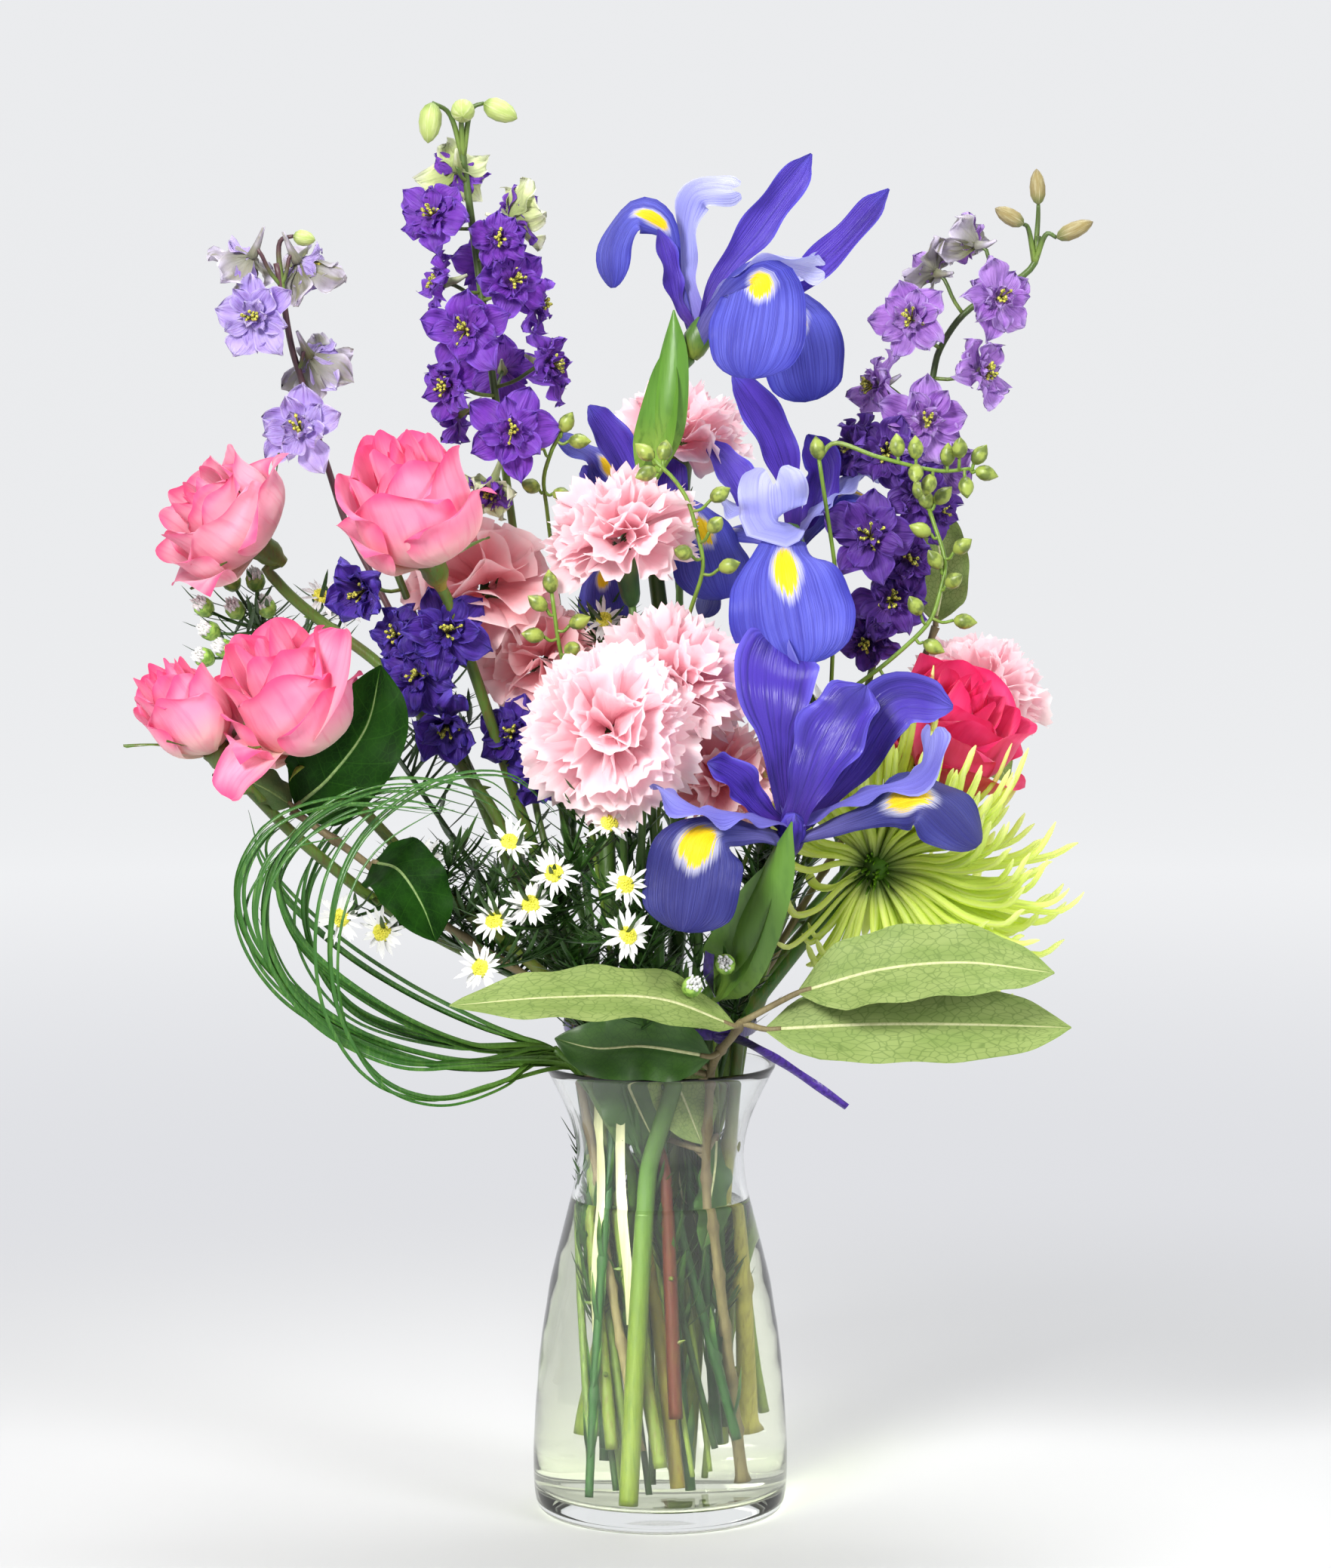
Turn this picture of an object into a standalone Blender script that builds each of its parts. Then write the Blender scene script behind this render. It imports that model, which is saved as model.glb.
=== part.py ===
"""A mixed bouquet standing in a clear glass vase of water.

Roses, carnations, irises, larkspur, a quilled chrysanthemum, asters and leaves are gathered in a
round vase with a narrow waist. Each stem, bloom, spike, spray and branch is one solid.

Lengths and places are in millimetres and MM turns them into metres. The origin is the centre of
the vase's foot, +Z is up and -Y is the bouquet's front. Stems start at their tops and run down
through the waist of the vase to their cut ends. A bloom is made round its own +Z axis and then
turned to face the way it faces in the bunch.
"""

import math
from dataclasses import dataclass

import bmesh
import bpy
import numpy as np
from mathutils import Vector

MM = 0.001
CLEARANCE = 0.35

VASE_HEIGHT = 203.0
VASE_WALL = 3.0
VASE_FLOOR = 9.0
VASE_SEGMENTS = 20
VASE_OUTSIDE = (
    (0.0, 54.0), (5.0, 56.6), (24.0, 57.5), (58.0, 55.7), (93.0, 51.5), (125.0, 44.6), (148.0, 39.2),
    (163.0, 37.7), (180.0, 41.3), (VASE_HEIGHT, 52.5),
)
WATER_LEVEL = 141.0
WAIST_HEIGHT = 160.0

BLADE = 1.2
TRIM = 0.3
THIN_EDGE = -0.8
LEVEL_STEP = 8.0
SETTLING_STEPS = 260
STEM_CLEARANCE = 2.4
BEND_TOLERANCE = 2.2
SPIRAL_TURN = 1.15
IRIS_STEM = 4.2
ROSE_STEM = 2.9
MUM_STEM = 3.0
GRASS_STEM = 2.6
CARNATION_STEM = 2.0
ASTER_STEM = 1.4
BUD_STEM = 1.1
HIP = ((13.0, ROSE_STEM), (8.5, 5.4), (4.0, 5.8))
CALYX = ((24.0, 2.2), (19.0, 4.0), (CLEARANCE, 5.6))
SEPALS = (5, 20.0, 5.5, -6.0, -CLEARANCE, -5.0)

GREEN = (0.10, 0.30, 0.05)
DARK_GREEN = (0.03, 0.13, 0.03)
PALE_GREEN = (0.36, 0.48, 0.22)
LIME = (0.55, 0.78, 0.12)
VIOLET_BLUE = (0.10, 0.07, 0.55)
LARKSPUR_PURPLE = (0.20, 0.07, 0.50)
ROSE_PINK = (0.86, 0.16, 0.30)
HOT_PINK = (0.85, 0.03, 0.15)
CARNATION_PINK = (0.92, 0.48, 0.52)
ASTER_WHITE = (0.85, 0.87, 0.80)
RIBBON_PURPLE = (0.07, 0.02, 0.22)
GLASS = (0.95, 0.97, 0.96)
WATER = (0.90, 0.93, 0.82)


@dataclass(frozen=True)
class Bloom:
    """A flower head: where its stem ends, the way it faces, its radius and its depth."""

    name: str
    base: tuple
    axis: tuple
    radius: float
    depth: float
    petals: tuple = ()
    lead: float = 16.0
    route: tuple = ()
    waist: tuple = ()
    foot: tuple = ()
    colour: tuple = CARNATION_PINK


@dataclass(frozen=True)
class Stem:
    """A stem as a route from its tip down to where the bunch takes it, with waist and cut end."""

    name: str
    route: tuple
    radius: float
    waist: tuple
    foot: tuple


ROSES = (
    Bloom("rose_1", (-178, -12, 436), (-0.70, -0.35, 0.60), 30, 40, (4, 5), colour=ROSE_PINK,
          route=((-173, -6, 422), (-155, 0, 404), (-130, 0, 388), (-106, -5, 362), (-81, -10, 328))),
    Bloom("rose_2", (-100, -42, 432), (-0.32, -0.42, 0.85), 30, 50, (4, 5), colour=ROSE_PINK),
    Bloom("rose_3", (-150, -62, 350), (-0.38, -0.40, 0.83), 28, 54, (4, 5), colour=ROSE_PINK,
          route=((-137, -54, 328), (-110, -48, 298), (-76, -42, 266)), waist=(3, -26), foot=(-4, -31, 48)),
    Bloom("rose_4", (-192, -72, 350), (-0.55, -0.30, 0.78), 19, 38, (3, 4), colour=ROSE_PINK,
          route=((-184, -68, 338), (-160, -60, 312), (-128, -52, 284))),
    Bloom("rose_5", (121, -12, 340), (0.42, -0.45, 0.79), 32, 44, (4, 5), colour=HOT_PINK),
)

CARNATIONS = (
    Bloom("carnation_1", (-16, -34, 436), (-0.15, -0.20, 0.97), 31, 26, (5, 4, 2)),
    Bloom("carnation_2", (-21, -88, 357), (-0.05, -0.94, 0.33), 36, 30, (6, 5, 3), lead=30,
          waist=(-24, -15), foot=(-25, -38, 14)),
    Bloom("carnation_3", (4, -58, 374), (0.22, -0.55, 0.80), 34, 28, (5, 4, 2), lead=26),
    Bloom("carnation_4", (-78, 2, 414), (-0.30, -0.50, 0.81), 30, 26, (5, 3, 2)),
    Bloom("carnation_5", (-52, 16, 380), (-0.10, -0.40, 0.91), 28, 24, (4, 3, 1)),
    Bloom("carnation_6", (9, 55, 478), (0.00, -0.10, 0.99), 31, 24, (5, 3, 1)),
    Bloom("carnation_7", (142, 34, 362), (0.50, -0.15, 0.85), 29, 24, (4, 3, 1)),
    Bloom("carnation_8", (24, -42, 330), (0.10, -0.62, 0.78), 27, 22, (4, 3, 1)),
)
ROSE_HEART = ((0.0, 0.17), (0.2, 0.42), (0.6, 0.40), (0.88, 0.20))
ROSE_INNER = (0.64, 1.0, 1.0, 0.3)
ROSE_OUTER = (0.92, 0.88, 1.12, 0.1)
CARNATION_HEART = 7.0
CARNATION_RINGS = ((-0.15, 4.5, 1.0), (0.38, 9.0, 0.95), (0.95, 13.0, 0.84))
CARNATION_PETAL = 1.6
CARNATION_RUFFLE = 4.2
PETAL_SHARE = 0.93

IRIS_FALL = "fall"
IRIS_STANDARD = "standard"
IRIS_STYLE = "style"
IRIS_WIDTHS = {
    IRIS_FALL: ((0.0, 9), (0.30, 15), (0.52, 19), (0.66, 36), (0.82, 44), (0.95, 27), (1.0, 8)),
    IRIS_STANDARD: ((0.0, 7), (0.3, 11), (0.65, 19), (0.88, 17), (1.0, 4)),
    IRIS_STYLE: ((0.0, 7), (0.45, 14), (0.75, 17), (1.0, 11)),
}
IRIS_ROWS = {IRIS_FALL: 5, IRIS_STANDARD: 4, IRIS_STYLE: 3}
IRIS_ROOTS = {IRIS_FALL: 5.0, IRIS_STANDARD: 9.0, IRIS_STYLE: 13.0}
IRIS_BODY = 12.0
IRIS_CUP = {IRIS_FALL: -0.18, IRIS_STANDARD: 0.30, IRIS_STYLE: -0.28}
IRISES = (
    Bloom("iris_1", (13, 0, 520), (0.45, -0.10, 0.89), 44, 60, colour=VIOLET_BLUE, petals=(
        (IRIS_FALL, 0.90, (-0.1, -0.9, 0.4), ((14, -2, 523), (25, -24, 541), (43, -44, 552), (38, -60, 509))),
        (IRIS_FALL, 0.80, (0.5, -0.5, 0.6), ((15, 2, 522), (36, 12, 539), (64, 18, 540), (69, 24, 499))),
        (IRIS_FALL, 0.60, (-0.6, 0.1, 0.8), ((11, 5, 525), (8, 16, 556), (-3, 20, 585), (-22, 12, 550))),
        (IRIS_STANDARD, 0.85, (0.5, -0.8, 0.1), ((15, 2, 525), (23, 3, 549), (43, 2, 578), (67, 0, 609))),
        (IRIS_STANDARD, 0.75, (-0.3, -0.9, 0.2), ((17, 5, 525), (52, 13, 545), (79, 12, 568), (102, 10, 594))),
        (IRIS_STANDARD, 0.60, (0.6, -0.7, 0.1), ((10, 3, 525), (7, 2, 544), (3, 2, 562), (-1, 4, 576))),
        (IRIS_STYLE, 0.95, (0.0, 0.6, 0.8), ((15, -1, 525), (29, -19, 548), (52, -36, 560), (72, -40, 557))),
        (IRIS_STYLE, 0.80, (-0.3, 0.3, 0.9), ((15, 2, 526), (37, 6, 547), (60, 8, 554), (70, 10, 566))),
        (IRIS_STYLE, 0.70, (0.7, -0.2, 0.7), ((11, 6, 528), (12, 17, 560), (17, 16, 588), (35, 12, 590))),
    )),
    Bloom("iris_2", (59, -4, 428), (-0.10, -0.30, 0.95), 48, 50, colour=VIOLET_BLUE, petals=(
        (IRIS_FALL, 1.15, (0.0, -0.9, 0.4), ((59, -5, 432), (56, -32, 440), (54, -58, 433), (61, -73, 380))),
        (IRIS_FALL, 0.75, (0.3, -0.2, 0.9), ((60, 1, 432), (71, 11, 448), (84, 16, 460), (114, 20, 440))),
        (IRIS_FALL, 0.85, (-0.5, -0.2, 0.8), ((57, 2, 432), (45, 14, 440), (29, 20, 441), (18, 21, 403))),
        (IRIS_STANDARD, 0.95, (0.3, -0.9, 0.2), ((59, -2, 434), (58, -6, 455), (50, -10, 483), (32, -14, 512))),
        (IRIS_STANDARD, 0.95, (-0.5, -0.8, 0.2), ((62, 3, 434), (70, 9, 452), (75, 12, 470), (66, 13, 485))),
        (IRIS_STANDARD, 0.90, (0.4, -0.8, 0.2), ((56, 4, 434), (43, 16, 450), (32, 26, 468), (22, 34, 482))),
        (IRIS_STYLE, 1.60, (0.0, -0.7, 0.7), ((59, -5, 436), (56, -26, 448), (51, -44, 450), (49, -46, 470))),
        (IRIS_STYLE, 0.90, (-0.3, -0.2, 0.9), ((62, 2, 436), (73, 8, 455), (86, 10, 467), (99, 12, 469))),
        (IRIS_STYLE, 0.90, (0.4, -0.2, 0.9), ((57, 4, 436), (47, 10, 447), (37, 14, 452), (26, 16, 458))),
    )),
    Bloom("iris_3", (55, -85, 307), (0.15, -0.45, 0.88), 50, 60, colour=VIOLET_BLUE, lead=4,
          route=((49, -82, 290), (38, -74, 268)), waist=(-17, -20), foot=(-11, -42, 12), petals=(
        (IRIS_FALL, 1.05, (-0.3, -0.8, 0.5), ((53, -91, 312), (36, -108, 318), (18, -123, 317), (9, -129, 277))),
        (IRIS_FALL, 0.85, (0.5, -0.6, 0.6), ((56, -90, 311), (83, -100, 322), (112, -108, 332), (135, -113, 312))),
        (IRIS_FALL, 0.95, (0.0, 0.9, 0.3), ((55, -88, 312), (53, -87, 345), (50, -82, 381), (55, -52, 398))),
        (IRIS_STANDARD, 1.35, (-0.4, -0.9, 0.2), ((56, -88, 310), (65, -93, 336), (77, -92, 358), (86, -86, 374))),
        (IRIS_STANDARD, 1.05, (-0.2, -0.9, 0.3), ((58, -86, 310), (80, -82, 339), (102, -78, 366), (124, -77, 362))),
        (IRIS_STANDARD, 0.90, (0.3, -0.8, 0.5), ((54, -86, 311), (42, -92, 326), (31, -97, 339), (20, -103, 346))),
        (IRIS_STYLE, 1.05, (0.2, -0.2, 0.9), ((53, -90, 314), (34, -108, 325), (17, -120, 328), (-2, -126, 339))),
        (IRIS_STYLE, 0.95, (-0.3, -0.3, 0.9), ((57, -90, 313), (86, -98, 333), (111, -104, 343), (116, -102, 362))),
        (IRIS_STYLE, 1.10, (0.0, 0.8, 0.6), ((56, -85, 313), (54, -78, 345), (51, -72, 378), (48, -60, 397))),
    )),
    Bloom("iris_4", (-3, 22, 430), (-0.20, 0.00, 0.98), 44, 50, colour=VIOLET_BLUE, petals=(
        (IRIS_FALL, 0.60, (-0.4, -0.3, 0.9), ((-4, 22, 433), (-15, 28, 455), (-26, 31, 474), (-48, 28, 486))),
        (IRIS_FALL, 0.80, (0.3, -0.8, 0.5), ((-1, 22, 433), (6, 13, 452), (14, 6, 452), (29, -4, 412))),
        (IRIS_FALL, 0.55, (-0.3, -0.7, 0.6), ((-4, 18, 433), (-15, 13, 434), (-25, 7, 424), (-23, 2, 398))),
        (IRIS_STANDARD, 0.85, (0.3, -0.9, 0.2), ((-3, 21, 434), (-10, 20, 458), (-19, 18, 478), (-32, 16, 498))),
        (IRIS_STANDARD, 0.80, (0.0, -0.9, 0.2), ((-1, 26, 434), (3, 32, 451), (5, 37, 464), (6, 40, 474))),
        (IRIS_STANDARD, 0.80, (0.3, -0.6, 0.5), ((-4, 28, 433), (-19, 42, 447), (-30, 50, 460), (-35, 54, 471))),
    )),
)

MUM = Bloom("chrysanthemum", (91, -43, 293), (0.66, -0.22, 0.72), 72, 30, lead=30, colour=LIME)
MUM_BODY = 22.0
MUM_RINGS = ((9, -0.12, 82), (10, 0.22, 84), (8, 0.60, 74), (6, 1.00, 56), (3, 1.35, 40))

LARKSPURS = (
    ("larkspur_1", 2.0, ((-173, 30, 562), (-167, 32, 525), (-157, 34, 494), (-145, 34, 450), (-118, 28, 400)), (
        ((-184, 26, 566), (-0.5, -0.2, 0.8), 15), ((-181, 12, 537), (-0.2, -0.95, 0.1), 19),
        ((-158, 38, 560), (0.7, 0.3, 0.6), 17), ((-152, 42, 517), (0.6, 0.6, 0.3), 19),
        ((-161, 12, 487), (-0.2, -0.95, 0.2), 20))),
    ("larkspur_2", 2.3, ((-90, 28, 622), (-84, 26, 574), (-71, 25, 522), (-64, 22, 451), (-56, 18, 400)), (
        ((-92, 26, 611), (-0.2, 0.2, 0.9), 16), ((-101, 10, 582), (-0.4, -0.8, 0.3), 19),
        ((-64, 28, 586), (0.6, -0.2, 0.7), 17), ((-66, 13, 556), (0.4, -0.9, 0.2), 17),
        ((-100, 24, 551), (-0.9, -0.2, 0.2), 16), ((-86, -2, 531), (-0.2, -0.95, 0.2), 20),
        ((-54, 28, 543), (0.9, -0.2, 0.1), 17), ((-48, 22, 514), (0.9, -0.4, 0.1), 17),
        ((-92, 8, 507), (-0.6, -0.8, 0.0), 17), ((-94, 24, 492), (-0.9, 0.1, -0.1), 16),
        ((-66, -2, 486), (0.1, -0.98, 0.1), 20), ((-78, 48, 562), (-0.2, 0.9, 0.2), 18),
        ((-72, 55, 514), (0.0, 0.95, 0.1), 18), ((-74, 20, 464), (-0.6, -0.3, -0.3), 16))),
    ("larkspur_3", 2.2, ((170, 28, 582), (168, 28, 557), (132, 26, 536), (121, 25, 511), (112, 25, 462), (104, 24, 412)), (
        ((143, 30, 563), (-0.3, 0.3, 0.9), 15), ((151, 10, 545), (0.3, -0.9, 0.2), 17),
        ((124, 38, 556), (-0.2, 0.2, 0.9), 16), ((112, 6, 534), (-0.3, -0.9, 0.2), 19),
        ((95, 20, 507), (-0.9, -0.3, 0.1), 17), ((144, 16, 513), (0.7, -0.6, 0.1), 18),
        ((118, 2, 491), (0.0, -0.97, 0.2), 20), ((90, 14, 480), (-0.8, -0.5, 0.0), 17),
        ((128, 40, 470), (0.4, 0.8, 0.0), 17), ((93, -12, 437), (-0.2, -0.9, 0.3), 19),
        ((128, 20, 450), (0.7, -0.6, 0.0), 17), ((102, 8, 408), (0.1, -0.9, 0.1), 18))),
    ("larkspur_4", 2.0, ((-119, -3, 428), (-104, -8, 392), (-92, -8, 358), (-81, -6, 322)), (
        ((-94, -32, 396), (0.2, -0.95, 0.2), 19), ((-131, -14, 418), (-0.6, -0.7, 0.3), 16),
        ((-106, -30, 377), (-0.4, -0.9, 0.1), 18), ((-95, -26, 358), (0.1, -0.9, -0.3), 17))),
    ("larkspur_5", 1.8, ((-62, 4, 368), (-60, 6, 346), (-56, 6, 318)), (
        ((-66, -10, 352), (-0.2, -0.9, 0.2), 16), ((-54, -8, 334), (0.3, -0.9, 0.0), 15))),
)

FLORET_NOTCH = 0.84
FLORET_RING = 0.42
FLORET_RISE = 5.0
FLORET_TIPS = 5
ASTER_NEEDLES = 6
DAISY_RAYS = 7
DAISY_RADIUS = 11.0
NECK_DROP = 1.8
ROOT_SINK = 3.0

BUD_SPRAYS = (
    ("buds_1", ((-3, -42, 474), (9, -44, 464), (17, -47, 445), (20, -48, 428), (13, -42, 408), (8, -26, 388)),
     (), ((-6, -46, 468), (2, -38, 478), (26, -50, 459), (24, -56, 446), (10, -56, 434), (30, -52, 428))),
    ("buds_2", ((-44, 4, 486), (-52, 8, 470), (-50, 34, 440), (-46, 50, 405), (-42, 50, 375)),
     (), ((-36, 2, 482), (-55, 6, 482), (-58, 12, 462), (-44, 10, 458))),
    ("buds_3", ((-47, -52, 416), (-44, -50, 396), (-40, -40, 372)),
     (), ((-53, -54, 412), (-55, -54, 398), (-35, -54, 404), (-38, -56, 392))),
    ("buds_4", ((70, -22, 474), (74, -20, 450), (78, -14, 424)),
     (((70, -22, 473), (76, -24, 481), (96, -30, 475), (123, -30, 469), (136, -30, 470)),),
     ((140, -32, 476), (143, -30, 468), (134, -34, 462), (126, -32, 476), (118, -28, 463), (104, -30, 480))),
    ("buds_5", ((119, -16, 452), (127, -22, 428), (120, -29, 404), (99, -36, 384), (78, -34, 370)),
     (), ((115, -14, 460), (125, -16, 458), (133, -26, 436), (134, -30, 403), (112, -34, 410), (120, -34, 392),
          (104, -40, 376))),
)

ASTERS = (
    ("asters_1", ((-46, -74, 292), (-44, -68, 268)), (
        (-64, -95, 311), (-45, -106, 299), (-55, -99, 285), (-15, -116, 295), (-14, -119, 274),
        (-70, -100, 278), (-76, -99, 258), (-22, -104, 320))),
    ("asters_2", ((-122, -46, 296), (-95, -42, 264)), (
        (-120, -70, 270), (-138, -68, 276), (-104, -60, 300))),
    ("asters_3", ((-184, 6, 404), (-150, 12, 376), (-116, 12, 338), (-86, 8, 296)), (
        (-203, -5, 410), (-201, 2, 396), (-183, 2, 420), (-158, 8, 410), (-148, 14, 406))),
    ("asters_4", ((-26, 2, 396), (-20, 8, 366), (-16, 12, 330)), ((-25, -5, 402), (-44, 2, 380), (-30, 16, 404))),
    ("asters_5", ((70, -36, 354), (64, -28, 330), (52, -18, 300)), ((70, -42, 366), (80, -34, 362), (28, -94, 262))),
)

BRANCHES = (
    ("leaves_1", DARK_GREEN, 2.0,
     ((-160, -58, 322), (-128, -62, 300), (-98, -56, 274)), (
        (34, (0.2, -0.95, 0.2), ((-158, -58, 322), (-140, -76, 338), (-124, -78, 362), (-122, -74, 386))),
        (30, (0.3, -0.9, 0.2), ((-124, -64, 300), (-112, -82, 298), (-102, -88, 284), (-96, -88, 268))),
        (20, (-0.2, -0.6, 0.8), ((-160, -58, 324), (-172, -60, 332), (-184, -62, 337), (-194, -64, 338))))),
    ("leaves_2", PALE_GREEN, 2.2,
     ((35, -80, 232), (29, -64, 220), (22, -39, 207)), (
        (29, (0.0, -0.7, 0.7), ((32, -84, 231), (0, -101, 245), (-45, -111, 247), (-89, -116, 244))),
        (34, (0.0, -0.8, 0.6), ((38, -82, 234), (90, -92, 264), (130, -96, 268), (169, -92, 255))),
        (37, (0.0, -0.9, 0.5), ((36, -79, 229), (88, -84, 231), (132, -84, 228), (178, -74, 229))),
        (30, (0.2, -0.9, 0.2), ((22, -58, 214), (-8, -61, 219), (-28, -60, 218), (-46, -58, 222))))),
    ("leaves_3", PALE_GREEN, 1.8,
     ((125, 32, 398), (114, 30, 372), (100, 28, 330)), (
        (26, (-0.2, -0.9, 0.2), ((125, 32, 400), (128, 37, 418), (126, 40, 438), (120, 42, 456))),
        (24, (0.5, -0.8, 0.3), ((118, 32, 356), (134, 34, 352), (150, 38, 340), (160, 40, 326))))),
)
LEAF_WIDTHS = ((0.0, 0.14), (0.12, 0.42), (0.38, 1.0), (0.68, 0.86), (0.88, 0.42), (1.0, 0.07))
LEAF_WAVE = 17.0
LEAF_CUP = 0.12
SHEATHS = (
    ("iris_1", 15, (-0.3, -0.9, 0.1), ((0, -3, 462), (1, -9, 492), (5, -9, 520), (6, -6, 540))),
    ("iris_3", 20, (-0.4, -0.8, 0.3), ((26, -68, 232), (34, -86, 262), (46, -92, 288), (52, -94, 302))),
)

GRASS_ROOT = ((-13, -13, 118), (-17, -17, 160), (-29, -26, 192), (-35, -29, 205), (-47, -36, 214))
GRASS_LOOPS = (
    ((-83, -60, 220), (-126, -75, 243), (-156, -80, 271), (-164, -80, 298), (-149, -79, 322), (-116, -78, 337),
     (-75, -76, 330), (-54, -74, 312)),
    ((-86, -62, 212), (-139, -82, 231), (-175, -92, 265), (-181, -94, 292), (-167, -93, 316), (-138, -88, 326),
     (-95, -82, 322)),
    ((-83, -52, 208), (-124, -58, 219), (-161, -60, 243), (-177, -58, 275), (-170, -55, 302), (-143, -52, 320)),
    ((-69, -66, 204), (-97, -86, 200), (-121, -100, 212), (-138, -106, 243), (-139, -106, 286), (-126, -100, 316),
     (-95, -94, 338), (-65, -88, 340), (-46, -84, 324)),
    ((-90, -48, 218), (-135, -47, 233), (-155, -46, 264), (-154, -44, 290), (-138, -42, 316), (-111, -41, 332)),
    ((-77, -38, 224), (-112, -34, 240), (-146, -30, 262), (-172, -28, 289), (-178, -28, 308), (-165, -30, 320)),
    ((-77, -72, 214), (-112, -92, 217), (-148, -104, 239), (-166, -110, 270), (-164, -110, 300), (-147, -108, 322),
     (-118, -102, 334), (-86, -98, 334)),
)
GRASS_WIDTH = 3.2

RIBBON_WIDTH = 5.0
RIBBON_CENTRE = (0.0, -8.0, 222.0)
RIBBON_RADIUS = 43.0
RIBBON_KNOT = (28, -43, 222)
RIBBON_TAILS = (
    ((28, -44, 222), (44, -70, 218), (62, -88, 209), (80, -94, 197)),
    ((28, -44, 222), (25, -60, 236), (21, -72, 252), (22, -76, 265)),
)
RIBBON_SEGMENTS = 18
TIE_RADIUS = 41.0


def unit(vectors):
    """The vectors scaled to length one."""
    vectors = np.asarray(vectors, float)
    return vectors / np.maximum(np.linalg.norm(vectors, axis=-1, keepdims=True), 1e-12)


def smooth(points, count):
    """Count points along the smooth curve that passes through the given points."""
    points = np.asarray(points, float)
    lengths = np.r_[0, np.cumsum(np.sqrt(np.linalg.norm(np.diff(points, axis=0), axis=1)))]
    ends = np.vstack([2 * points[0] - points[1], points, 2 * points[-1] - points[-2]])
    knots = np.r_[-lengths[1], lengths, 2 * lengths[-1] - lengths[-2]]
    at = np.linspace(0, lengths[-1], count)
    span = np.clip(np.searchsorted(lengths, at, side="right") - 1, 0, len(points) - 2)
    t = at[:, None]
    k0, k1, k2, k3 = (knots[span + i][:, None] for i in range(4))
    p0, p1, p2, p3 = (ends[span + i] for i in range(4))
    a1 = ((k1 - t) * p0 + (t - k0) * p1) / (k1 - k0)
    a2 = ((k2 - t) * p1 + (t - k1) * p2) / (k2 - k1)
    a3 = ((k3 - t) * p2 + (t - k2) * p3) / (k3 - k2)
    b1 = ((k2 - t) * a1 + (t - k0) * a2) / (k2 - k0)
    b2 = ((k3 - t) * a2 + (t - k1) * a3) / (k3 - k1)
    return ((k2 - t) * b1 + (t - k1) * b2) / (k2 - k1)


def thinned(points, tolerance):
    """The fewest of the points whose straight runs stay within the tolerance of them all."""
    if len(points) < 3:
        return points
    run = unit(points[-1] - points[0])
    offset = points - points[0]
    away = np.linalg.norm(offset - np.outer(offset @ run, run), axis=1)
    worst = int(away.argmax())
    if away[worst] <= tolerance:
        return points[[0, -1]]
    return np.vstack([thinned(points[: worst + 1], tolerance)[:-1], thinned(points[worst:], tolerance)])


def sheet(middle, thickness=BLADE):
    """Closed petal or leaf round a grid of points, full at its middle and thin at its edge.

    Both faces have the same triangles, and each triangle touches a point inside the edge.
    """
    middle = np.asarray(middle, float)
    rows, columns = middle.shape[:2]
    normal = unit(np.cross(np.gradient(middle, axis=1), np.gradient(middle, axis=0)))
    inside = np.zeros((rows, columns), bool)
    inside[1:-1, 1:-1] = True
    upper = np.arange(rows * columns).reshape(rows, columns)
    lower = upper.copy()
    lower[inside] = rows * columns + np.arange(inside.sum())
    points = middle.reshape(-1, 3).copy()
    raised = (middle + normal * thickness / 2)[inside]
    points[upper[inside]] = raised
    points = np.vstack([points, raised - (normal * thickness)[inside]])
    faces = []
    for row in range(rows - 1):
        for column in range(columns - 1):
            corners = [(row, column), (row, column + 1), (row + 1, column + 1), (row + 1, column)]
            first = 0 if inside[corners[0]] or inside[corners[2]] else 1
            a, b, c, d = (corners[(first + k) % 4] for k in range(4))
            for triangle in ((a, b, c), (a, c, d)):
                faces.append([upper[corner] for corner in triangle])
                faces.append([lower[corner] for corner in triangle[::-1]])
    return points, np.array(faces)


def pillow(rim, middle, normal, thickness):
    """Closed petal between two middles that share one rim, which runs anticlockwise."""
    count = len(rim)
    points = np.vstack([rim, middle + normal * thickness / 2, middle - normal * thickness / 2])
    here = np.arange(count)
    there = (here + 1) % count
    top = np.stack([here, there, np.full(count, count)], 1)
    bottom = np.stack([there, here, np.full(count, count + 1)], 1)
    return points, np.concatenate([top, bottom])


def tube(path, radii, sides):
    """Closed tube along a path, with its rings carried along without twist."""
    path = np.asarray(path, float)
    radii = np.broadcast_to(np.asarray(radii, float), len(path))
    tangent = unit(np.gradient(path, axis=0))
    side = np.cross(tangent[0], (0.31, 0.95, 0.07))
    angle = np.arange(sides) * math.tau / sides
    rings = []
    for place, along, radius in zip(path, tangent, radii):
        side = unit(side - along * (side @ along))
        other = np.cross(along, side)
        rings.append(place + radius * (np.outer(np.cos(angle), side) + np.outer(np.sin(angle), other)))
    return np.concatenate(rings), ring_faces(len(path), sides)


def ring_faces(rows, sides):
    """Triangles that join rings of points and close the first and the last ring."""
    index = np.arange(rows * sides).reshape(rows, sides)
    turned_on = np.roll(index, -1, axis=1)
    a, b, c, d = (part.ravel() for part in (index[:-1], turned_on[:-1], turned_on[1:], index[1:]))
    fan = np.arange(1, sides - 1)
    first = np.stack([0 * fan, fan + 1, fan], 1)
    last = np.stack([0 * fan, fan, fan + 1], 1) + (rows - 1) * sides
    return np.concatenate([np.stack([a, b, c], 1), np.stack([a, c, d], 1), first, last])


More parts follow.
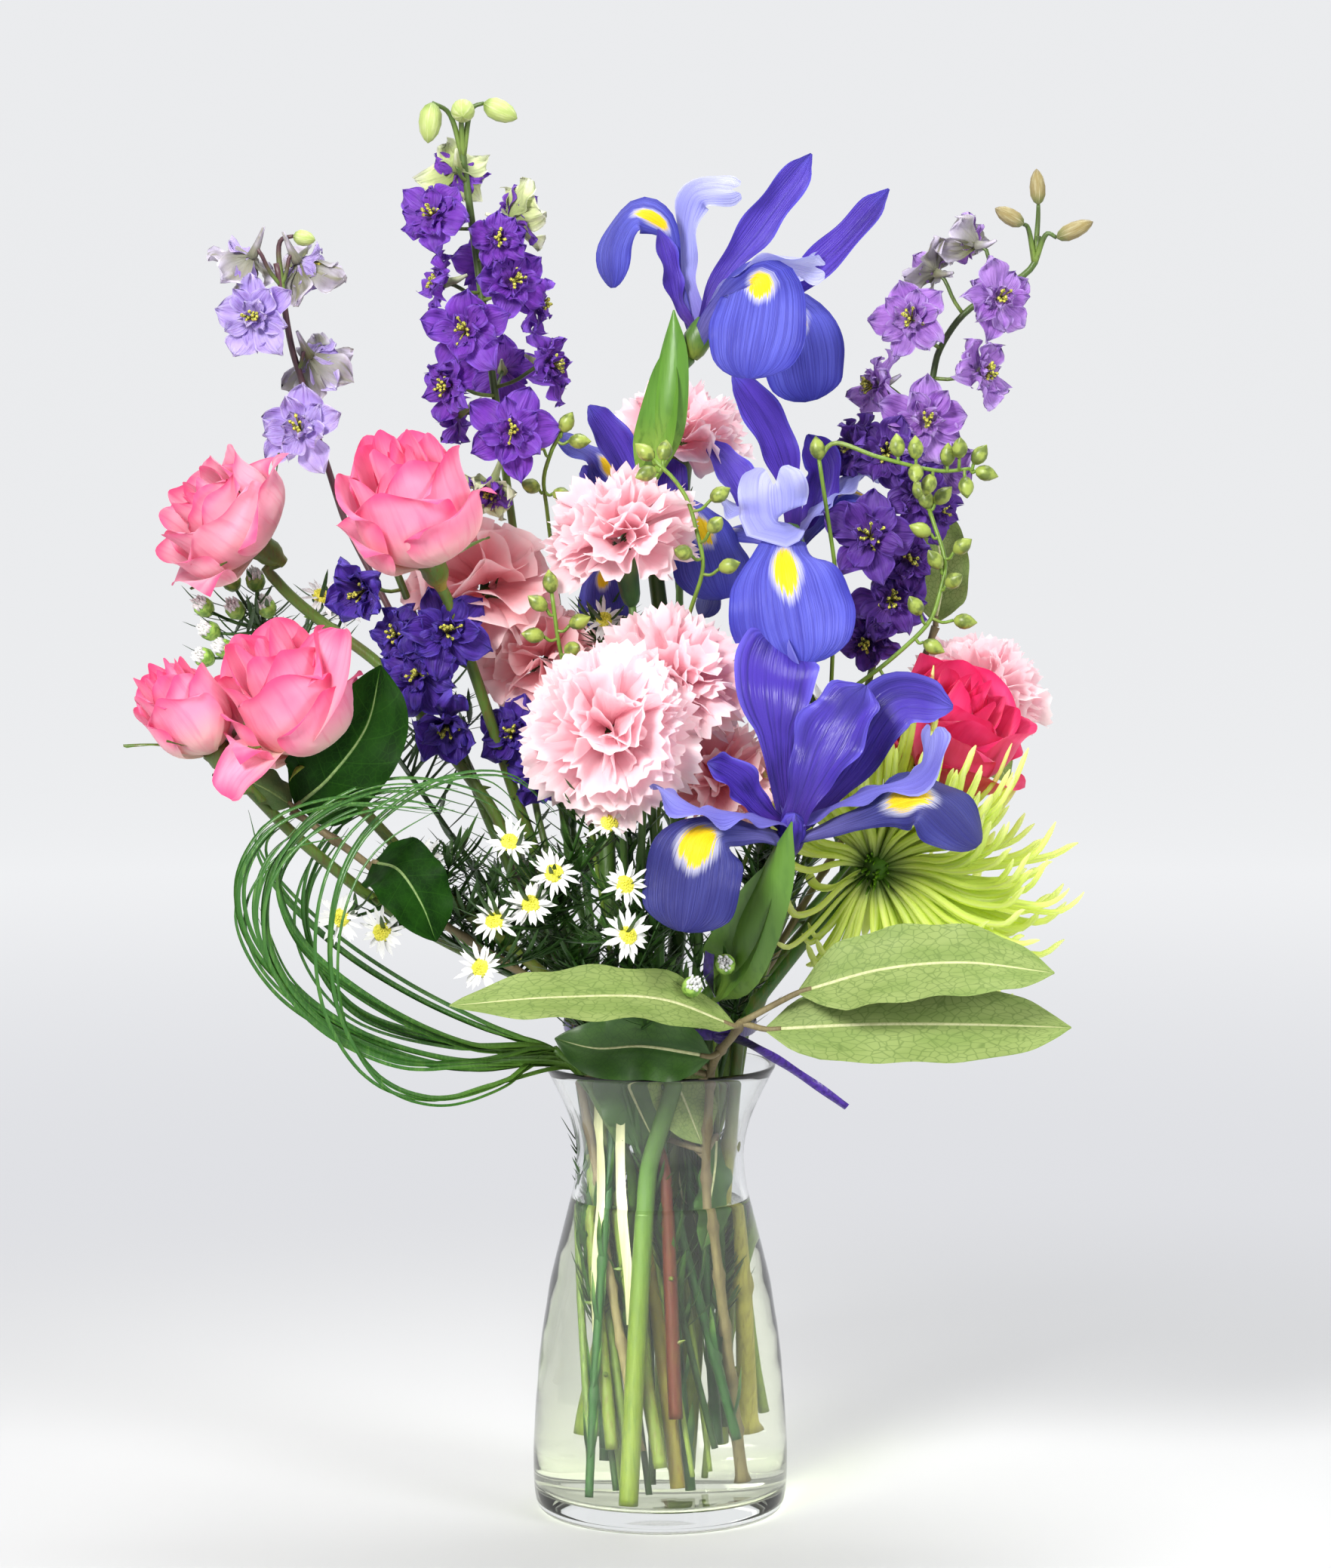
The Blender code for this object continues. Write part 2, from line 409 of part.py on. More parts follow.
def turned(profile, segments):
    """Solid turned about Z from (height, radius) pairs that run up its outer side."""
    angle = np.arange(segments) * math.tau / segments
    rings = [
        np.stack([radius * np.cos(angle), radius * np.sin(angle), np.full(segments, height)], 1)
        for height, radius in profile
    ]
    return np.concatenate(rings), ring_faces(len(profile), segments)


def bulb(length, radius, sides, rows=4):
    """Egg-shaped solid that stands on the origin, with small flats at its ends."""
    height = np.linspace(0.06, 0.94, rows)
    return turned([(length * (h - 0.06) / 0.88, 2 * radius * math.sqrt(h * (1 - h))) for h in height], sides)


def petal_rim(tips, radius, notch, dish, ripple=0.0):
    """Rim of a flower that alternates between petal tips and the notches between them."""
    angle = np.arange(2 * tips) * math.pi / tips
    reach = np.where(np.arange(2 * tips) % 2 == 0, radius, notch)
    height = dish * reach / radius + ripple * np.cos(angle * 2.5)
    return np.stack([reach * np.cos(angle), reach * np.sin(angle), height], 1)


def star(tips, radius, notch, dish, front, back):
    """Flat flower or whorl: a toothed rim between a middle in front and a middle behind."""
    rim = petal_rim(tips, radius, notch, dish)
    here = np.arange(2 * tips)
    onward = (here + 1) % (2 * tips)
    points = np.vstack([rim, (0, 0, front), (0, 0, back)])
    upper = np.stack([here, onward, np.full(2 * tips, 2 * tips)], 1)
    lower = np.stack([onward, here, np.full(2 * tips, 2 * tips + 1)], 1)
    return points, np.concatenate([upper, lower])


def stalked(crown, faces, rim_count, root, centre, axis, radius):
    """A flower and its stalk as one solid, so that no face is spent where they would cross.

    The crown's first points are its rim, and its faces are its front. The back narrows from the
    rim to the three-sided stalk, which runs on to the root.
    """
    axis = unit(axis)
    corners = np.arange(3) * math.tau / 3
    ring = np.stack([np.cos(corners), np.sin(corners), 0 * corners], 1) * radius
    neck = ring @ frame(axis).T
    turn = Vector(axis).rotation_difference(Vector(unit(np.asarray(centre) - root))).to_matrix()
    foot = neck @ np.array(turn).T + root
    points = np.vstack([crown @ frame(axis).T + centre, neck + centre - axis * NECK_DROP, foot])
    necks = len(crown) + np.arange(3)
    feet = necks + 3
    back = []
    for here in range(rim_count):
        onward = (here + 1) % rim_count
        side = 3 * here // rim_count
        back.append((onward, here, necks[side]))
        if 3 * (here + 1) // rim_count != side:
            back.append((onward, necks[side], necks[(side + 1) % 3]))
    for side in range(3):
        nxt = (side + 1) % 3
        back += [(necks[nxt], necks[side], feet[side]), (necks[nxt], feet[side], feet[nxt])]
    back.append((feet[2], feet[1], feet[0]))
    return points, np.concatenate([faces, back])


def daisy(root, centre, axis):
    """A small daisy: pointed rays round a domed middle, on its stalk."""
    rim = petal_rim(DAISY_RAYS, DAISY_RADIUS, DAISY_RADIUS * 0.5, 1.0)
    here = np.arange(len(rim))
    faces = np.stack([here, (here + 1) % len(rim), np.full(len(rim), len(rim))], 1)
    return stalked(np.vstack([rim, (0, 0, 3.0)]), faces, len(rim), root, centre, axis, 0.9)


def floret(root, centre, axis, radius):
    """A larkspur floret: outer petals, a raised ring of inner ones, and its stalk."""
    tips = FLORET_TIPS
    rim = petal_rim(tips, radius, radius * FLORET_NOTCH, 1.5, 2.0)
    inner = np.arange(1, 2 * tips, 2) * math.pi / tips
    middle = radius * FLORET_RING
    ring = np.stack([middle * np.cos(inner), middle * np.sin(inner), np.full(tips, FLORET_RISE)], 1)
    crown = np.vstack([rim, ring, (0, 0, 0.7 * FLORET_RISE)])
    tip = np.arange(0, 2 * tips, 2)
    gap = tip + 1
    after = (tip + 2) % (2 * tips)
    post = 2 * tips + np.arange(tips)
    post_after = 2 * tips + (np.arange(tips) + 1) % tips
    front = np.full(tips, 3 * tips)
    rows = [(tip, gap, post), (gap, after, post), (post, after, post_after), (post, post_after, front)]
    faces = np.concatenate([np.stack(row, 1) for row in rows])
    return stalked(crown, faces, len(rim), root, centre, axis, 1.1)


def ribbon_blade(path, widths, facing, cup=0.0, teeth=0.0):
    """Blade along a path: (share of length, width) pairs, the way it faces, how far its sides rise."""
    path = np.asarray(path, float)
    share = np.linspace(0, 1, len(path))
    width = np.interp(share, [w[0] for w in widths], [w[1] for w in widths])
    tangent = unit(np.gradient(path, axis=0))
    side = unit(np.cross(tangent, facing))
    normal = np.cross(side, tangent)
    across = np.array([-1.0, 0.0, 1.0])
    grid = path[:, None] + side[:, None] * (width[:, None] * across / 2)[..., None]
    lift = cup * width[:, None] / 2 * across**2 + teeth * np.sin(share * LEAF_WAVE)[:, None] * across
    return sheet(grid + normal[:, None] * lift[..., None])


def needle(root, tip, radius):
    """Three-sided needle that narrows from its root to its tip."""
    along = unit(np.asarray(tip) - root)
    base = frame(along)[:, :2] @ np.array([[1.0, -0.5, -0.5], [0.0, 0.87, -0.87]]) * radius
    points = np.vstack([base.T + root, tip])
    return points, np.array([(0, 2, 1), (0, 1, 3), (1, 2, 3), (2, 0, 3)])


def frame(axis, roll=0.0):
    """Rotation that turns +Z to the axis, after a turn about it."""
    z = unit(axis)
    x = unit(np.cross((0.0, 1.0, 0.0) if abs(z[1]) < 0.9 else (1.0, 0.0, 0.0), z))
    y = np.cross(z, x)
    return np.stack([math.cos(roll) * x + math.sin(roll) * y, math.cos(roll) * y - math.sin(roll) * x, z], 1)


def placed(part, base, axis, roll=0.0):
    """The part turned to its axis and moved to its base."""
    points, faces = part
    return points @ frame(axis, roll).T + np.asarray(base, float), faces


def grown(part, by=TRIM):
    """The part moved out on all sides, with its thin edges opened to a flat of the same width.

    A point on a thin edge becomes one point for each face of the blade, and the two rows of
    points are bridged.
    """
    points, faces = part
    corners = points[faces]
    area = np.cross(corners[:, 1] - corners[:, 0], corners[:, 2] - corners[:, 0])
    normal = unit(area)
    owner = {}
    for face, (a, b, c) in enumerate(faces.tolist()):
        owner[a, b] = (face, 0, 1)
        owner[b, c] = (face, 1, 2)
        owner[c, a] = (face, 2, 0)
    group = list(range(3 * len(faces)))

    def root(corner):
        while group[corner] != corner:
            corner = group[corner]
        return corner

    thin = []
    for (a, b), (face, at_a, at_b) in owner.items():
        other, other_b, other_a = owner[b, a]
        if a > b:
            continue
        if normal[face] @ normal[other] > THIN_EDGE:
            group[root(3 * face + at_a)] = root(3 * other + other_a)
            group[root(3 * face + at_b)] = root(3 * other + other_b)
        else:
            thin.append((3 * face + at_a, 3 * face + at_b, 3 * other + other_a, 3 * other + other_b))
    roots = np.array([root(corner) for corner in range(len(group))])
    kept, index = np.unique(roots, return_inverse=True)
    where = faces.ravel()[kept]
    push = np.zeros((len(kept), 3))
    np.add.at(push, index, np.repeat(area, 3, axis=0))
    outward = np.zeros_like(points)
    for corner in range(3):
        np.add.at(outward, faces[:, corner], unit(corners[:, corner] - corners.mean(axis=1)))
    split = np.bincount(where, minlength=len(points))[where] > 1
    move = unit(push) + unit(outward)[where] * split[:, None]
    bridges = []
    for a, b, c, d in thin:
        a, b, c, d = index[[a, b, c, d]]
        bridges += [face for face in ((b, a, c), (b, c, d)) if len(set(face)) == 3]
    grown_faces = index.reshape(-1, 3).tolist() + bridges
    return points[where] + move * by, np.array(grown_faces + caps(grown_faces))


def caps(faces):
    """Triangles that close the small holes of a mesh."""
    edges = {edge for a, b, c in faces for edge in ((a, b), (b, c), (c, a))}
    missing = {b: a for a, b in edges if (b, a) not in edges}
    closing = []
    while missing:
        loop = list(missing.popitem())
        while loop[-1] in missing:
            loop.append(missing.pop(loop[-1]))
        closing += [(loop[0], loop[k], loop[k + 1]) for k in range(1, len(loop) - 2)]
    return closing


def box_of(part):
    """Lowest and highest corner of a part's box."""
    return part[0].min(axis=0), part[0].max(axis=0)


def meet(part, other):
    """Whether the boxes of two parts come within a millimetre of each other."""
    low, high = box_of(part)
    other_low, other_high = box_of(other)
    return bool((other_low < high + 1).all() and (other_high > low - 1).all())


def material_for(name, colour, roughness=0.55, transmission=0.0):
    """Principled material of one colour, made once."""
    made = bpy.data.materials.get(name)
    if made:
        return made
    made = bpy.data.materials.new(name)
    made.use_nodes = True
    shader = made.node_tree.nodes["Principled BSDF"]
    shader.inputs["Base Color"].default_value = (*colour, 1.0)
    shader.inputs["Roughness"].default_value = roughness
    shader.inputs["Metallic"].default_value = 0.0
    shader.inputs["Transmission Weight"].default_value = transmission
    return made


def add_object(name, part):
    """Mesh object of one part, in metres."""
    points, faces = part
    mesh = bpy.data.meshes.new(name)
    mesh.from_pydata((points * MM).tolist(), [], faces.tolist())
    mesh.update()
    made = bpy.data.objects.new(name, mesh)
    bpy.context.scene.collection.objects.link(made)
    return made


def combine(whole, operation, parts):
    """Applies one Boolean with a collection of the parts, and removes the collection.

    The sheets of a bloom cross each other in hundreds of places, where the exact solver is slow.
    """
    helpers = bpy.data.collections.new("helpers")
    bpy.context.scene.collection.children.link(helpers)
    for part in parts:
        helper = add_object("helper", part)
        bpy.context.scene.collection.objects.unlink(helper)
        helpers.objects.link(helper)
    boolean = whole.modifiers.new(operation.title(), "BOOLEAN")
    boolean.operation = operation
    boolean.operand_type = "COLLECTION"
    boolean.collection = helpers
    boolean.solver = "MANIFOLD"
    bpy.context.view_layer.update()
    graph = bpy.context.evaluated_depsgraph_get()
    joined = bpy.data.meshes.new_from_object(whole.evaluated_get(graph))
    whole.modifiers.clear()
    whole.data = joined
    for helper in list(helpers.objects):
        bpy.data.objects.remove(helper, do_unlink=True)
    bpy.data.collections.remove(helpers)


def signed_volume(faces):
    """Volume that a set of triangles encloses, negative where they face inwards."""
    return sum(f.verts[0].co.cross(f.verts[1].co).dot(f.verts[2].co) for f in faces) / 6


def keep_largest(whole):
    """Keeps the largest body of a mesh, so that loose scraps go and sealed hollows are filled."""
    work = bmesh.new()
    work.from_mesh(whole.data)
    bmesh.ops.triangulate(work, faces=work.faces[:])
    unseen = set(work.faces)
    bodies = []
    while unseen:
        body = [unseen.pop()]
        for face in body:
            for edge in face.edges:
                for other in edge.link_faces:
                    if other in unseen:
                        unseen.remove(other)
                        body.append(other)
        bodies.append(body)
    largest = max(bodies, key=signed_volume)
    spare = set(work.faces) - set(largest)
    bmesh.ops.delete(work, geom=list(spare), context="FACES")
    bmesh.ops.delete(work, geom=[v for v in work.verts if not v.link_faces], context="VERTS")
    work.to_mesh(whole.data)
    work.free()


class Bunch:
    """The pieces made so far, and what a new piece has to stay clear of."""

    def __init__(self):
        self.made = []

    def add(self, name, parts, material):
        """Fuses the parts in one solid named name, clear of every piece made before it."""
        cutters = []
        for cutter in self.made:
            if any(meet(cutter, part) for part in parts):
                cutters.append(grown(cutter))
        whole = add_object(name, parts[0])
        if len(parts) > 1:
            combine(whole, "UNION", parts[1:])
        if cutters:
            combine(whole, "DIFFERENCE", cutters)
        keep_largest(whole)
        whole.data.materials.clear()
        whole.data.materials.append(material)
        whole.data.shade_smooth()
        whole.data.set_sharp_from_angle(angle=math.radians(40))
        self.made.extend(parts)


def vase_profile():
    """(height, radius) pairs up the outside of the vase and down its inside."""
    inside = [(z, r - VASE_WALL) for z, r in VASE_OUTSIDE if z > VASE_FLOOR + 3]
    floor = [(VASE_FLOOR + 3, VASE_OUTSIDE[1][1] - VASE_WALL), (VASE_FLOOR, VASE_OUTSIDE[0][1] - 3 * VASE_WALL)]
    return list(VASE_OUTSIDE) + inside[::-1] + floor


def inner_radius(height):
    """Radius of the vase's inside at a height."""
    heights, radii = zip(*VASE_OUTSIDE)
    return np.interp(height, heights, radii) - VASE_WALL


def water_part():
    """The water as a turned solid just clear of the glass."""
    heights = [z for z, _ in VASE_OUTSIDE if VASE_FLOOR + 4 < z < WATER_LEVEL - 4]
    sides = [(z, inner_radius(z) - CLEARANCE) for z in heights]
    low = (VASE_FLOOR + CLEARANCE, VASE_OUTSIDE[0][1] - 3 * VASE_WALL - 3)
    return turned([low, *sides, (WATER_LEVEL, inner_radius(WATER_LEVEL) - CLEARANCE)], VASE_SEGMENTS)


def gathered(route):
    """Where a stem crosses the waist and where it ends, as a hand-tied spiral places it."""
    x, y, z = route[0]
    angle = math.atan2(y, x)
    waist = min(25.0, 5 + 0.13 * math.hypot(x, y))
    foot = min(42.0, 12 + 1.3 * waist)
    depth = 12 + (7 * x + 5 * z) % 26
    turn = angle + SPIRAL_TURN
    return ((waist * math.cos(angle), waist * math.sin(angle)),
            (foot * math.cos(turn), foot * math.sin(turn), depth))


def stem_of(name, route, radius, waist=(), foot=()):
    """A stem from its route, with the waist and cut end that the spiral gives where none is set."""
    own_waist, own_foot = gathered(route)
    return Stem(name, tuple(route), radius, tuple(waist or own_waist), tuple(foot or own_foot))


def bloom_stem(bloom, radius, seat=0.0):
    """The stem of a bloom, which meets it along its axis, seat below its base."""
    axis = unit(bloom.axis)
    tip = np.array(bloom.base) - axis * seat
    route = [tip, tip - axis * bloom.lead]
    if bloom.route:
        route = [tip, *bloom.route]
    return stem_of(bloom.name, [tuple(p) for p in route], radius, bloom.waist, bloom.foot)


def all_stems():
    """Every stem in the bunch."""
    stems = [bloom_stem(b, IRIS_STEM, CLEARANCE) for b in IRISES]
    stems += [bloom_stem(b, ROSE_STEM, HIP[0][0]) for b in ROSES]
    stems += [bloom_stem(b, CARNATION_STEM, CALYX[0][0]) for b in CARNATIONS]
    stems.append(bloom_stem(MUM, MUM_STEM, CLEARANCE))
    stems += [stem_of(name, route, radius) for name, radius, route, _ in LARKSPURS]
    stems += [stem_of(name, route, BUD_STEM) for name, route, _, _ in BUD_SPRAYS]
    stems += [stem_of(name, route, ASTER_STEM) for name, route, _ in ASTERS]
    stems += [stem_of(name, route, radius) for name, _, radius, route, _ in BRANCHES]
    stems.append(stem_of("grass", GRASS_ROOT[::-1][:3], GRASS_STEM, GRASS_ROOT[1][:2], (-10, -12, 60)))
    return stems


def settled(stems, blooms):
    """Routes of the stems after they have pushed each other and the blooms clear.

    Each stem is a row of places at even heights. In turn, stems that are too close move apart,
    bends ease, and the glass, the tie and the blooms hold them. Ends that are set stay.
    """
    heights = np.arange(8.0, max(s.route[0][2] for s in stems) + LEVEL_STEP, LEVEL_STEP)
    radii = np.array([s.radius for s in stems])
    places = np.zeros((len(stems), len(heights), 2))
    free = np.zeros((len(stems), len(heights)), bool)
    live = np.zeros_like(free)
    for row, stem in enumerate(stems):
        top = np.array(stem.route[-1], float)
        down = unit(top - np.array(stem.route[-2], float)) * 0.35 * (top[2] - WAIST_HEIGHT)
        line = [*stem.route, top + down, (*stem.waist, WAIST_HEIGHT), stem.foot]
        line = [p for p, q in zip(line, [(0, 0, 999), *line]) if p[2] < q[2] - 1]
        curve = smooth(line, 200)
        curve = curve[np.argsort(curve[:, 2])]
        for axis in (0, 1):
            places[row, :, axis] = np.interp(heights, curve[:, 2], curve[:, axis])
        live[row] = (heights >= stem.foot[2] - LEVEL_STEP) & (heights <= stem.route[0][2] + LEVEL_STEP)
        free[row] = live[row] & (heights < stem.route[-1][2] - 4) & (heights > stem.foot[2])
    low = heights <= WAIST_HEIGHT
    both = live[:, None] & live[None]
    both &= ~np.eye(len(stems), dtype=bool)[..., None]
    room = inner_radius(heights) - 0.9
    spread = 2.2 * np.clip(np.abs(heights - RIBBON_CENTRE[2]) - LEVEL_STEP, 0, None)
    room = np.where(heights > VASE_HEIGHT, TIE_RADIUS + spread, room)
    middle = np.clip((heights - WAIST_HEIGHT) / (RIBBON_CENTRE[2] - WAIST_HEIGHT), 0, 1)[:, None] * RIBBON_CENTRE[:2]
    for step in range(SETTLING_STEPS):
        lean = np.sqrt(1 + (np.gradient(places, LEVEL_STEP, axis=1) ** 2).sum(axis=2))
        apart = places[:, None] - places[None]
        distance = np.linalg.norm(apart, axis=3) + 1e-6
        need = (radii[:, None, None] + radii[None, :, None]) * np.maximum(lean[:, None], lean[None])
        push = np.clip(need + STEM_CLEARANCE - distance, 0, 3) * both
        move = 0.5 * (push[..., None] * apart / distance[..., None]).sum(axis=1)
        for name, centre, radius in blooms:
            reach = np.sqrt(np.clip((radius + radii[:, None] + 1) ** 2 - (heights - centre[2]) ** 2, 0, None))
            off = places - centre[:2]
            away = np.linalg.norm(off, axis=2) + 1e-6
            mine = np.array([s.name == name for s in stems])[:, None]
            move += (np.clip(reach - away, 0, 3) * ~mine)[..., None] * off / away[..., None]
        places += np.where(free[..., None], move, 0)
        easing = 0.24 if step < SETTLING_STEPS - 40 else 0.06
        bend = np.zeros_like(places)
        bend[:, 1:-1] = places[:, :-2] + places[:, 2:] - 2 * places[:, 1:-1]
        places += np.where(free[..., None], easing * bend, 0)
        away = np.linalg.norm(places - middle, axis=2) + 1e-6
        within = np.minimum(1, (room - radii[:, None] * lean) / away)
        places = middle + (places - middle) * np.where(free, within, 1)[..., None]
        places = np.where((live & low)[..., None], straightened(places, heights, live & low), places)
    return {stem.name: stem_path(stem, heights, places[row], free[row]) for row, stem in enumerate(stems)}


def straightened(places, heights, chosen):
    """For each stem, the straight line that best fits its chosen places."""
    weight = chosen[..., None] / chosen.sum(axis=1)[:, None, None]
    height = heights[None, :, None]
    mean_height = (weight * height).sum(axis=1, keepdims=True)
    mean_place = (weight * places).sum(axis=1, keepdims=True)
    offset = height - mean_height
    slope = (weight * offset * places).sum(axis=1, keepdims=True)
    slope = slope / (weight * offset**2).sum(axis=1, keepdims=True)
    return mean_place + slope * offset


def stem_path(stem, heights, places, free):
    """The points of a settled stem from its cut end to its tip, as few as its bends need."""
    run = np.column_stack([places[free], heights[free]])
    first = places[free][0]
    drop = (places[free][1] - first) / LEVEL_STEP * (heights[free][0] - stem.foot[2])
    foot = np.array([*(first - drop), stem.foot[2]])
    top = smooth(stem.route, 4 * len(stem.route))[::-1]
    return thinned(np.vstack([foot, run, top]), BEND_TOLERANCE)


def stem_tube(path, radius, sides=5):
    """A stem that is a little thinner at its tip than at its cut end."""
    return tube(path, radius * np.linspace(1.0, 0.86, len(path)), sides)


def swollen_stem(path, radius, bloom, swelling, sides=5):
    """A stem whose tip swells under its bloom: (distance below the bloom, radius) pairs."""
    tops = [np.array(bloom.base) - unit(bloom.axis) * drop for drop, _ in swelling]
    radii = [*np.linspace(radius, 0.9 * radius, len(path) - 1), *(wide for _, wide in swelling)]
    return tube(np.vstack([path[:-1], tops]), radii, sides)


def ring_of(count, start=0.0):
    """Evenly spaced directions round a circle."""
    return [start + k * math.tau / count for k in range(count)]


def rose_petal(bloom, turn, spread, ring):
    """One cupped rose petal, from its root inside the heart to its edge.

    A ring gives a petal's reach and rise as shares of the bloom's radius and depth, how far its
    edge flares, and how high its root is.
    """
    reach, rise, flare, root = ring
    reach *= bloom.radius
    rise *= bloom.depth
    across = np.array([-1.0, 0.0, 1.0])
    grid = []
    for radius, height, share in ((0.22, root * bloom.depth, 0.4), (0.94, rise * 0.45, 0.9), (flare, rise, 0.75)):
        angle = turn + across * spread * share
        r = reach * radius * (1 + 0.05 * across)
        grid.append(np.stack([r * np.cos(angle), r * np.sin(angle), height - 0.12 * rise * across**2], 1))
    return sheet(grid)


def rose_parts(bloom):
    """A furled heart with an inner and an outer ring of cupped petals."""
    parts = [turned([(bloom.depth * up, bloom.radius * wide) for up, wide in ROSE_HEART], 5)]
    for count, start, ring in zip(bloom.petals, (0.5, 0.0), (ROSE_INNER, ROSE_OUTER)):
        for turn in ring_of(count, start):
            parts.append(rose_petal(bloom, turn, math.pi / count, ring))
    return parts


def carnation_petal(turn, rise, seat, length, half, wave):
    """A fan with a toothed edge that ruffles to and fro, from its seat on the heart."""
    out = np.array([math.cos(turn), math.sin(turn), 0.0])
    side = np.array([-math.sin(turn), math.cos(turn), 0.0])
    up = np.array([0.0, 0.0, 1.0])
    along = out * math.cos(rise) + up * math.sin(rise)
    normal = up * math.cos(rise) - out * math.sin(rise)
    root = up * seat + along * CARNATION_HEART * 0.4
    rim = [root]
    for k, a in enumerate(np.linspace(-half, half, 5)):
        reach = length * (0.94 if k % 2 else 1.08)
        ray = along * math.cos(a) + side * math.sin(a)
        rim.append(up * seat + ray * reach + normal * wave * math.cos(math.pi * k))
    return pillow(rim, root + along * length * 0.55, normal, CARNATION_PETAL)


def carnation_parts(bloom):
    """A small heart with rings of ruffled petals that stand steeper towards the middle."""
    parts = [bulb(bloom.depth * 0.8, CARNATION_HEART, 5, 3)]
    for count, (rise, seat, size) in zip(bloom.petals, CARNATION_RINGS):
        half = PETAL_SHARE * math.atan(math.tan(math.pi / max(count, 4)) * math.cos(rise))
        for turn in ring_of(count, 1.1 * rise):
            parts.append(carnation_petal(turn, rise, seat, bloom.radius * size, half, CARNATION_RUFFLE))
    return parts


def iris_parts(bloom):
    """Falls, standards and style arms, each along its own route, rooted in one throat."""
    axis = unit(bloom.axis)
    parts = [placed(bulb(19, 7.5, 5, 3), bloom.base, axis)]
    for kind, size, facing, route in bloom.petals:
        widths = [(share, size * width) for share, width in IRIS_WIDTHS[kind]]
        start = np.array(bloom.base) + axis * IRIS_ROOTS[kind]
        path = smooth([start, *route[1:]], IRIS_ROWS[kind])
        parts.append(ribbon_blade(path, widths, facing, IRIS_CUP[kind]))
    return parts


def sheath_parts(bloom, path):
    """The green sheath leaves that clasp the top of an iris stem."""
    parts = []
    for owner, width, facing, route in SHEATHS:
        if owner == bloom.name:
            blade = smooth([nearest_on(path, route[0]), *route[1:]], 5)
            widths = ((0, 8), (0.35, width), (0.7, 0.8 * width), (1, 2))
            parts.append(ribbon_blade(blade, widths, facing, -0.35))
    return parts


def mum_parts(bloom):
    """Rings of hooked quills round a small heart."""
    draw = np.random.default_rng(11)
    parts = [bulb(26, 15, 7)]
    for ring, (count, rise, reach) in enumerate(MUM_RINGS):
        for turn in ring_of(count, 0.35 * ring):
            turn += draw.uniform(-0.08, 0.08)
            lift = rise + draw.uniform(-0.10, 0.10)
            length = reach * draw.uniform(0.9, 1.06)
            out = np.array([math.cos(turn), math.sin(turn), 0.0])
            along = out * math.cos(lift) + np.array([0, 0, math.sin(lift)])
            hook = unit(np.array([0, 0, 1.0]) - out * 0.6)
            root = np.array([0, 0, 11.0])
            path = [root, root + along * length * 0.85, root + along * length * 0.93 + hook * 8]
            parts.append(tube(path, (1.7, 2.0, 1.3), 3))
    return parts


def nearest_on(path, point, drop=0.0):
    """The point of a path, short of its tip, that is nearest to the given point lowered by drop."""
    tip = path[-1] - unit(path[-1] - path[-2]) * ROOT_SINK
    fine = np.concatenate([np.linspace(a, b, 12) for a, b in zip(path[:-1], [*path[1:-1], tip])])
    target = np.asarray(point, float) - (0, 0, drop)
    return fine[np.linalg.norm(fine - target, axis=1).argmin()]


def bud(path, centre, size=3.6):
    """An oval bud on a fine stalk that leaves the path."""
    centre = np.array(centre, float)
    root = nearest_on(path, centre, 5.0)
    along = unit(centre - root)
    places = (root, centre - along * size * 1.3, centre - along * size * 0.3, centre + along * size * 1.3)
    return tube(places, (0.75, 0.9, size, 0.8), 4)


def larkspur_parts(path, radius, florets):
    """A spike: the stem, its florets, and buds at its tip."""
    parts = [stem_tube(path, radius, 4)]
    for centre, axis, size in florets:
        root = nearest_on(path, np.array(centre) - unit(axis) * 8, 6.0)
        parts.append(floret(root, np.array(centre), axis, size))
    tip = path[-1]
    for offset in ((-12, -2, 5), (2, -8, 10), (13, 2, 6)):
        parts.append(bud(path, tip + offset, 3.8))
    return parts


def aster_parts(name, path, heads):
    """A spray: the stem, its daisies, and fine leaves all the way along it."""
    draw = np.random.default_rng(sum(name.encode()))
    parts = [stem_tube(path, ASTER_STEM, 4)]
    for row, centre in enumerate(heads):
        root = nearest_on(path, centre, 8.0 + 4.0 * row)
        axis = unit(np.array(centre) - root) * 0.6 + (0, -0.7, 0.35)
        parts.append(daisy(root, np.array(centre, float), axis))
    low, high = 222.0, path[-1][2]
    for height in np.linspace(low, high, ASTER_NEEDLES):
        root = nearest_on(path, (path[-1][0], path[-1][1], height))
        root[2] = max(root[2], low)
        root = nearest_on(path, root)
        turn = draw.uniform(0, math.tau)
        out = unit((math.cos(turn), math.sin(turn), draw.uniform(0.2, 1.0)))
        length = draw.uniform(16, 30)
        parts.append(needle(root, root + out * length, 1.5))
    return parts


def branch_parts(path, radius, leaves):
    """A leafy branch: the stem, and leaves on short stalks."""
    parts = [stem_tube(path, radius, 5)]
    for width, facing, route in leaves:
        route = [np.array(p, float) for p in route]
        root = nearest_on(path, route[0])
        widths = [(share, width * w) for share, w in LEAF_WIDTHS]
        blade = smooth([root, *route[1:]], 5)
        parts.append(ribbon_blade(blade, widths, facing, LEAF_CUP, 1.0))
    return parts


def grass_parts(path):
    """A tuft whose long blades arch over and round in loops."""
    parts = [stem_tube(path, GRASS_STEM)]
    for row, loop in enumerate(GRASS_LOOPS):
        root = path[-1] + (path[-2] - path[-1]) * (row + 1) / (len(GRASS_LOOPS) + 2)
        route = thinned(smooth([root, *loop], 40), 2.4)
        taper = np.linspace(1.0, 0.45, len(route))
        parts.append(tube(route, GRASS_WIDTH / 2 * taper, 3))
    return parts


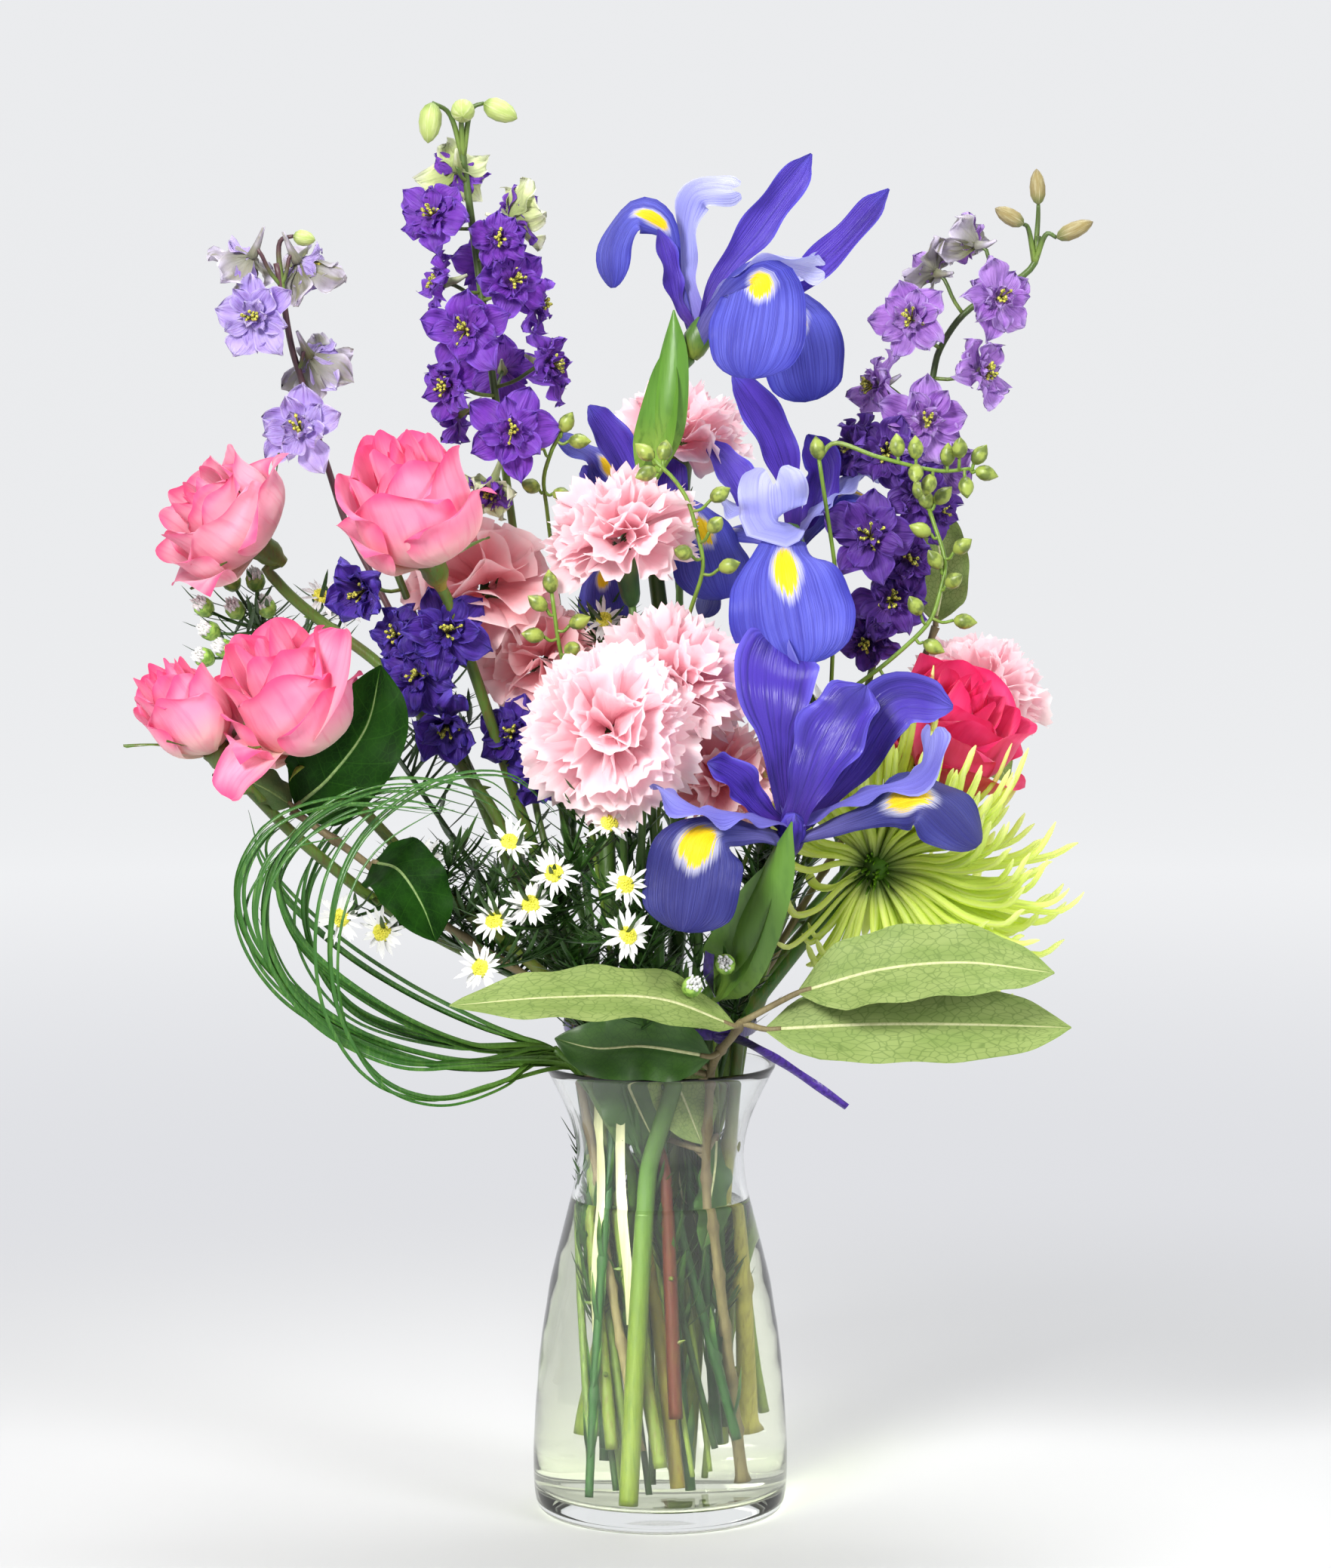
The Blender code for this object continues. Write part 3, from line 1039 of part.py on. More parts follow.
def ribbon_parts():
    """A flat band tied round the stems, with a knot and two tails."""
    angle = np.arange(RIBBON_SEGMENTS) * math.tau / RIBBON_SEGMENTS
    rings = []
    for extra, side in ((0, -1), (1, -1), (1, 1), (0, 1)):
        radius = RIBBON_RADIUS + extra
        height = np.full(RIBBON_SEGMENTS, side * RIBBON_WIDTH / 2)
        rings.append(np.stack([radius * np.cos(angle), radius * np.sin(angle), height], 1) + RIBBON_CENTRE)
    index = np.arange(4 * RIBBON_SEGMENTS).reshape(4, RIBBON_SEGMENTS)
    onward = np.roll(index, -1, axis=1)
    faces = []
    for low, high in ((0, 1), (1, 2), (2, 3), (3, 0)):
        faces.append(np.stack([index[low], onward[low], onward[high]], 1))
        faces.append(np.stack([index[low], onward[high], index[high]], 1))
    knot = placed(bulb(9, 4.5, 6), np.array(RIBBON_KNOT) - (0, 0, 4.5), (0, 0, 1))
    parts = [(np.concatenate(rings), np.concatenate(faces)), knot]
    for tail in RIBBON_TAILS:
        parts.append(ribbon_blade(smooth(tail, 6), ((0, 4), (1, 5)), (0.2, -0.8, 0.5)))
    return parts


def turned_parts(bloom, parts):
    """Parts of a bloom made round +Z, placed on its base."""
    return [placed(part, bloom.base, bloom.axis) for part in parts]


def obstacles():
    """Name, centre and radius of what stems go round: the bodies of the larger blooms."""
    rows = [(b.name, b.depth * 0.5, b.radius * 0.75, b) for b in (*ROSES, *CARNATIONS)]
    rows += [(b.name, IRIS_BODY, IRIS_BODY, b) for b in IRISES]
    rows.append((MUM.name, MUM.depth * 0.5, MUM_BODY, MUM))
    return [(name, np.array(b.base) + unit(b.axis) * up, radius) for name, up, radius, b in rows]


def add_bloom_stems(bunch, paths, green):
    """Stems that carry one bloom: irises with sheaths, roses with sepals, carnations, the mum."""
    for bloom in IRISES:
        path = paths[bloom.name]
        bunch.add(bloom.name + "_stem", [stem_tube(path, IRIS_STEM), *sheath_parts(bloom, path)], green)
    for bloom in ROSES:
        stem = swollen_stem(paths[bloom.name], ROSE_STEM, bloom, HIP)
        sepals = placed(star(*SEPALS), bloom.base, bloom.axis, 0.3)
        bunch.add(bloom.name + "_stem", [stem, sepals], green)
    for bloom in CARNATIONS:
        stem = swollen_stem(paths[bloom.name], CARNATION_STEM, bloom, CALYX)
        bunch.add(bloom.name + "_stem", [stem], green)
    bunch.add(MUM.name + "_stem", [stem_tube(paths[MUM.name], MUM_STEM)], green)


def add_blooms(bunch):
    """The heads of the irises, roses and carnations and of the chrysanthemum."""
    violet = material_for("iris_petal", VIOLET_BLUE)
    for bloom in IRISES:
        bunch.add(bloom.name, iris_parts(bloom), violet)
    for bloom in ROSES:
        name = "rose_petal" if bloom.colour == ROSE_PINK else "hot_pink_petal"
        bunch.add(bloom.name, turned_parts(bloom, rose_parts(bloom)), material_for(name, bloom.colour))
    for bloom in CARNATIONS:
        pink = material_for("carnation_petal", bloom.colour)
        bunch.add(bloom.name, turned_parts(bloom, carnation_parts(bloom)), pink)
    bunch.add(MUM.name, turned_parts(MUM, mum_parts(MUM)), material_for("lime_quill", LIME))


def add_sprays(bunch, paths, green):
    """Spikes, branches, bud sprays, aster sprays and grass, each with its own stem."""
    for name, radius, _, florets in LARKSPURS:
        purple = material_for("larkspur_petal", LARKSPUR_PURPLE)
        bunch.add(name, larkspur_parts(paths[name], radius, florets), purple)
    for name, colour, radius, _, leaves in BRANCHES:
        dressed = material_for("leaf_dark" if colour == DARK_GREEN else "leaf_pale", colour)
        bunch.add(name, branch_parts(paths[name], radius, leaves), dressed)
    for name, _, shoots, buds in BUD_SPRAYS:
        side = [smooth(shoot, 5) for shoot in shoots]
        parts = [stem_tube(paths[name], BUD_STEM, 4), *(tube(path, 0.9, 4) for path in side)]
        for place in buds:
            parts.append(bud(side[0] if side else paths[name], place))
        bunch.add(name, parts, green)
    for name, _, heads in ASTERS:
        bunch.add(name, aster_parts(name, paths[name], heads), material_for("aster", ASTER_WHITE))
    bunch.add("grass", grass_parts(paths["grass"]), material_for("grass_green", DARK_GREEN))


def build():
    """Makes every piece, the ones that others have to clear first."""
    bunch = Bunch()
    paths = settled(all_stems(), obstacles())
    green = material_for("stem_green", GREEN)
    bunch.add("vase", [turned(vase_profile(), VASE_SEGMENTS)], material_for("clear_glass", GLASS, 0.02, 1.0))
    add_bloom_stems(bunch, paths, green)
    add_blooms(bunch)
    add_sprays(bunch, paths, green)
    bunch.add("ribbon", ribbon_parts(), material_for("ribbon", RIBBON_PURPLE, 0.35))
    bunch.add("water", [water_part()], material_for("water", WATER, 0.0, 1.0))


for old in list(bpy.data.objects):
    bpy.data.objects.remove(old, do_unlink=True)
build()
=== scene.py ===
"""Looks of a mixed bouquet that stands in a clear glass vase of water.

Every flower, stem, leaf and the vase is a finer piece that stands where its solid stands. Lengths
and places are in millimetres and MM turns them into metres. +Z is up and -Y is the front.
"""

import sys

import logging
import math
from collections.abc import Sequence
from dataclasses import dataclass
from enum import Enum, IntEnum

import bpy
import numpy as np
from mathutils import Matrix


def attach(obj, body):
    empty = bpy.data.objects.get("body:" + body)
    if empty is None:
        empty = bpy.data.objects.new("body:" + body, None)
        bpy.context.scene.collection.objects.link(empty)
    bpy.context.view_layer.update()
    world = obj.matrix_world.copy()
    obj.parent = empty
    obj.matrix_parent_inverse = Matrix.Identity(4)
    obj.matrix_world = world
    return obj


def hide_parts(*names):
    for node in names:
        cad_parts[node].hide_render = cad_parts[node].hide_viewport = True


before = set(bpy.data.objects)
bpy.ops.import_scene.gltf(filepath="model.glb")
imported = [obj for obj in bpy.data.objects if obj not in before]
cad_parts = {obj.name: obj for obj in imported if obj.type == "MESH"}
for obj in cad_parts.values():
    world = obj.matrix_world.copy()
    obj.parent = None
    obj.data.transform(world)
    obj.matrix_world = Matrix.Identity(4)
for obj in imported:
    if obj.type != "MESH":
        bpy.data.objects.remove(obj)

MM = 0.001
LOG = logging.getLogger("bouquet")

Array = np.ndarray
Material = bpy.types.Material
Point = tuple[float, float, float]
Colour = tuple[float, float, float]
Pairs = Sequence[tuple[float, float]]

ALONG = "along"
ACROSS = "across"
SEED = "seed"
TONE = "tone"
MARKS = (ALONG, ACROSS, SEED, TONE)

GOLDEN_ANGLE = 2.39996
NUDGE = (1e-6, 0.0, 0.0)
MOUTH_HEIGHT = 212.0
DROWNED = (84.0, 170.0)


def tint(red: int, green: int, blue: int) -> Colour:
    """A colour given by its screen levels, as the renderer's linear one.

    Args:
        red: Its red, from 0 to 255.
        green: Its green.
        blue: Its blue.

    Returns:
        Its linear levels, from 0 to 1, by the usual curve of a screen.
    """
    levels = np.array((red, green, blue)) / 255
    linear = np.where(levels > 0.04045, ((levels + 0.055) / 1.055) ** 2.4, levels / 12.92)
    return tuple(float(level) for level in linear)


def unit(vectors: Array | Point) -> Array:
    """The vectors scaled to length one."""
    vectors = np.asarray(vectors, float)
    return vectors / np.maximum(np.linalg.norm(vectors, axis=-1, keepdims=True), 1e-9)


def level_way(turn: float) -> Array:
    """The level direction at a turn about +Z."""
    return np.array((math.cos(turn), math.sin(turn), 0.0))


def runs(path: Array) -> Array:
    """How far along a path each of its points is."""
    return np.r_[0, np.cumsum(np.linalg.norm(np.diff(path, axis=0), axis=1))]


def nearest(path: Array, target: Array | Point) -> Array:
    """The point of a path that is nearest to a target."""
    return path[np.linalg.norm(path - target, axis=1).argmin()]


def smooth(points: Array | Sequence[Point], count: int) -> Array:
    """A smooth curve through points.

    Args:
        points: The points that the curve passes through.
        count: How many points to give back.

    Returns:
        The curve's points, as an array of count rows.
    """
    points = np.asarray(points, float)
    lengths = np.r_[0, np.cumsum(np.sqrt(np.linalg.norm(np.diff(points, axis=0), axis=1)))]
    ends = np.vstack([2 * points[0] - points[1], points, 2 * points[-1] - points[-2]])
    knots = np.r_[-lengths[1], lengths, 2 * lengths[-1] - lengths[-2]]
    at = np.linspace(0, lengths[-1], count)
    span = np.clip(np.searchsorted(lengths, at, side="right") - 1, 0, len(points) - 2)
    t = at[:, None]
    k0, k1, k2, k3 = (knots[span + i][:, None] for i in range(4))
    p0, p1, p2, p3 = (ends[span + i] for i in range(4))
    a1 = ((k1 - t) * p0 + (t - k0) * p1) / (k1 - k0)
    a2 = ((k2 - t) * p1 + (t - k1) * p2) / (k2 - k1)
    a3 = ((k3 - t) * p2 + (t - k2) * p3) / (k3 - k2)
    b1 = ((k2 - t) * a1 + (t - k0) * a2) / (k2 - k0)
    b2 = ((k3 - t) * a2 + (t - k1) * a3) / (k3 - k1)
    return ((k2 - t) * b1 + (t - k1) * b2) / (k2 - k1)


def outline(pairs: Pairs, share: Array) -> Array:
    """A width that runs smoothly through (share of length, width) pairs.

    Args:
        pairs: The shares of the length and the width at each.
        share: The shares to read.

    Returns:
        The width at each share.
    """
    fine = smooth([(at, wide, 0.0) for at, wide in pairs], 80)
    return np.interp(share, fine[:, 0], np.clip(fine[:, 1], 0, None))


def facing(axis: Array | Point, roll: float = 0.0) -> Array:
    """The rotation that turns +Z to an axis.

    Args:
        axis: The direction that +Z takes.
        roll: A turn about +Z, made first, in radians.

    Returns:
        The rotation, with the turned X, Y and Z as its columns.
    """
    z = unit(axis)
    x = unit(np.cross((0.0, 1.0, 0.0) if abs(z[1]) < 0.9 else (1.0, 0.0, 0.0), z))
    y = np.cross(z, x)
    cos, sin = math.cos(roll), math.sin(roll)
    return np.stack([cos * x + sin * y, cos * y - sin * x, z], 1)


def packed_spots(count: int, radius: float, height: float, fall: float = 0.0) -> Array:
    """Points packed evenly over a round cushion.

    Args:
        count: How many there are.
        radius: The cushion's radius.
        height: Its height in the middle.
        fall: How fast it falls with the square of the distance from the middle.

    Returns:
        Points as (count, 3).
    """
    place = np.arange(count)
    out = radius * np.sqrt((place + 0.5) / count)
    angle = place * GOLDEN_ANGLE
    return np.stack([out * np.cos(angle), out * np.sin(angle), height - fall * out**2], 1)


def random_of(name: str) -> np.random.Generator:
    """Random numbers that are the same each time for a name."""
    return np.random.default_rng(sum(place * code for place, code in enumerate(name.encode(), 7)))


class Surface:
    """Sheets and tubes of one piece, gathered until they become a mesh."""

    def __init__(self) -> None:
        """Starts with nothing."""
        self.points: list[Array] = []
        self.faces: list[Array] = []
        self.finish: list[Array] = []
        self.marks: dict[str, list[Array]] = {mark: [] for mark in MARKS}
        self.count = 0

    def add_grid(self, grid: Array, along: Array, across: Array, seed: float, finish: int = 0,
                 tone: float | Array = 0.0, closed: bool = False) -> None:
        """Adds a sheet of points.

        Args:
            grid: Points as (rows, columns, 3), in millimetres.
            along: How far each row is from the root, from 0 to 1.
            across: How far each column is from the middle, from -1 to 1.
            seed: A number of its own for the sheet, from 0 to 1.
            finish: Which of the piece's finishes it takes.
            tone: One more number for the finish.
            closed: Whether the last column joins the first.
        """
        rows, columns = grid.shape[:2]
        index = np.arange(rows * columns).reshape(rows, columns) + self.count
        onward = np.roll(index, -1, axis=1) if closed else index[:, 1:]
        here = index if closed else index[:, :-1]
        quads = np.stack([here[:-1], onward[:-1], onward[1:], here[1:]], -1).reshape(-1, 4)
        self.points.append(grid.reshape(-1, 3))
        self.faces.append(quads)
        self.finish.append(np.full(len(quads), finish))
        values = {ALONG: np.reshape(along, (-1, 1)), ACROSS: np.reshape(across, (1, -1)), SEED: seed}
        values[TONE] = np.reshape(tone, (-1, 1))
        for mark in MARKS:
            self.marks[mark].append(np.broadcast_to(values[mark], (rows, columns)).ravel())
        self.count += rows * columns

    def add_tube(self, path: Array, radii: Array | float, sides: int, seed: float, finish: int = 0,
                 flat: float = 1.0, side: Point = (0.31, 0.95, 0.07), tone: float | Array = 0.0) -> None:
        """Adds a closed tube along a path.

        Args:
            path: The tube's middle.
            radii: Its radius at each point of the path.
            sides: How many sides it has.
            seed: A number of its own for the tube.
            finish: Which of the piece's finishes it takes.
            flat: How thick it is beside its width.
            side: The direction of its width.
            tone: One more number for the finish.
        """
        path = np.asarray(path, float)
        radii = np.broadcast_to(np.asarray(radii, float), len(path))
        tangent = unit(np.gradient(path, axis=0))
        wide = np.asarray(side, float)
        sides_of = np.empty_like(path)
        for row, direction in enumerate(tangent):
            wide = unit(wide - direction * (wide @ direction))
            sides_of[row] = wide
        thick = np.cross(tangent, sides_of)
        angle = np.arange(sides) * math.tau / sides
        round_it = np.cos(angle)[None, :, None] * sides_of[:, None]
        rim = round_it + flat * np.sin(angle)[None, :, None] * thick[:, None]
        grid = path[:, None] + radii[:, None, None] * rim
        ends = [np.repeat(path[[row]], sides, axis=0)[None] for row in (0, -1)]
        grid = np.concatenate([ends[0], grid, ends[1]])
        share = np.r_[0.0, np.linspace(0, 1, len(path)), 1.0]
        tones = np.broadcast_to(np.asarray(tone, float), len(path))
        tones = np.r_[tones[0], tones, tones[-1]]
        self.add_grid(grid, share, np.cos(angle), seed, finish, tones, closed=True)

    def add_turned(self, profile: Pairs, sides: int, place: Array | Point, turn: Array, seed: float,
                   finish: int = 0) -> None:
        """Adds a body that is round about an axis.

        Args:
            profile: (height, radius) pairs from one end to the other.
            sides: How many sides it has.
            place: Where its foot stands.
            turn: The rotation that its axis takes.
            seed: A number of its own.
            finish: Which of the piece's finishes it takes.
        """
        height, radius = (np.array(column, float)[:, None] for column in zip(*profile))
        angle = np.arange(sides) * math.tau / sides
        grid = np.stack([radius * np.cos(angle), radius * np.sin(angle), height + 0 * angle], -1)
        grid = grid @ turn.T + np.asarray(place, float)
        share = (height[:, 0] - height.min()) / max(np.ptp(height), 1e-6)
        self.add_grid(grid, share, np.cos(angle), seed, finish, closed=True)

    def piece(self, name: str, slot: str, finishes: Sequence[Material],
              nodes: Sequence[str] = ()) -> bpy.types.Object:
        """Makes the piece and gives it its place in the model.

        Args:
            name: The piece's name.
            slot: The record's slot that its finish belongs to; the piece only names it in the log.
            finishes: Its materials, in the order of their numbers.
            nodes: The solids that it stands for.

        Returns:
            The piece.
        """
        points, quads = np.concatenate(self.points) * MM, np.concatenate(self.faces)
        mesh = bpy.data.meshes.new(name)
        mesh.from_pydata(points.tolist(), [], quads.tolist())
        mesh.validate()
        for finish in finishes:
            mesh.materials.append(finish)
        if len(mesh.polygons) == len(quads):
            mesh.polygons.foreach_set("material_index", np.concatenate(self.finish).astype(np.int32))
        for mark in MARKS:
            layer = mesh.attributes.new(mark, "FLOAT", "POINT")
            layer.data.foreach_set("value", np.concatenate(self.marks[mark]).astype(np.float32))
        mesh.shade_smooth()
        made = bpy.data.objects.new(name, mesh)
        bpy.context.scene.collection.objects.link(made)
        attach(made, "root")
        if nodes:
            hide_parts(*nodes)
        LOG.info("%s: %d faces, slot %s", name, len(mesh.polygons), slot)
        return made


ROUTE_POINTS = 60
ROW_CROWDING = 1.25
RUFFLE_EDGE = 2.5
SIDES_APART = 1.7
NOTCH_WIDTH = 0.32


def blade(route: Array | Sequence[Point], widths: Pairs, face: Point, rows: int, columns: int,
          cup: float = 0.0, ruffle: float = 0.0, waves: float = 3.0, phase: float = 0.0,
          notch: float = 0.0) -> tuple[Array, Array, Array]:
    """A petal or leaf along a route.

    Args:
        route: The points that its midrib passes through.
        widths: (share of length, width) pairs.
        face: The way its upper side faces.
        rows: Points along it.
        columns: Points across it.
        cup: How far its sides rise, as a share of half its width.
        ruffle: Height of the waves at its edge.
        waves: Waves along each edge.
        phase: Where the waves start.
        notch: How far the middle of its tip is drawn in.

    Returns:
        Its points as (rows, columns, 3), and its shares along and across.
    """
    path = smooth(route, ROUTE_POINTS)
    steps = runs(path)
    share = 1 - (1 - np.linspace(0, 1, rows)) ** ROW_CROWDING
    path = np.stack([np.interp(share * steps[-1], steps, path[:, axis]) for axis in range(3)], 1)
    width = outline(widths, share)[:, None]
    across = np.linspace(-1, 1, columns)
    tangent = unit(np.gradient(path, axis=0))
    side = unit(np.cross(tangent, face))
    normal = np.cross(side, tangent)
    edge = np.abs(across) ** RUFFLE_EDGE
    swing = np.sin(math.tau * waves * share[:, None] + phase + SIDES_APART * np.sign(across))
    lift = cup * width / 2 * across**2 + ruffle * swing * edge * (width / (width.max() + 1e-6))
    pull = notch * (share[:, None] ** 5) * np.exp(-((across / NOTCH_WIDTH) ** 2))
    grid = path[:, None] + side[:, None] * (width * across / 2)[..., None] + normal[:, None] * lift[..., None]
    return grid - tangent[:, None] * pull[..., None], share, across


@dataclass(frozen=True)
class Petal:
    """A flat petal that starts at the origin and runs along +X, with its face towards +Z."""

    length: float
    width: float
    widths: Pairs = ((0.0, 0.22), (0.25, 0.62), (0.6, 1.0), (0.85, 0.86), (0.96, 0.5), (1.0, 0.12))
    rows: int = 9
    columns: int = 7
    cup: float = 0.2
    bend: float = 0.0
    ruffle: float = 0.0
    waves: float = 2.5
    crumple: float = 0.0

    def grid(self, phase: float = 0.0) -> Array:
        """The petal's points.

        Args:
            phase: Where its waves start.

        Returns:
            Points as (rows, columns, 3).
        """
        share = np.linspace(0, 1, self.rows)[:, None]
        across = np.linspace(-1, 1, self.columns)[None]
        half = self.width / 2 * outline(self.widths, share)
        lift = self.cup * half * across**2 + self.bend * share**2
        swing = np.sin(self.waves * math.pi * share + phase + 2.1 * np.sign(across))
        lift = lift + self.ruffle * share * np.abs(across) ** 1.5 * swing
        lift = lift + 0.6 * self.ruffle * share**3 * np.sin(self.waves * 2.2 * across + phase)
        creases = np.sin(8 * share + 5 * across + 3 * phase) * np.cos(4 * across + phase)
        lift = lift + self.crumple * share * creases
        return np.stack([self.length * share * (1 - 0.05 * across**2), half * across, lift], -1)

    def spun(self, lift: float, turn: float, phase: float = 0.0) -> Array:
        """The petal's points once it stands up and is turned.

        Args:
            lift: How far it stands up, in radians.
            turn: Its turn about +Z, in radians.
            phase: Where its waves start.

        Returns:
            Points as (rows, columns, 3).
        """
        length, side, rise = np.moveaxis(self.grid(phase), -1, 0)
        cos, sin = math.cos(lift), math.sin(lift)
        out, up = length * cos - rise * sin, length * sin + rise * cos
        cos, sin = math.cos(turn), math.sin(turn)
        return np.stack([out * cos - side * sin, out * sin + side * cos, up], -1)

    def place(self, surface: Surface, grid: Array, base: Array | Point, turn: Array, seed: float,
              finish: int = 0) -> None:
        """Adds the petal's points to a surface, turned to an axis and moved to a base.

        Args:
            surface: What they are added to.
            grid: The points, as spun gives them.
            base: Where the petal's root stands.
            turn: The rotation that +Z takes.
            seed: A number of its own for the petal.
            finish: Which of the piece's finishes it takes.
        """
        share, across = np.linspace(0, 1, self.rows), np.linspace(-1, 1, self.columns)
        surface.add_grid(grid @ turn.T + np.asarray(base, float), share, across, seed, finish)


def level_cut(corners: Array, height: float) -> tuple[Array, Array]:
    """Where a level plane meets triangles.

    Args:
        corners: Triangles as (count, 3, 3).
        height: The plane's height.

    Returns:
        The middle and the length of each line of the cut.
    """
    above = corners[:, :, 2] > height
    crossed = above.any(1) & ~above.all(1)
    chosen, above = corners[crossed], above[crossed]
    lone = np.where(above.sum(1) == 1, above.argmax(1), (~above).argmax(1))
    rows = np.arange(len(chosen))
    apex = chosen[rows, lone]
    ends = []
    for step in (1, 2):
        other = chosen[rows, (lone + step) % 3]
        share = (height - apex[:, 2]) / (other[:, 2] - apex[:, 2])
        ends.append(apex + share[:, None] * (other - apex))
    return (ends[0] + ends[1]) / 2, np.linalg.norm(ends[0] - ends[1], axis=1)


def solid_corners(node: str) -> Array:
    """The triangles of a solid.

    Args:
        node: The solid's name.

    Returns:
        Their corners as (count, 3, 3), in millimetres.
    """
    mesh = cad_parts[node].data
    mesh.calc_loop_triangles()
    points = np.empty(len(mesh.vertices) * 3)
    mesh.vertices.foreach_get("co", points)
    index = np.empty(len(mesh.loop_triangles) * 3, np.int32)
    mesh.loop_triangles.foreach_get("vertices", index)
    return points.reshape(-1, 3)[index.reshape(-1, 3)] / MM


STEM_STEP = 5.0
FIRST_CUT = 1.2
CUT_MARGIN = 1.6
HEADING_KEPT = 0.4
SMOOTHINGS = 2


def stem_line(node: str, radius: float, top: float) -> Array:
    """The middle of a stem, read from level cuts through its solid.

    Args:
        node: The solid that holds the stem.
        radius: The stem's radius.
        top: The height at which the stem ends.

    Returns:
        Points from its cut end up.
    """
    corners = solid_corners(node)
    height = corners[..., 2].min() + FIRST_CUT
    line: list[Array] = []
    heading = np.zeros(2)
    while height < top:
        middle, length = level_cut(corners, height)
        near = np.ones(len(middle), bool)
        if line:
            slope = np.linalg.norm(heading) / STEM_STEP
            reach = 2.0 * radius * math.hypot(1, slope) + CUT_MARGIN
            near = np.linalg.norm(middle[:, :2] - line[-1][:2] - heading, axis=1) < reach
        if not near.any():
            break
        place = np.average(middle[near], axis=0, weights=length[near] + 1e-6)
        if line:
            heading = HEADING_KEPT * heading + (1 - HEADING_KEPT) * (place[:2] - line[-1][:2])
        line.append(place)
        height += STEM_STEP
    points = np.array(line)
    for _ in range(SMOOTHINGS):
        points[1:-1] = (points[:-2] + 2 * points[1:-1] + points[2:]) / 4
    return points


class Wire:
    """An output of a material's nodes, on which Python's operators add the nodes of a sum."""

    def __init__(self, recipe: "Recipe", socket: bpy.types.NodeSocket) -> None:
        """Keeps the recipe that it belongs to and its socket.

        Args:
            recipe: The recipe.
            socket: The output's socket.
        """
        self.recipe = recipe
        self.socket = socket

    def __add__(self, other: "Wire | float") -> "Wire":
        """The sum."""
        return self.recipe.maths("ADD", self, other)

    __radd__ = __add__

    def __mul__(self, other: "Wire | float") -> "Wire":
        """The product."""
        return self.recipe.maths("MULTIPLY", self, other)

    __rmul__ = __mul__

    def __sub__(self, other: "Wire | float") -> "Wire":
        """The difference."""
        return self.recipe.maths("SUBTRACT", self, other)

    def __rsub__(self, other: "Wire | float") -> "Wire":
        """The difference from a value on the left."""
        return self.recipe.maths("SUBTRACT", other, self)

    def __truediv__(self, other: "Wire | float") -> "Wire":
        """The quotient."""
        return self.recipe.maths("DIVIDE", self, other)

    def __abs__(self) -> "Wire":
        """The size without its sign."""
        return self.recipe.maths("ABSOLUTE", self)

    def rise(self, low: float, high: float) -> "Wire":
        """A smooth mask that rises from 0 at low to 1 at high, or falls where low is above high.

        Args:
            low: Where it is 0.
            high: Where it is 1.

        Returns:
            The mask.
        """
        if low > high:
            return 1 - self.rise(high, low)
        sockets = {"Value": self, "From Min": low, "From Max": high}
        return self.recipe.node("ShaderNodeMapRange", {"interpolation_type": "SMOOTHSTEP"}, sockets)


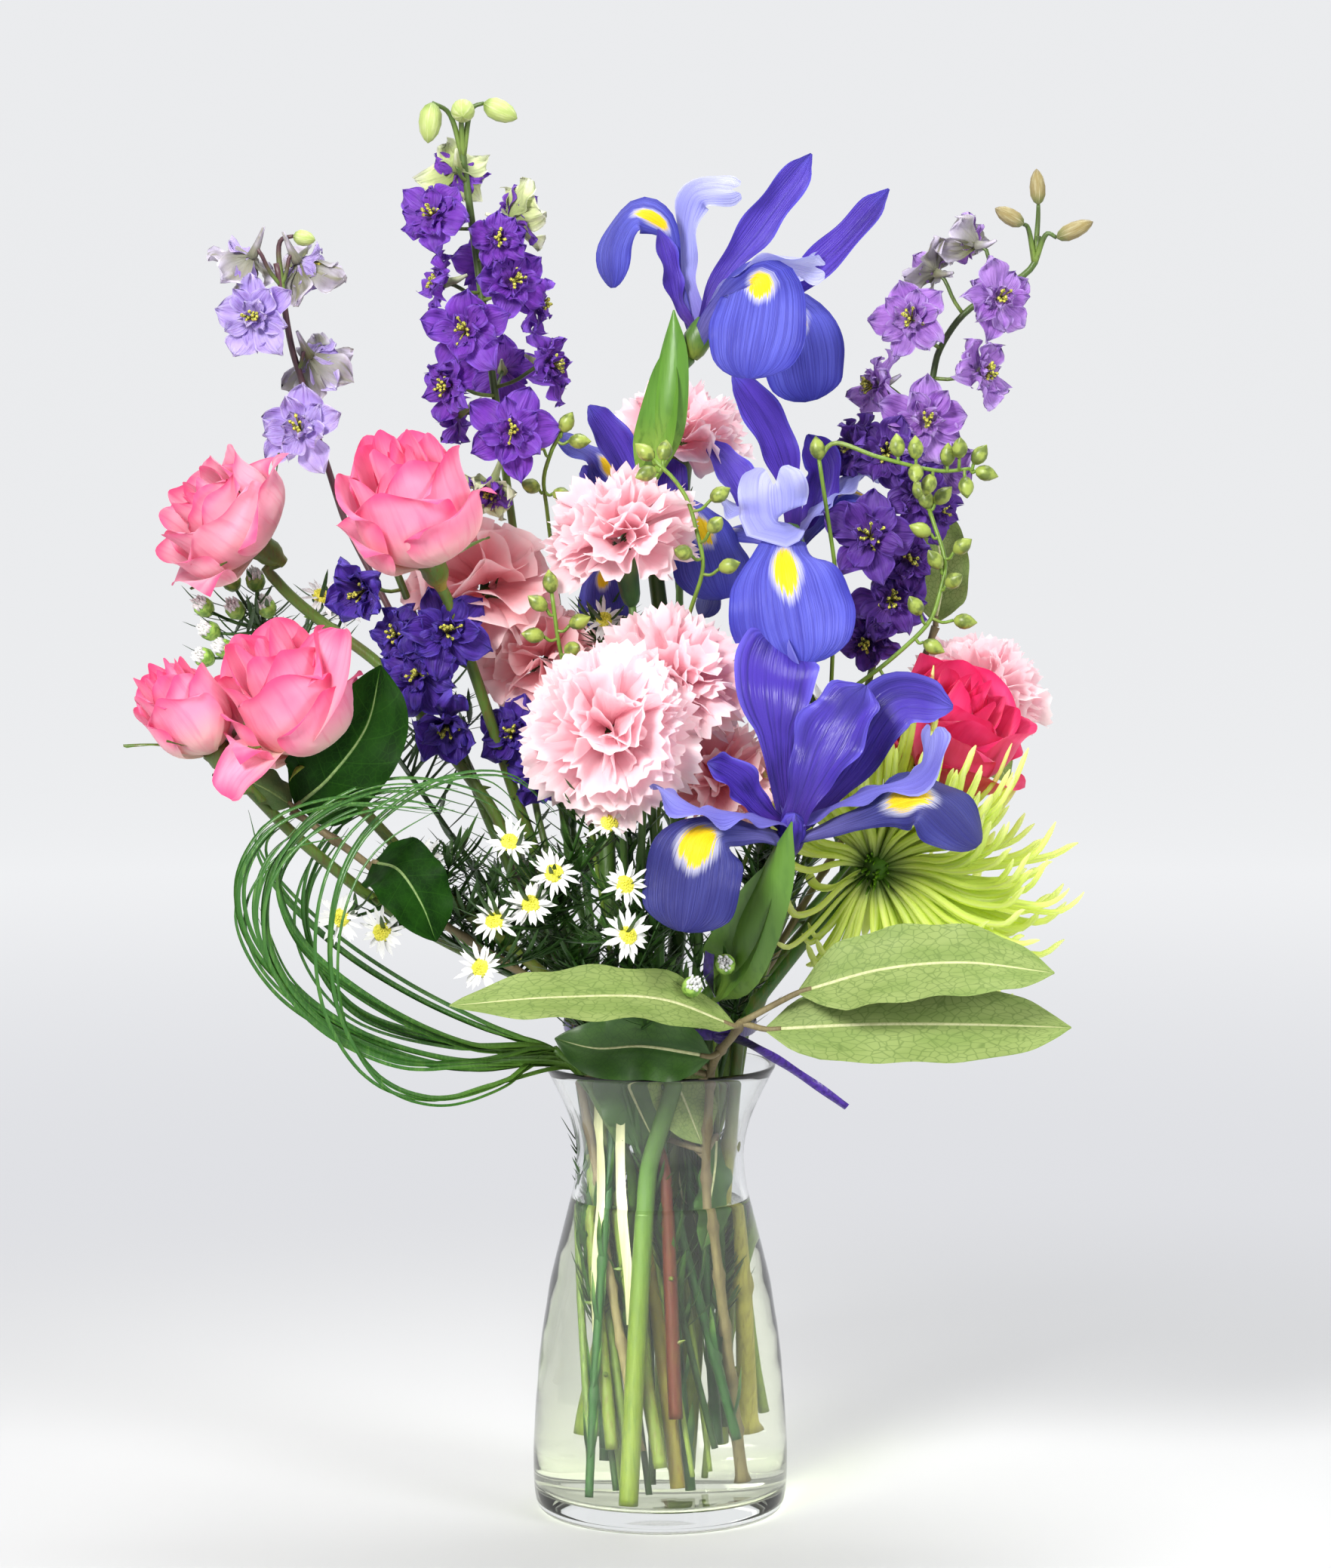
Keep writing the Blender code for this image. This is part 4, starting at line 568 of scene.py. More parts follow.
class Recipe:
    """The nodes of one material."""

    def __init__(self, name: str) -> None:
        """Starts an empty material.

        Args:
            name: The material's name.
        """
        self.material = bpy.data.materials.new(name)
        self.material.use_nodes = True
        self.tree = self.material.node_tree
        self.tree.nodes.clear()

    def node(self, kind: str, settings: dict[str, object] | None = None,
             sockets: dict[str | int, object] | None = None, output: str | int = 0) -> Wire:
        """Adds one node.

        Args:
            kind: The node's type.
            settings: What is set on the node itself, before its sockets.
            sockets: Values or wires of its inputs.
            output: Which output to give back.

        Returns:
            The chosen output.
        """
        made = self.tree.nodes.new(kind)
        for name, value in (settings or {}).items():
            setattr(made, name, value)
        for name, value in (sockets or {}).items():
            socket = made.inputs[name]
            if isinstance(value, Wire):
                self.tree.links.new(value.socket, socket)
            elif socket.type == "RGBA" and isinstance(value, tuple):
                socket.default_value = (*value, 1.0)
            else:
                socket.default_value = value
        return Wire(self, made.outputs[output])

    def maths(self, operation: str, *values: Wire | float) -> Wire:
        """A Math node on one or more values."""
        return self.node("ShaderNodeMath", {"operation": operation}, dict(enumerate(values)))

    def mix(self, factor: Wire | float, first: Wire | Colour, second: Wire | Colour) -> Wire:
        """A colour between two colours, by a factor from 0 to 1."""
        sockets = {0: factor, 6: first, 7: second}
        return self.node("ShaderNodeMix", {"data_type": "RGBA", "clamp_factor": True}, sockets, 2)

    def marks(self, *names: str) -> list[Wire]:
        """Some of the marks that the mesh carries, by their names."""
        return [self.node("ShaderNodeAttribute", {"attribute_name": name}, output="Fac") for name in names]

    def vector(self, x: Wire | float, y: Wire | float, z: Wire | float) -> Wire:
        """Three values as one vector."""
        return self.node("ShaderNodeCombineXYZ", {}, {0: x, 1: y, 2: z})

    def place(self, stretch: Point) -> Wire:
        """The place on the model in metres, stretched along each axis."""
        where = self.node("ShaderNodeTexCoord", output="Object")
        return self.node("ShaderNodeVectorMath", {"operation": "MULTIPLY"}, {0: where, 1: stretch})

    def noise(self, vector: Wire, scale: float, detail: float = 3.0) -> Wire:
        """Cloudy noise, mostly from 0.3 to 0.7."""
        return self.node("ShaderNodeTexNoise", {}, {"Vector": vector, "Scale": scale, "Detail": detail})

    def bump(self, height: Wire, strength: float, distance: float) -> Wire:
        """A normal that is raised by a height."""
        sockets = {"Height": height, "Strength": strength, "Distance": distance}
        return self.node("ShaderNodeBump", {}, sockets, "Normal")

    def principled(self, sockets: dict[str | int, object]) -> Wire:
        """The main shader."""
        return self.node("ShaderNodeBsdfPrincipled", {}, sockets)

    def blend(self, factor: Wire | float, first: Wire, second: Wire) -> Wire:
        """A mix of two shaders."""
        return self.node("ShaderNodeMixShader", {}, {0: factor, 1: first, 2: second})

    def close(self, shader: Wire) -> Material:
        """Ends the recipe.

        Args:
            shader: What the surface shows.

        Returns:
            The material.
        """
        output = self.tree.nodes.new("ShaderNodeOutputMaterial")
        self.tree.links.new(shader.socket, output.inputs["Surface"])
        return self.material

    def close_thin(self, colour: Wire, raised: Wire, glow: float, rest: dict[str, object]) -> Material:
        """Ends the recipe of a thin part that lets some light through.

        Args:
            colour: Its colour.
            raised: Its normal.
            glow: The share of the light that goes through it.
            rest: The other values of its main shader.

        Returns:
            The material.
        """
        face = self.principled({"Base Color": colour, "Normal": raised, **rest})
        through = self.node("ShaderNodeBsdfTranslucent", {}, {"Color": colour, "Normal": raised})
        return self.close(self.blend(glow, face, through))


PETAL_SPECULAR = 0.35
PETAL_RELIEF = 0.0012
FALL_RELIEF = 0.0014
LEAF_RELIEF = 0.0008
FINE_RELIEF = 0.0006


@dataclass(frozen=True)
class PetalFinish:
    """A thin petal that shades from root to rim, with fine veins, and lets some light through."""

    name: str
    root: Colour
    body: Colour
    rim: Colour
    vein: Colour
    root_reach: float = 0.45
    rim_start: float = 0.8
    side_start: float = 0.82
    veins: float = 9.0
    depth: float = 0.4
    mottle: float = 0.3
    roughness: float = 0.5
    glow: float = 0.22
    sheen: float = 0.15
    variety: float = 0.25
    relief: float = 0.45

    def make(self) -> Material:
        """The finish as a material.

        Returns:
            The material.
        """
        recipe = Recipe(self.name)
        along, across, seed = recipe.marks(ALONG, ACROSS, SEED)
        side = abs(across)
        grain = recipe.noise(recipe.vector(across * self.veins, along * 1.3, seed * 40), 1.0, 4.0)
        patch = recipe.noise(recipe.vector(across * 1.2, along * 1.6, seed * 30 + 5), 1.3, 2.0)
        colour = recipe.mix(along.rise(0.02, self.root_reach), self.root, self.body)
        side_edge = side.rise(self.side_start, 1.0) * along.rise(0.3, 0.8)
        edge = recipe.maths("MAXIMUM", along.rise(self.rim_start, 1.0), side_edge)
        colour = recipe.mix(edge * patch.rise(0.2, 0.55), colour, self.rim)
        colour = recipe.mix(grain.rise(0.5, 0.68) * self.depth, colour, self.vein)
        colour = recipe.mix(patch.rise(0.45, 0.7) * self.mottle, colour, self.vein)
        colour = recipe.mix(seed * self.variety, colour, self.rim)
        raised = recipe.bump(grain + patch, self.relief, PETAL_RELIEF)
        return recipe.close_thin(colour, raised, self.glow, {
            "Roughness": self.roughness, "Sheen Weight": self.sheen, "Specular IOR Level": PETAL_SPECULAR,
        })


@dataclass(frozen=True)
class FallFinish:
    """The fall of an iris: fine fanned veins, and a yellow blotch with a pale halo."""

    name: str
    root: Colour
    body: Colour
    rim: Colour
    vein: Colour
    blotch: Colour = tint(255, 212, 10)
    halo: Colour = tint(225, 226, 248)
    blotch_middle: float = 0.60
    blotch_reach: float = 0.12
    blotch_slimness: float = 3.2
    rays: float = 26.0
    fine_rays: float = 34.0
    roughness: float = 0.48
    glow: float = 0.16
    sheen: float = 0.05
    relief: float = 0.8

    def make(self) -> Material:
        """The finish as a material.

        Returns:
            The material.
        """
        recipe = Recipe(self.name)
        along, across, seed = recipe.marks(ALONG, ACROSS, SEED)
        rays = recipe.noise(recipe.vector(across * self.rays, along * 1.3, seed * 20), 1.0, 5.0)
        fine = recipe.noise(recipe.vector(across * self.fine_rays, along * 2.2, seed * 40), 1.0, 3.0)
        patch = recipe.noise(recipe.vector(across * 1.4, along * 2.4, seed * 30), 1.0, 2.0)
        off = (along - self.blotch_middle) / self.blotch_reach
        wide = across * self.blotch_slimness * (off * 0.22 + 1)
        round_it = off * off + wide * wide + fine.rise(0.35, 0.65) * 0.5
        colour = recipe.mix(along.rise(0.1, 0.5), self.root, self.body)
        colour = recipe.mix(patch.rise(0.4, 0.7) * 0.5, colour, self.vein)
        edge = recipe.maths("MAXIMUM", along.rise(0.86, 1.0), abs(across).rise(0.72, 1.0))
        colour = recipe.mix(edge * 0.8, colour, self.rim)
        colour = recipe.mix(rays.rise(0.44, 0.58) * 0.5, colour, self.vein)
        colour = recipe.mix(round_it.rise(2.1, 1.0) * 0.6, colour, self.halo)
        colour = recipe.mix(round_it.rise(1.2, 0.85), colour, self.blotch)
        raised = recipe.bump(rays + patch * 2, self.relief, FALL_RELIEF)
        return recipe.close_thin(colour, raised, self.glow, {
            "Roughness": self.roughness, "Sheen Weight": self.sheen, "Specular IOR Level": PETAL_SPECULAR,
        })


@dataclass(frozen=True)
class LeafFinish:
    """One side of a leaf: midrib, side veins and a fine net between them."""

    name: str
    body: Colour
    shade: Colour
    rib: Colour
    net: Colour
    side_veins: float = 8.0
    net_depth: float = 0.5
    net_across: float = 7.0
    net_along: float = 26.0
    roughness: float = 0.35
    specular: float = 0.5
    glow: float = 0.12

    def make(self) -> Material:
        """The finish as a material.

        Returns:
            The material.
        """
        recipe = Recipe(self.name)
        along, across, seed = recipe.marks(ALONG, ACROSS, SEED)
        side = abs(across)
        climb = (along - side * 0.16) * self.side_veins + seed
        wave = abs(recipe.maths("FRACT", climb) - 0.5)
        vein = wave.rise(0.04, 0.0) * side.rise(1.0, 0.85)
        cells = recipe.node("ShaderNodeTexVoronoi", {"feature": "DISTANCE_TO_EDGE"}, {
            "Vector": recipe.vector(across * self.net_across, along * self.net_along, seed * 9), "Scale": 1.0,
        })
        web = cells.rise(0.09, 0.0)
        rib = side.rise(0.05, 0.015)
        patch = recipe.noise(recipe.vector(across * 2, along * 4, seed * 30), 1.0, 3.0)
        colour = recipe.mix(patch.rise(0.35, 0.7), self.body, self.shade)
        colour = recipe.mix(web * self.net_depth, colour, self.net)
        colour = recipe.mix(vein * 0.45, colour, self.net)
        colour = recipe.mix(rib, colour, self.rib)
        raised = recipe.bump(web * 0.25 + vein * 0.6 + rib, -0.5, LEAF_RELIEF)
        return recipe.close_thin(colour, raised, self.glow, {
            "Roughness": patch * 0.2 + (self.roughness - 0.1), "Specular IOR Level": self.specular,
        })


@dataclass(frozen=True)
class StemFinish:
    """A stem with long fibres, which changes colour from its cut end up."""

    name: str
    foot: Colour
    body: Colour
    streak: Colour
    turn_at: float = 0.35
    roughness: float = 0.42
    fibres: float = 900.0

    def make(self) -> Material:
        """The finish as a material.

        Returns:
            The material.
        """
        recipe = Recipe(self.name)
        along, tone = recipe.marks(ALONG, TONE)
        fibre = recipe.noise(recipe.place((self.fibres, self.fibres, 25.0)), 1.0, 3.0)
        spots = recipe.noise(recipe.place((120.0, 120.0, 60.0)), 1.0, 3.0)
        colour = recipe.mix(along.rise(self.turn_at - 0.2, self.turn_at + 0.2), self.foot, self.body)
        colour = recipe.mix(fibre.rise(0.48, 0.7) * 0.45, colour, self.streak)
        colour = recipe.mix(spots.rise(0.55, 0.75) * 0.35, colour, self.streak)
        colour = recipe.mix(tone, colour, self.streak)
        raised = recipe.bump(fibre + spots * 0.5, 0.35, FINE_RELIEF)
        face = recipe.principled({"Base Color": colour, "Roughness": self.roughness, "Normal": raised})
        return recipe.close(face)


@dataclass(frozen=True)
class PlainFinish:
    """A small plain surface with a fine grain, such as a flower's middle or a ribbon."""

    name: str
    body: Colour
    speck: Colour
    scale: float = 900.0
    roughness: float = 0.6
    sheen: float = 0.0

    def make(self) -> Material:
        """The finish as a material.

        Returns:
            The material.
        """
        recipe = Recipe(self.name)
        grain = recipe.noise(recipe.place((1.0, 1.0, 1.0)), self.scale, 3.0)
        colour = recipe.mix(grain.rise(0.42, 0.62), self.body, self.speck)
        raised = recipe.bump(grain, 0.5, FINE_RELIEF)
        face = recipe.principled({
            "Base Color": colour, "Roughness": self.roughness, "Normal": raised, "Sheen Weight": self.sheen,
        })
        return recipe.close(face)


@dataclass(frozen=True)
class ClearFinish:
    """Glass or water: it bends light, and lets the lights' rays through to what it holds."""

    name: str
    colour: Colour
    bends: float
    grain: float

    def make(self) -> Material:
        """The finish as a material.

        Returns:
            The material.
        """
        recipe = Recipe(self.name)
        ripple = recipe.noise(recipe.place((1.0, 1.0, 0.6)), self.grain, 2.0)
        raised = recipe.bump(ripple, 0.08, FINE_RELIEF)
        body = recipe.principled({
            "Base Color": self.colour, "Roughness": 0.0, "IOR": self.bends, "Transmission Weight": 1.0,
            "Normal": raised,
        })
        path = recipe.node("ShaderNodeLightPath", output="Is Shadow Ray")
        clear = recipe.node("ShaderNodeBsdfTransparent", {}, {"Color": self.colour})
        return recipe.close(recipe.blend(path, body, clear))


@dataclass(frozen=True)
class StudioFinish:
    """The floor and the wall behind, white underfoot and cool grey above. The wall and the far floor glow
    with painted light, grey low down and paler higher up, with faint patches of painted shade.
    """

    name: str = "studio"
    floor: Colour = (0.60, 0.602, 0.606)
    # Painted shade: the grey of the glow low down; the wall colour is its paler painted light higher up.
    shaded_glow: Colour = tint(217, 218, 222)
    wall: Colour = tint(234, 235, 237)

    def make(self) -> Material:
        """The finish as a material.

        Returns:
            The material.
        """
        recipe = Recipe(self.name)
        where = recipe.node("ShaderNodeTexCoord", output="Object")
        away = recipe.node("ShaderNodeVectorMath", {"operation": "LENGTH"}, {0: where}, "Value")
        # Painted light: from about 0.2 m out the floor fades into a glow, grey near the floor and paler up
        # the wall, with faint cloudy patches of painted shade.
        cloud = recipe.noise(where, 0.8, 2.0)
        far = away.rise(0.2, 0.95)
        wall = recipe.mix(away.rise(0.9, 3.2), self.shaded_glow, self.wall)
        wall = recipe.mix(cloud * 0.06, wall, self.shaded_glow)
        glow = recipe.mix(far, (0.0, 0.0, 0.0), wall)
        base = recipe.mix(far, self.floor, (0.0, 0.0, 0.0))
        face = recipe.principled({
            "Base Color": base, "Roughness": 0.7, "Specular IOR Level": 0.2, "Emission Color": glow,
            "Emission Strength": 1.0,
        })
        return recipe.close(face)


@dataclass(frozen=True)
class Lamp:
    """A soft square light that looks at the bouquet's middle.

    Its middle, the length of its side, its power in watts, its colour, and whether the glass shows it
    as a highlight.
    """

    name: str
    place: Point
    size: float
    power: float
    colour: Colour
    mirrored: bool = True

    def build(self, target: Point) -> None:
        """Makes the light.

        Args:
            target: What it looks at.
        """
        data = bpy.data.lights.new(self.name, "AREA")
        data.size = self.size * MM
        data.energy = self.power
        data.color = self.colour
        lamp = bpy.data.objects.new(self.name, data)
        turn = facing(np.array(self.place) - target)
        rows = [[*turn[row], self.place[row] * MM] for row in range(3)]
        lamp.matrix_world = Matrix([*rows, [0, 0, 0, 1]])
        lamp.visible_glossy = self.mirrored
        lamp.visible_transmission = self.mirrored
        bpy.context.scene.collection.objects.link(lamp)


@dataclass(frozen=True)
class Studio:
    """A round pale floor that curves up to a wall, soft lights and the camera."""

    camera_place: Point = (2.4, -1956.5, 482.9)
    camera_tilt: float = 85.5
    lens: float = 100.6
    floor_edge: float = 1500.0
    floor_radius: float = 3000.0
    corner: float = 1200.0
    height: float = 4200.0
    lamps: Sequence[Lamp] = (
        Lamp("key", (-900.0, -1700.0, 1400.0), 600.0, 62.0, (1.0, 0.99, 0.97)),
        Lamp("fill", (1500.0, -1300.0, 900.0), 700.0, 25.0, (0.98, 0.99, 1.0), False),
        Lamp("top", (200.0, 300.0, 2000.0), 1000.0, 28.0, (1.0, 1.0, 1.0)),
    )
    lit_point: Point = (0.0, 0.0, 300.0)
    round_sides: int = 96
    sky: Colour = (0.96, 0.98, 1.0)
    sky_strength: float = 0.26

    def build(self) -> None:
        """Makes the floor, the lights and the camera."""
        floor = [(0.0, 1.0), (0.0, 600.0), (0.0, self.floor_edge)]
        bend = [(self.corner * (1 - math.cos(angle)), self.floor_radius + self.corner * math.sin(angle))
                for angle in np.linspace(0, math.pi / 2, 16)]
        wall = [floor[-1], *bend, (self.height, self.floor_radius + self.corner)]
        finish = StudioFinish().make()
        self._ground("studio_floor", floor, finish)
        self._ground("studio_wall", wall, finish).visible_diffuse = False
        for lamp in self.lamps:
            lamp.build(self.lit_point)
        world = bpy.data.worlds.new("studio_light")
        world.use_nodes = True
        sky = world.node_tree.nodes["Background"].inputs
        sky["Color"].default_value = (*self.sky, 1.0)
        sky["Strength"].default_value = self.sky_strength
        bpy.context.scene.world = world
        bpy.context.scene.view_settings.view_transform = "Standard"
        self._camera()

    def _ground(self, name: str, profile: Pairs, finish: Material) -> bpy.types.Object:
        """Makes one turned part of the studio.

        Args:
            name: Its name.
            profile: (height, radius) pairs from its middle outwards.
            finish: Its material.

        Returns:
            The part.
        """
        surface = Surface()
        surface.add_turned(profile, self.round_sides, (0.0, 0.0, 0.0), np.eye(3), 0.0)
        points, quads = np.concatenate(surface.points) * MM, np.concatenate(surface.faces)
        mesh = bpy.data.meshes.new(name)
        mesh.from_pydata(points.tolist(), [], quads[:, ::-1].tolist())
        mesh.materials.append(finish)
        mesh.shade_smooth()
        ground = bpy.data.objects.new(name, mesh)
        bpy.context.scene.collection.objects.link(ground)
        return ground

    def _camera(self) -> None:
        """Makes the camera at the photograph's place."""
        data = bpy.data.cameras.new("camera")
        data.lens = self.lens
        camera = bpy.data.objects.new("camera", data)
        camera.location = np.array(self.camera_place) * MM
        camera.rotation_euler = (math.radians(self.camera_tilt), 0.0, 0.0)
        bpy.context.scene.collection.objects.link(camera)
        bpy.context.scene.camera = camera


@dataclass(frozen=True)
class Vase:
    """The clear glass vase: round belly, narrow waist and flared mouth."""

    height: float = 203.0
    wall: float = 3.0
    floor: float = 9.0
    bowl_top: float = 16.0
    lip_start: float = 200.5
    outside: Pairs = (
        (0.0, 51.0), (0.6, 53.5), (3.0, 55.6), (8.0, 56.8), (17.0, 57.4), (26.0, 57.5), (34.0, 57.2),
        (43.0, 56.7), (51.0, 56.2), (59.0, 55.5), (68.0, 54.9), (76.0, 54.0), (84.5, 52.9), (93.0, 51.5),
        (104.5, 49.7), (113.0, 47.7), (121.0, 45.7), (130.0, 43.4), (138.0, 41.4), (146.0, 39.4),
        (155.0, 38.1), (163.0, 37.7), (171.0, 38.7), (180.0, 41.3), (188.0, 44.8), (196.0, 48.7),
        (201.8, 51.8),
    )
    sides: int = 128

    def inner_radius(self, height: float | Array) -> float | Array:
        """Radius of the inside at a height."""
        heights, radii = zip(*self.outside)
        return np.interp(height, heights, radii) - self.wall

    def build(self) -> None:
        """Makes the glass as one turned shell with a thick foot and a rounded rim."""
        fine = smooth([(z, r, 0.0) for z, r in self.outside], 110)
        outer = [(float(z), float(r)) for z, r, _ in fine]
        rim = [(202.7, 51.9), (self.height, 51.0), (202.8, 50.0), (201.8, 49.2)]
        inner = [(z, r - self.wall) for z, r in outer[::-1] if self.bowl_top < z < self.lip_start]
        bowl = [(13.5, 53.2), (11.2, 51.2), (9.8, 47.5), (9.2, 42.0), (self.floor, 30.0), (self.floor, 0.01)]
        under = [(2.2, 0.01), (2.0, 25.0), (1.4, 40.0), (0.4, 47.0), (0.0, 49.0)]
        surface = Surface()
        profile = [*under, *outer, *rim, *inner, *bowl]
        surface.add_turned(profile, self.sides, (0.0, 0.0, 0.0), np.eye(3), 0.5)
        glass = ClearFinish("clear_glass", (0.955, 0.968, 0.965), 1.5, 9.0).make()
        surface.piece("vase_glass", "clear_glass", [glass], ["vase"])


@dataclass(frozen=True)
class Water:
    """The water, which meets the glass in a thin raised edge."""

    vase: Vase
    level: float = 141.0
    into_glass: float = 0.25

    def build(self) -> None:
        """Makes the water as one turned body that just enters the glass, so no air shows between."""
        heights = np.linspace(17.0, self.level + 1.0, 60)
        sides = [(float(z), float(self.vase.inner_radius(z)) + self.into_glass) for z in heights]
        low = [(8.7, 0.01), (8.7, 30.0), (8.9, 42.0), (9.5, 47.6), (10.9, 51.4), (13.3, 53.5)]
        edge = float(self.vase.inner_radius(self.level))
        top = [(self.level + 0.9, edge - 0.4), (self.level + 0.3, edge - 1.3), (self.level, edge - 2.8),
               (self.level, edge * 0.5), (self.level, 0.01)]
        surface = Surface()
        surface.add_turned([*low, *sides, *top], self.vase.sides, (0.0, 0.0, 0.0), np.eye(3), 0.5)
        water = ClearFinish("water", (0.925, 0.94, 0.80), 1.333, 14.0).make()
        surface.piece("vase_water", "water", [water], ["water"])


@dataclass(frozen=True)
class Head:
    """Where a flower head sits: its base, the way it faces, its radius and its depth."""

    name: str
    base: Point
    axis: Point
    radius: float
    depth: float

    def turn(self) -> Array:
        """The rotation from the head's own axes."""
        return facing(self.axis)

    def point(self, distance: float) -> Array:
        """A point on the head's axis, at a distance in front of its base."""
        return np.array(self.base) + unit(self.axis) * distance


@dataclass(frozen=True)
class Stem:
    """A round stem from its cut end up to the point where its flower starts."""

    node: str
    radius: float
    end: Array
    sides: int = 10
    joints: float = 0.0
    point_gap: float = 3.5
    narrowing: float = 0.86
    joint_reach: float = 2.6
    joint_swell: float = 0.45
    joint_tone: float = 0.35

    def path(self) -> Array:
        """The stem's middle.

        Returns:
            Points from its cut end to its flower.
        """
        end = np.asarray(self.end, float)
        line = stem_line(self.node, self.radius, end[2] - 3.0)
        away = np.linalg.norm(line - end, axis=1)
        line = line[(away > 7.0) | (np.arange(len(line)) < 3)]
        line = np.vstack([line, end])
        return smooth(line, max(8, int(runs(line)[-1] / self.point_gap)))

    def add(self, surface: Surface, finish: int = 0, seed: float = 0.5) -> Array:
        """Adds the stem to a surface.

        Args:
            surface: What it is added to.
            finish: Which of the piece's finishes it takes.
            seed: A number of its own.

        Returns:
            The stem's middle.
        """
        path = self.path()
        radii = self.radius * np.linspace(1.0, self.narrowing, len(path))
        tone = np.zeros(len(path))
        if self.joints:
            off = np.abs((runs(path) / self.joints + seed) % 1.0 - 0.5) * self.joints
            swell = np.exp(-((off / self.joint_reach) ** 2))
            radii = radii * (1 + self.joint_swell * swell)
            tone = self.joint_tone * swell
        surface.add_tube(path, radii, self.sides, seed, finish, tone=tone)
        return path


ROSE_SPAN = ((0.0, 0.34), (0.15, 0.62), (0.42, 0.96), (0.72, 1.0), (0.90, 0.88), (1.0, 0.70))
ROSE_SIDE = ((0.0, 0.18), (0.10, 0.52), (0.28, 0.88), (0.48, 1.0), (0.76, 0.96), (1.0, 0.93))
LOOSE_WIDTHS = ((0.0, 0.5), (0.25, 0.8), (0.6, 1.0), (0.85, 0.9), (0.96, 0.6), (1.0, 0.3))
SEPAL_WIDTHS = ((0.0, 0.9), (0.3, 1.0), (0.7, 0.36), (1.0, 0.04))
HIP_PROFILE = ((-14.5, 2.5), (-12.0, 3.2), (-9.5, 5.0), (-6.5, 6.0), (-3.5, 5.9), (-1.0, 6.6),
               (0.5, 6.0), (1.0, 0.1))


@dataclass(frozen=True)
class Ring:
    """One ring of a rose: its petals, half the angle each spans, and its shares of the flower."""

    count: int
    span: float
    reach: float
    height: float
    flare: float
    roll: float


ROSE_RINGS = (
    Ring(3, 1.90, 0.12, 0.98, -0.30, 0.0), Ring(3, 1.60, 0.24, 1.02, -0.20, 0.2),
    Ring(3, 1.45, 0.38, 1.04, -0.12, 0.8), Ring(3, 1.30, 0.56, 1.02, -0.06, 2.0),
    Ring(4, 1.15, 0.74, 0.97, 0.0, 3.0), Ring(4, 1.10, 0.90, 0.90, 0.05, 4.0),
    Ring(3, 1.00, 0.97, 0.60, 0.18, 5.5),
)


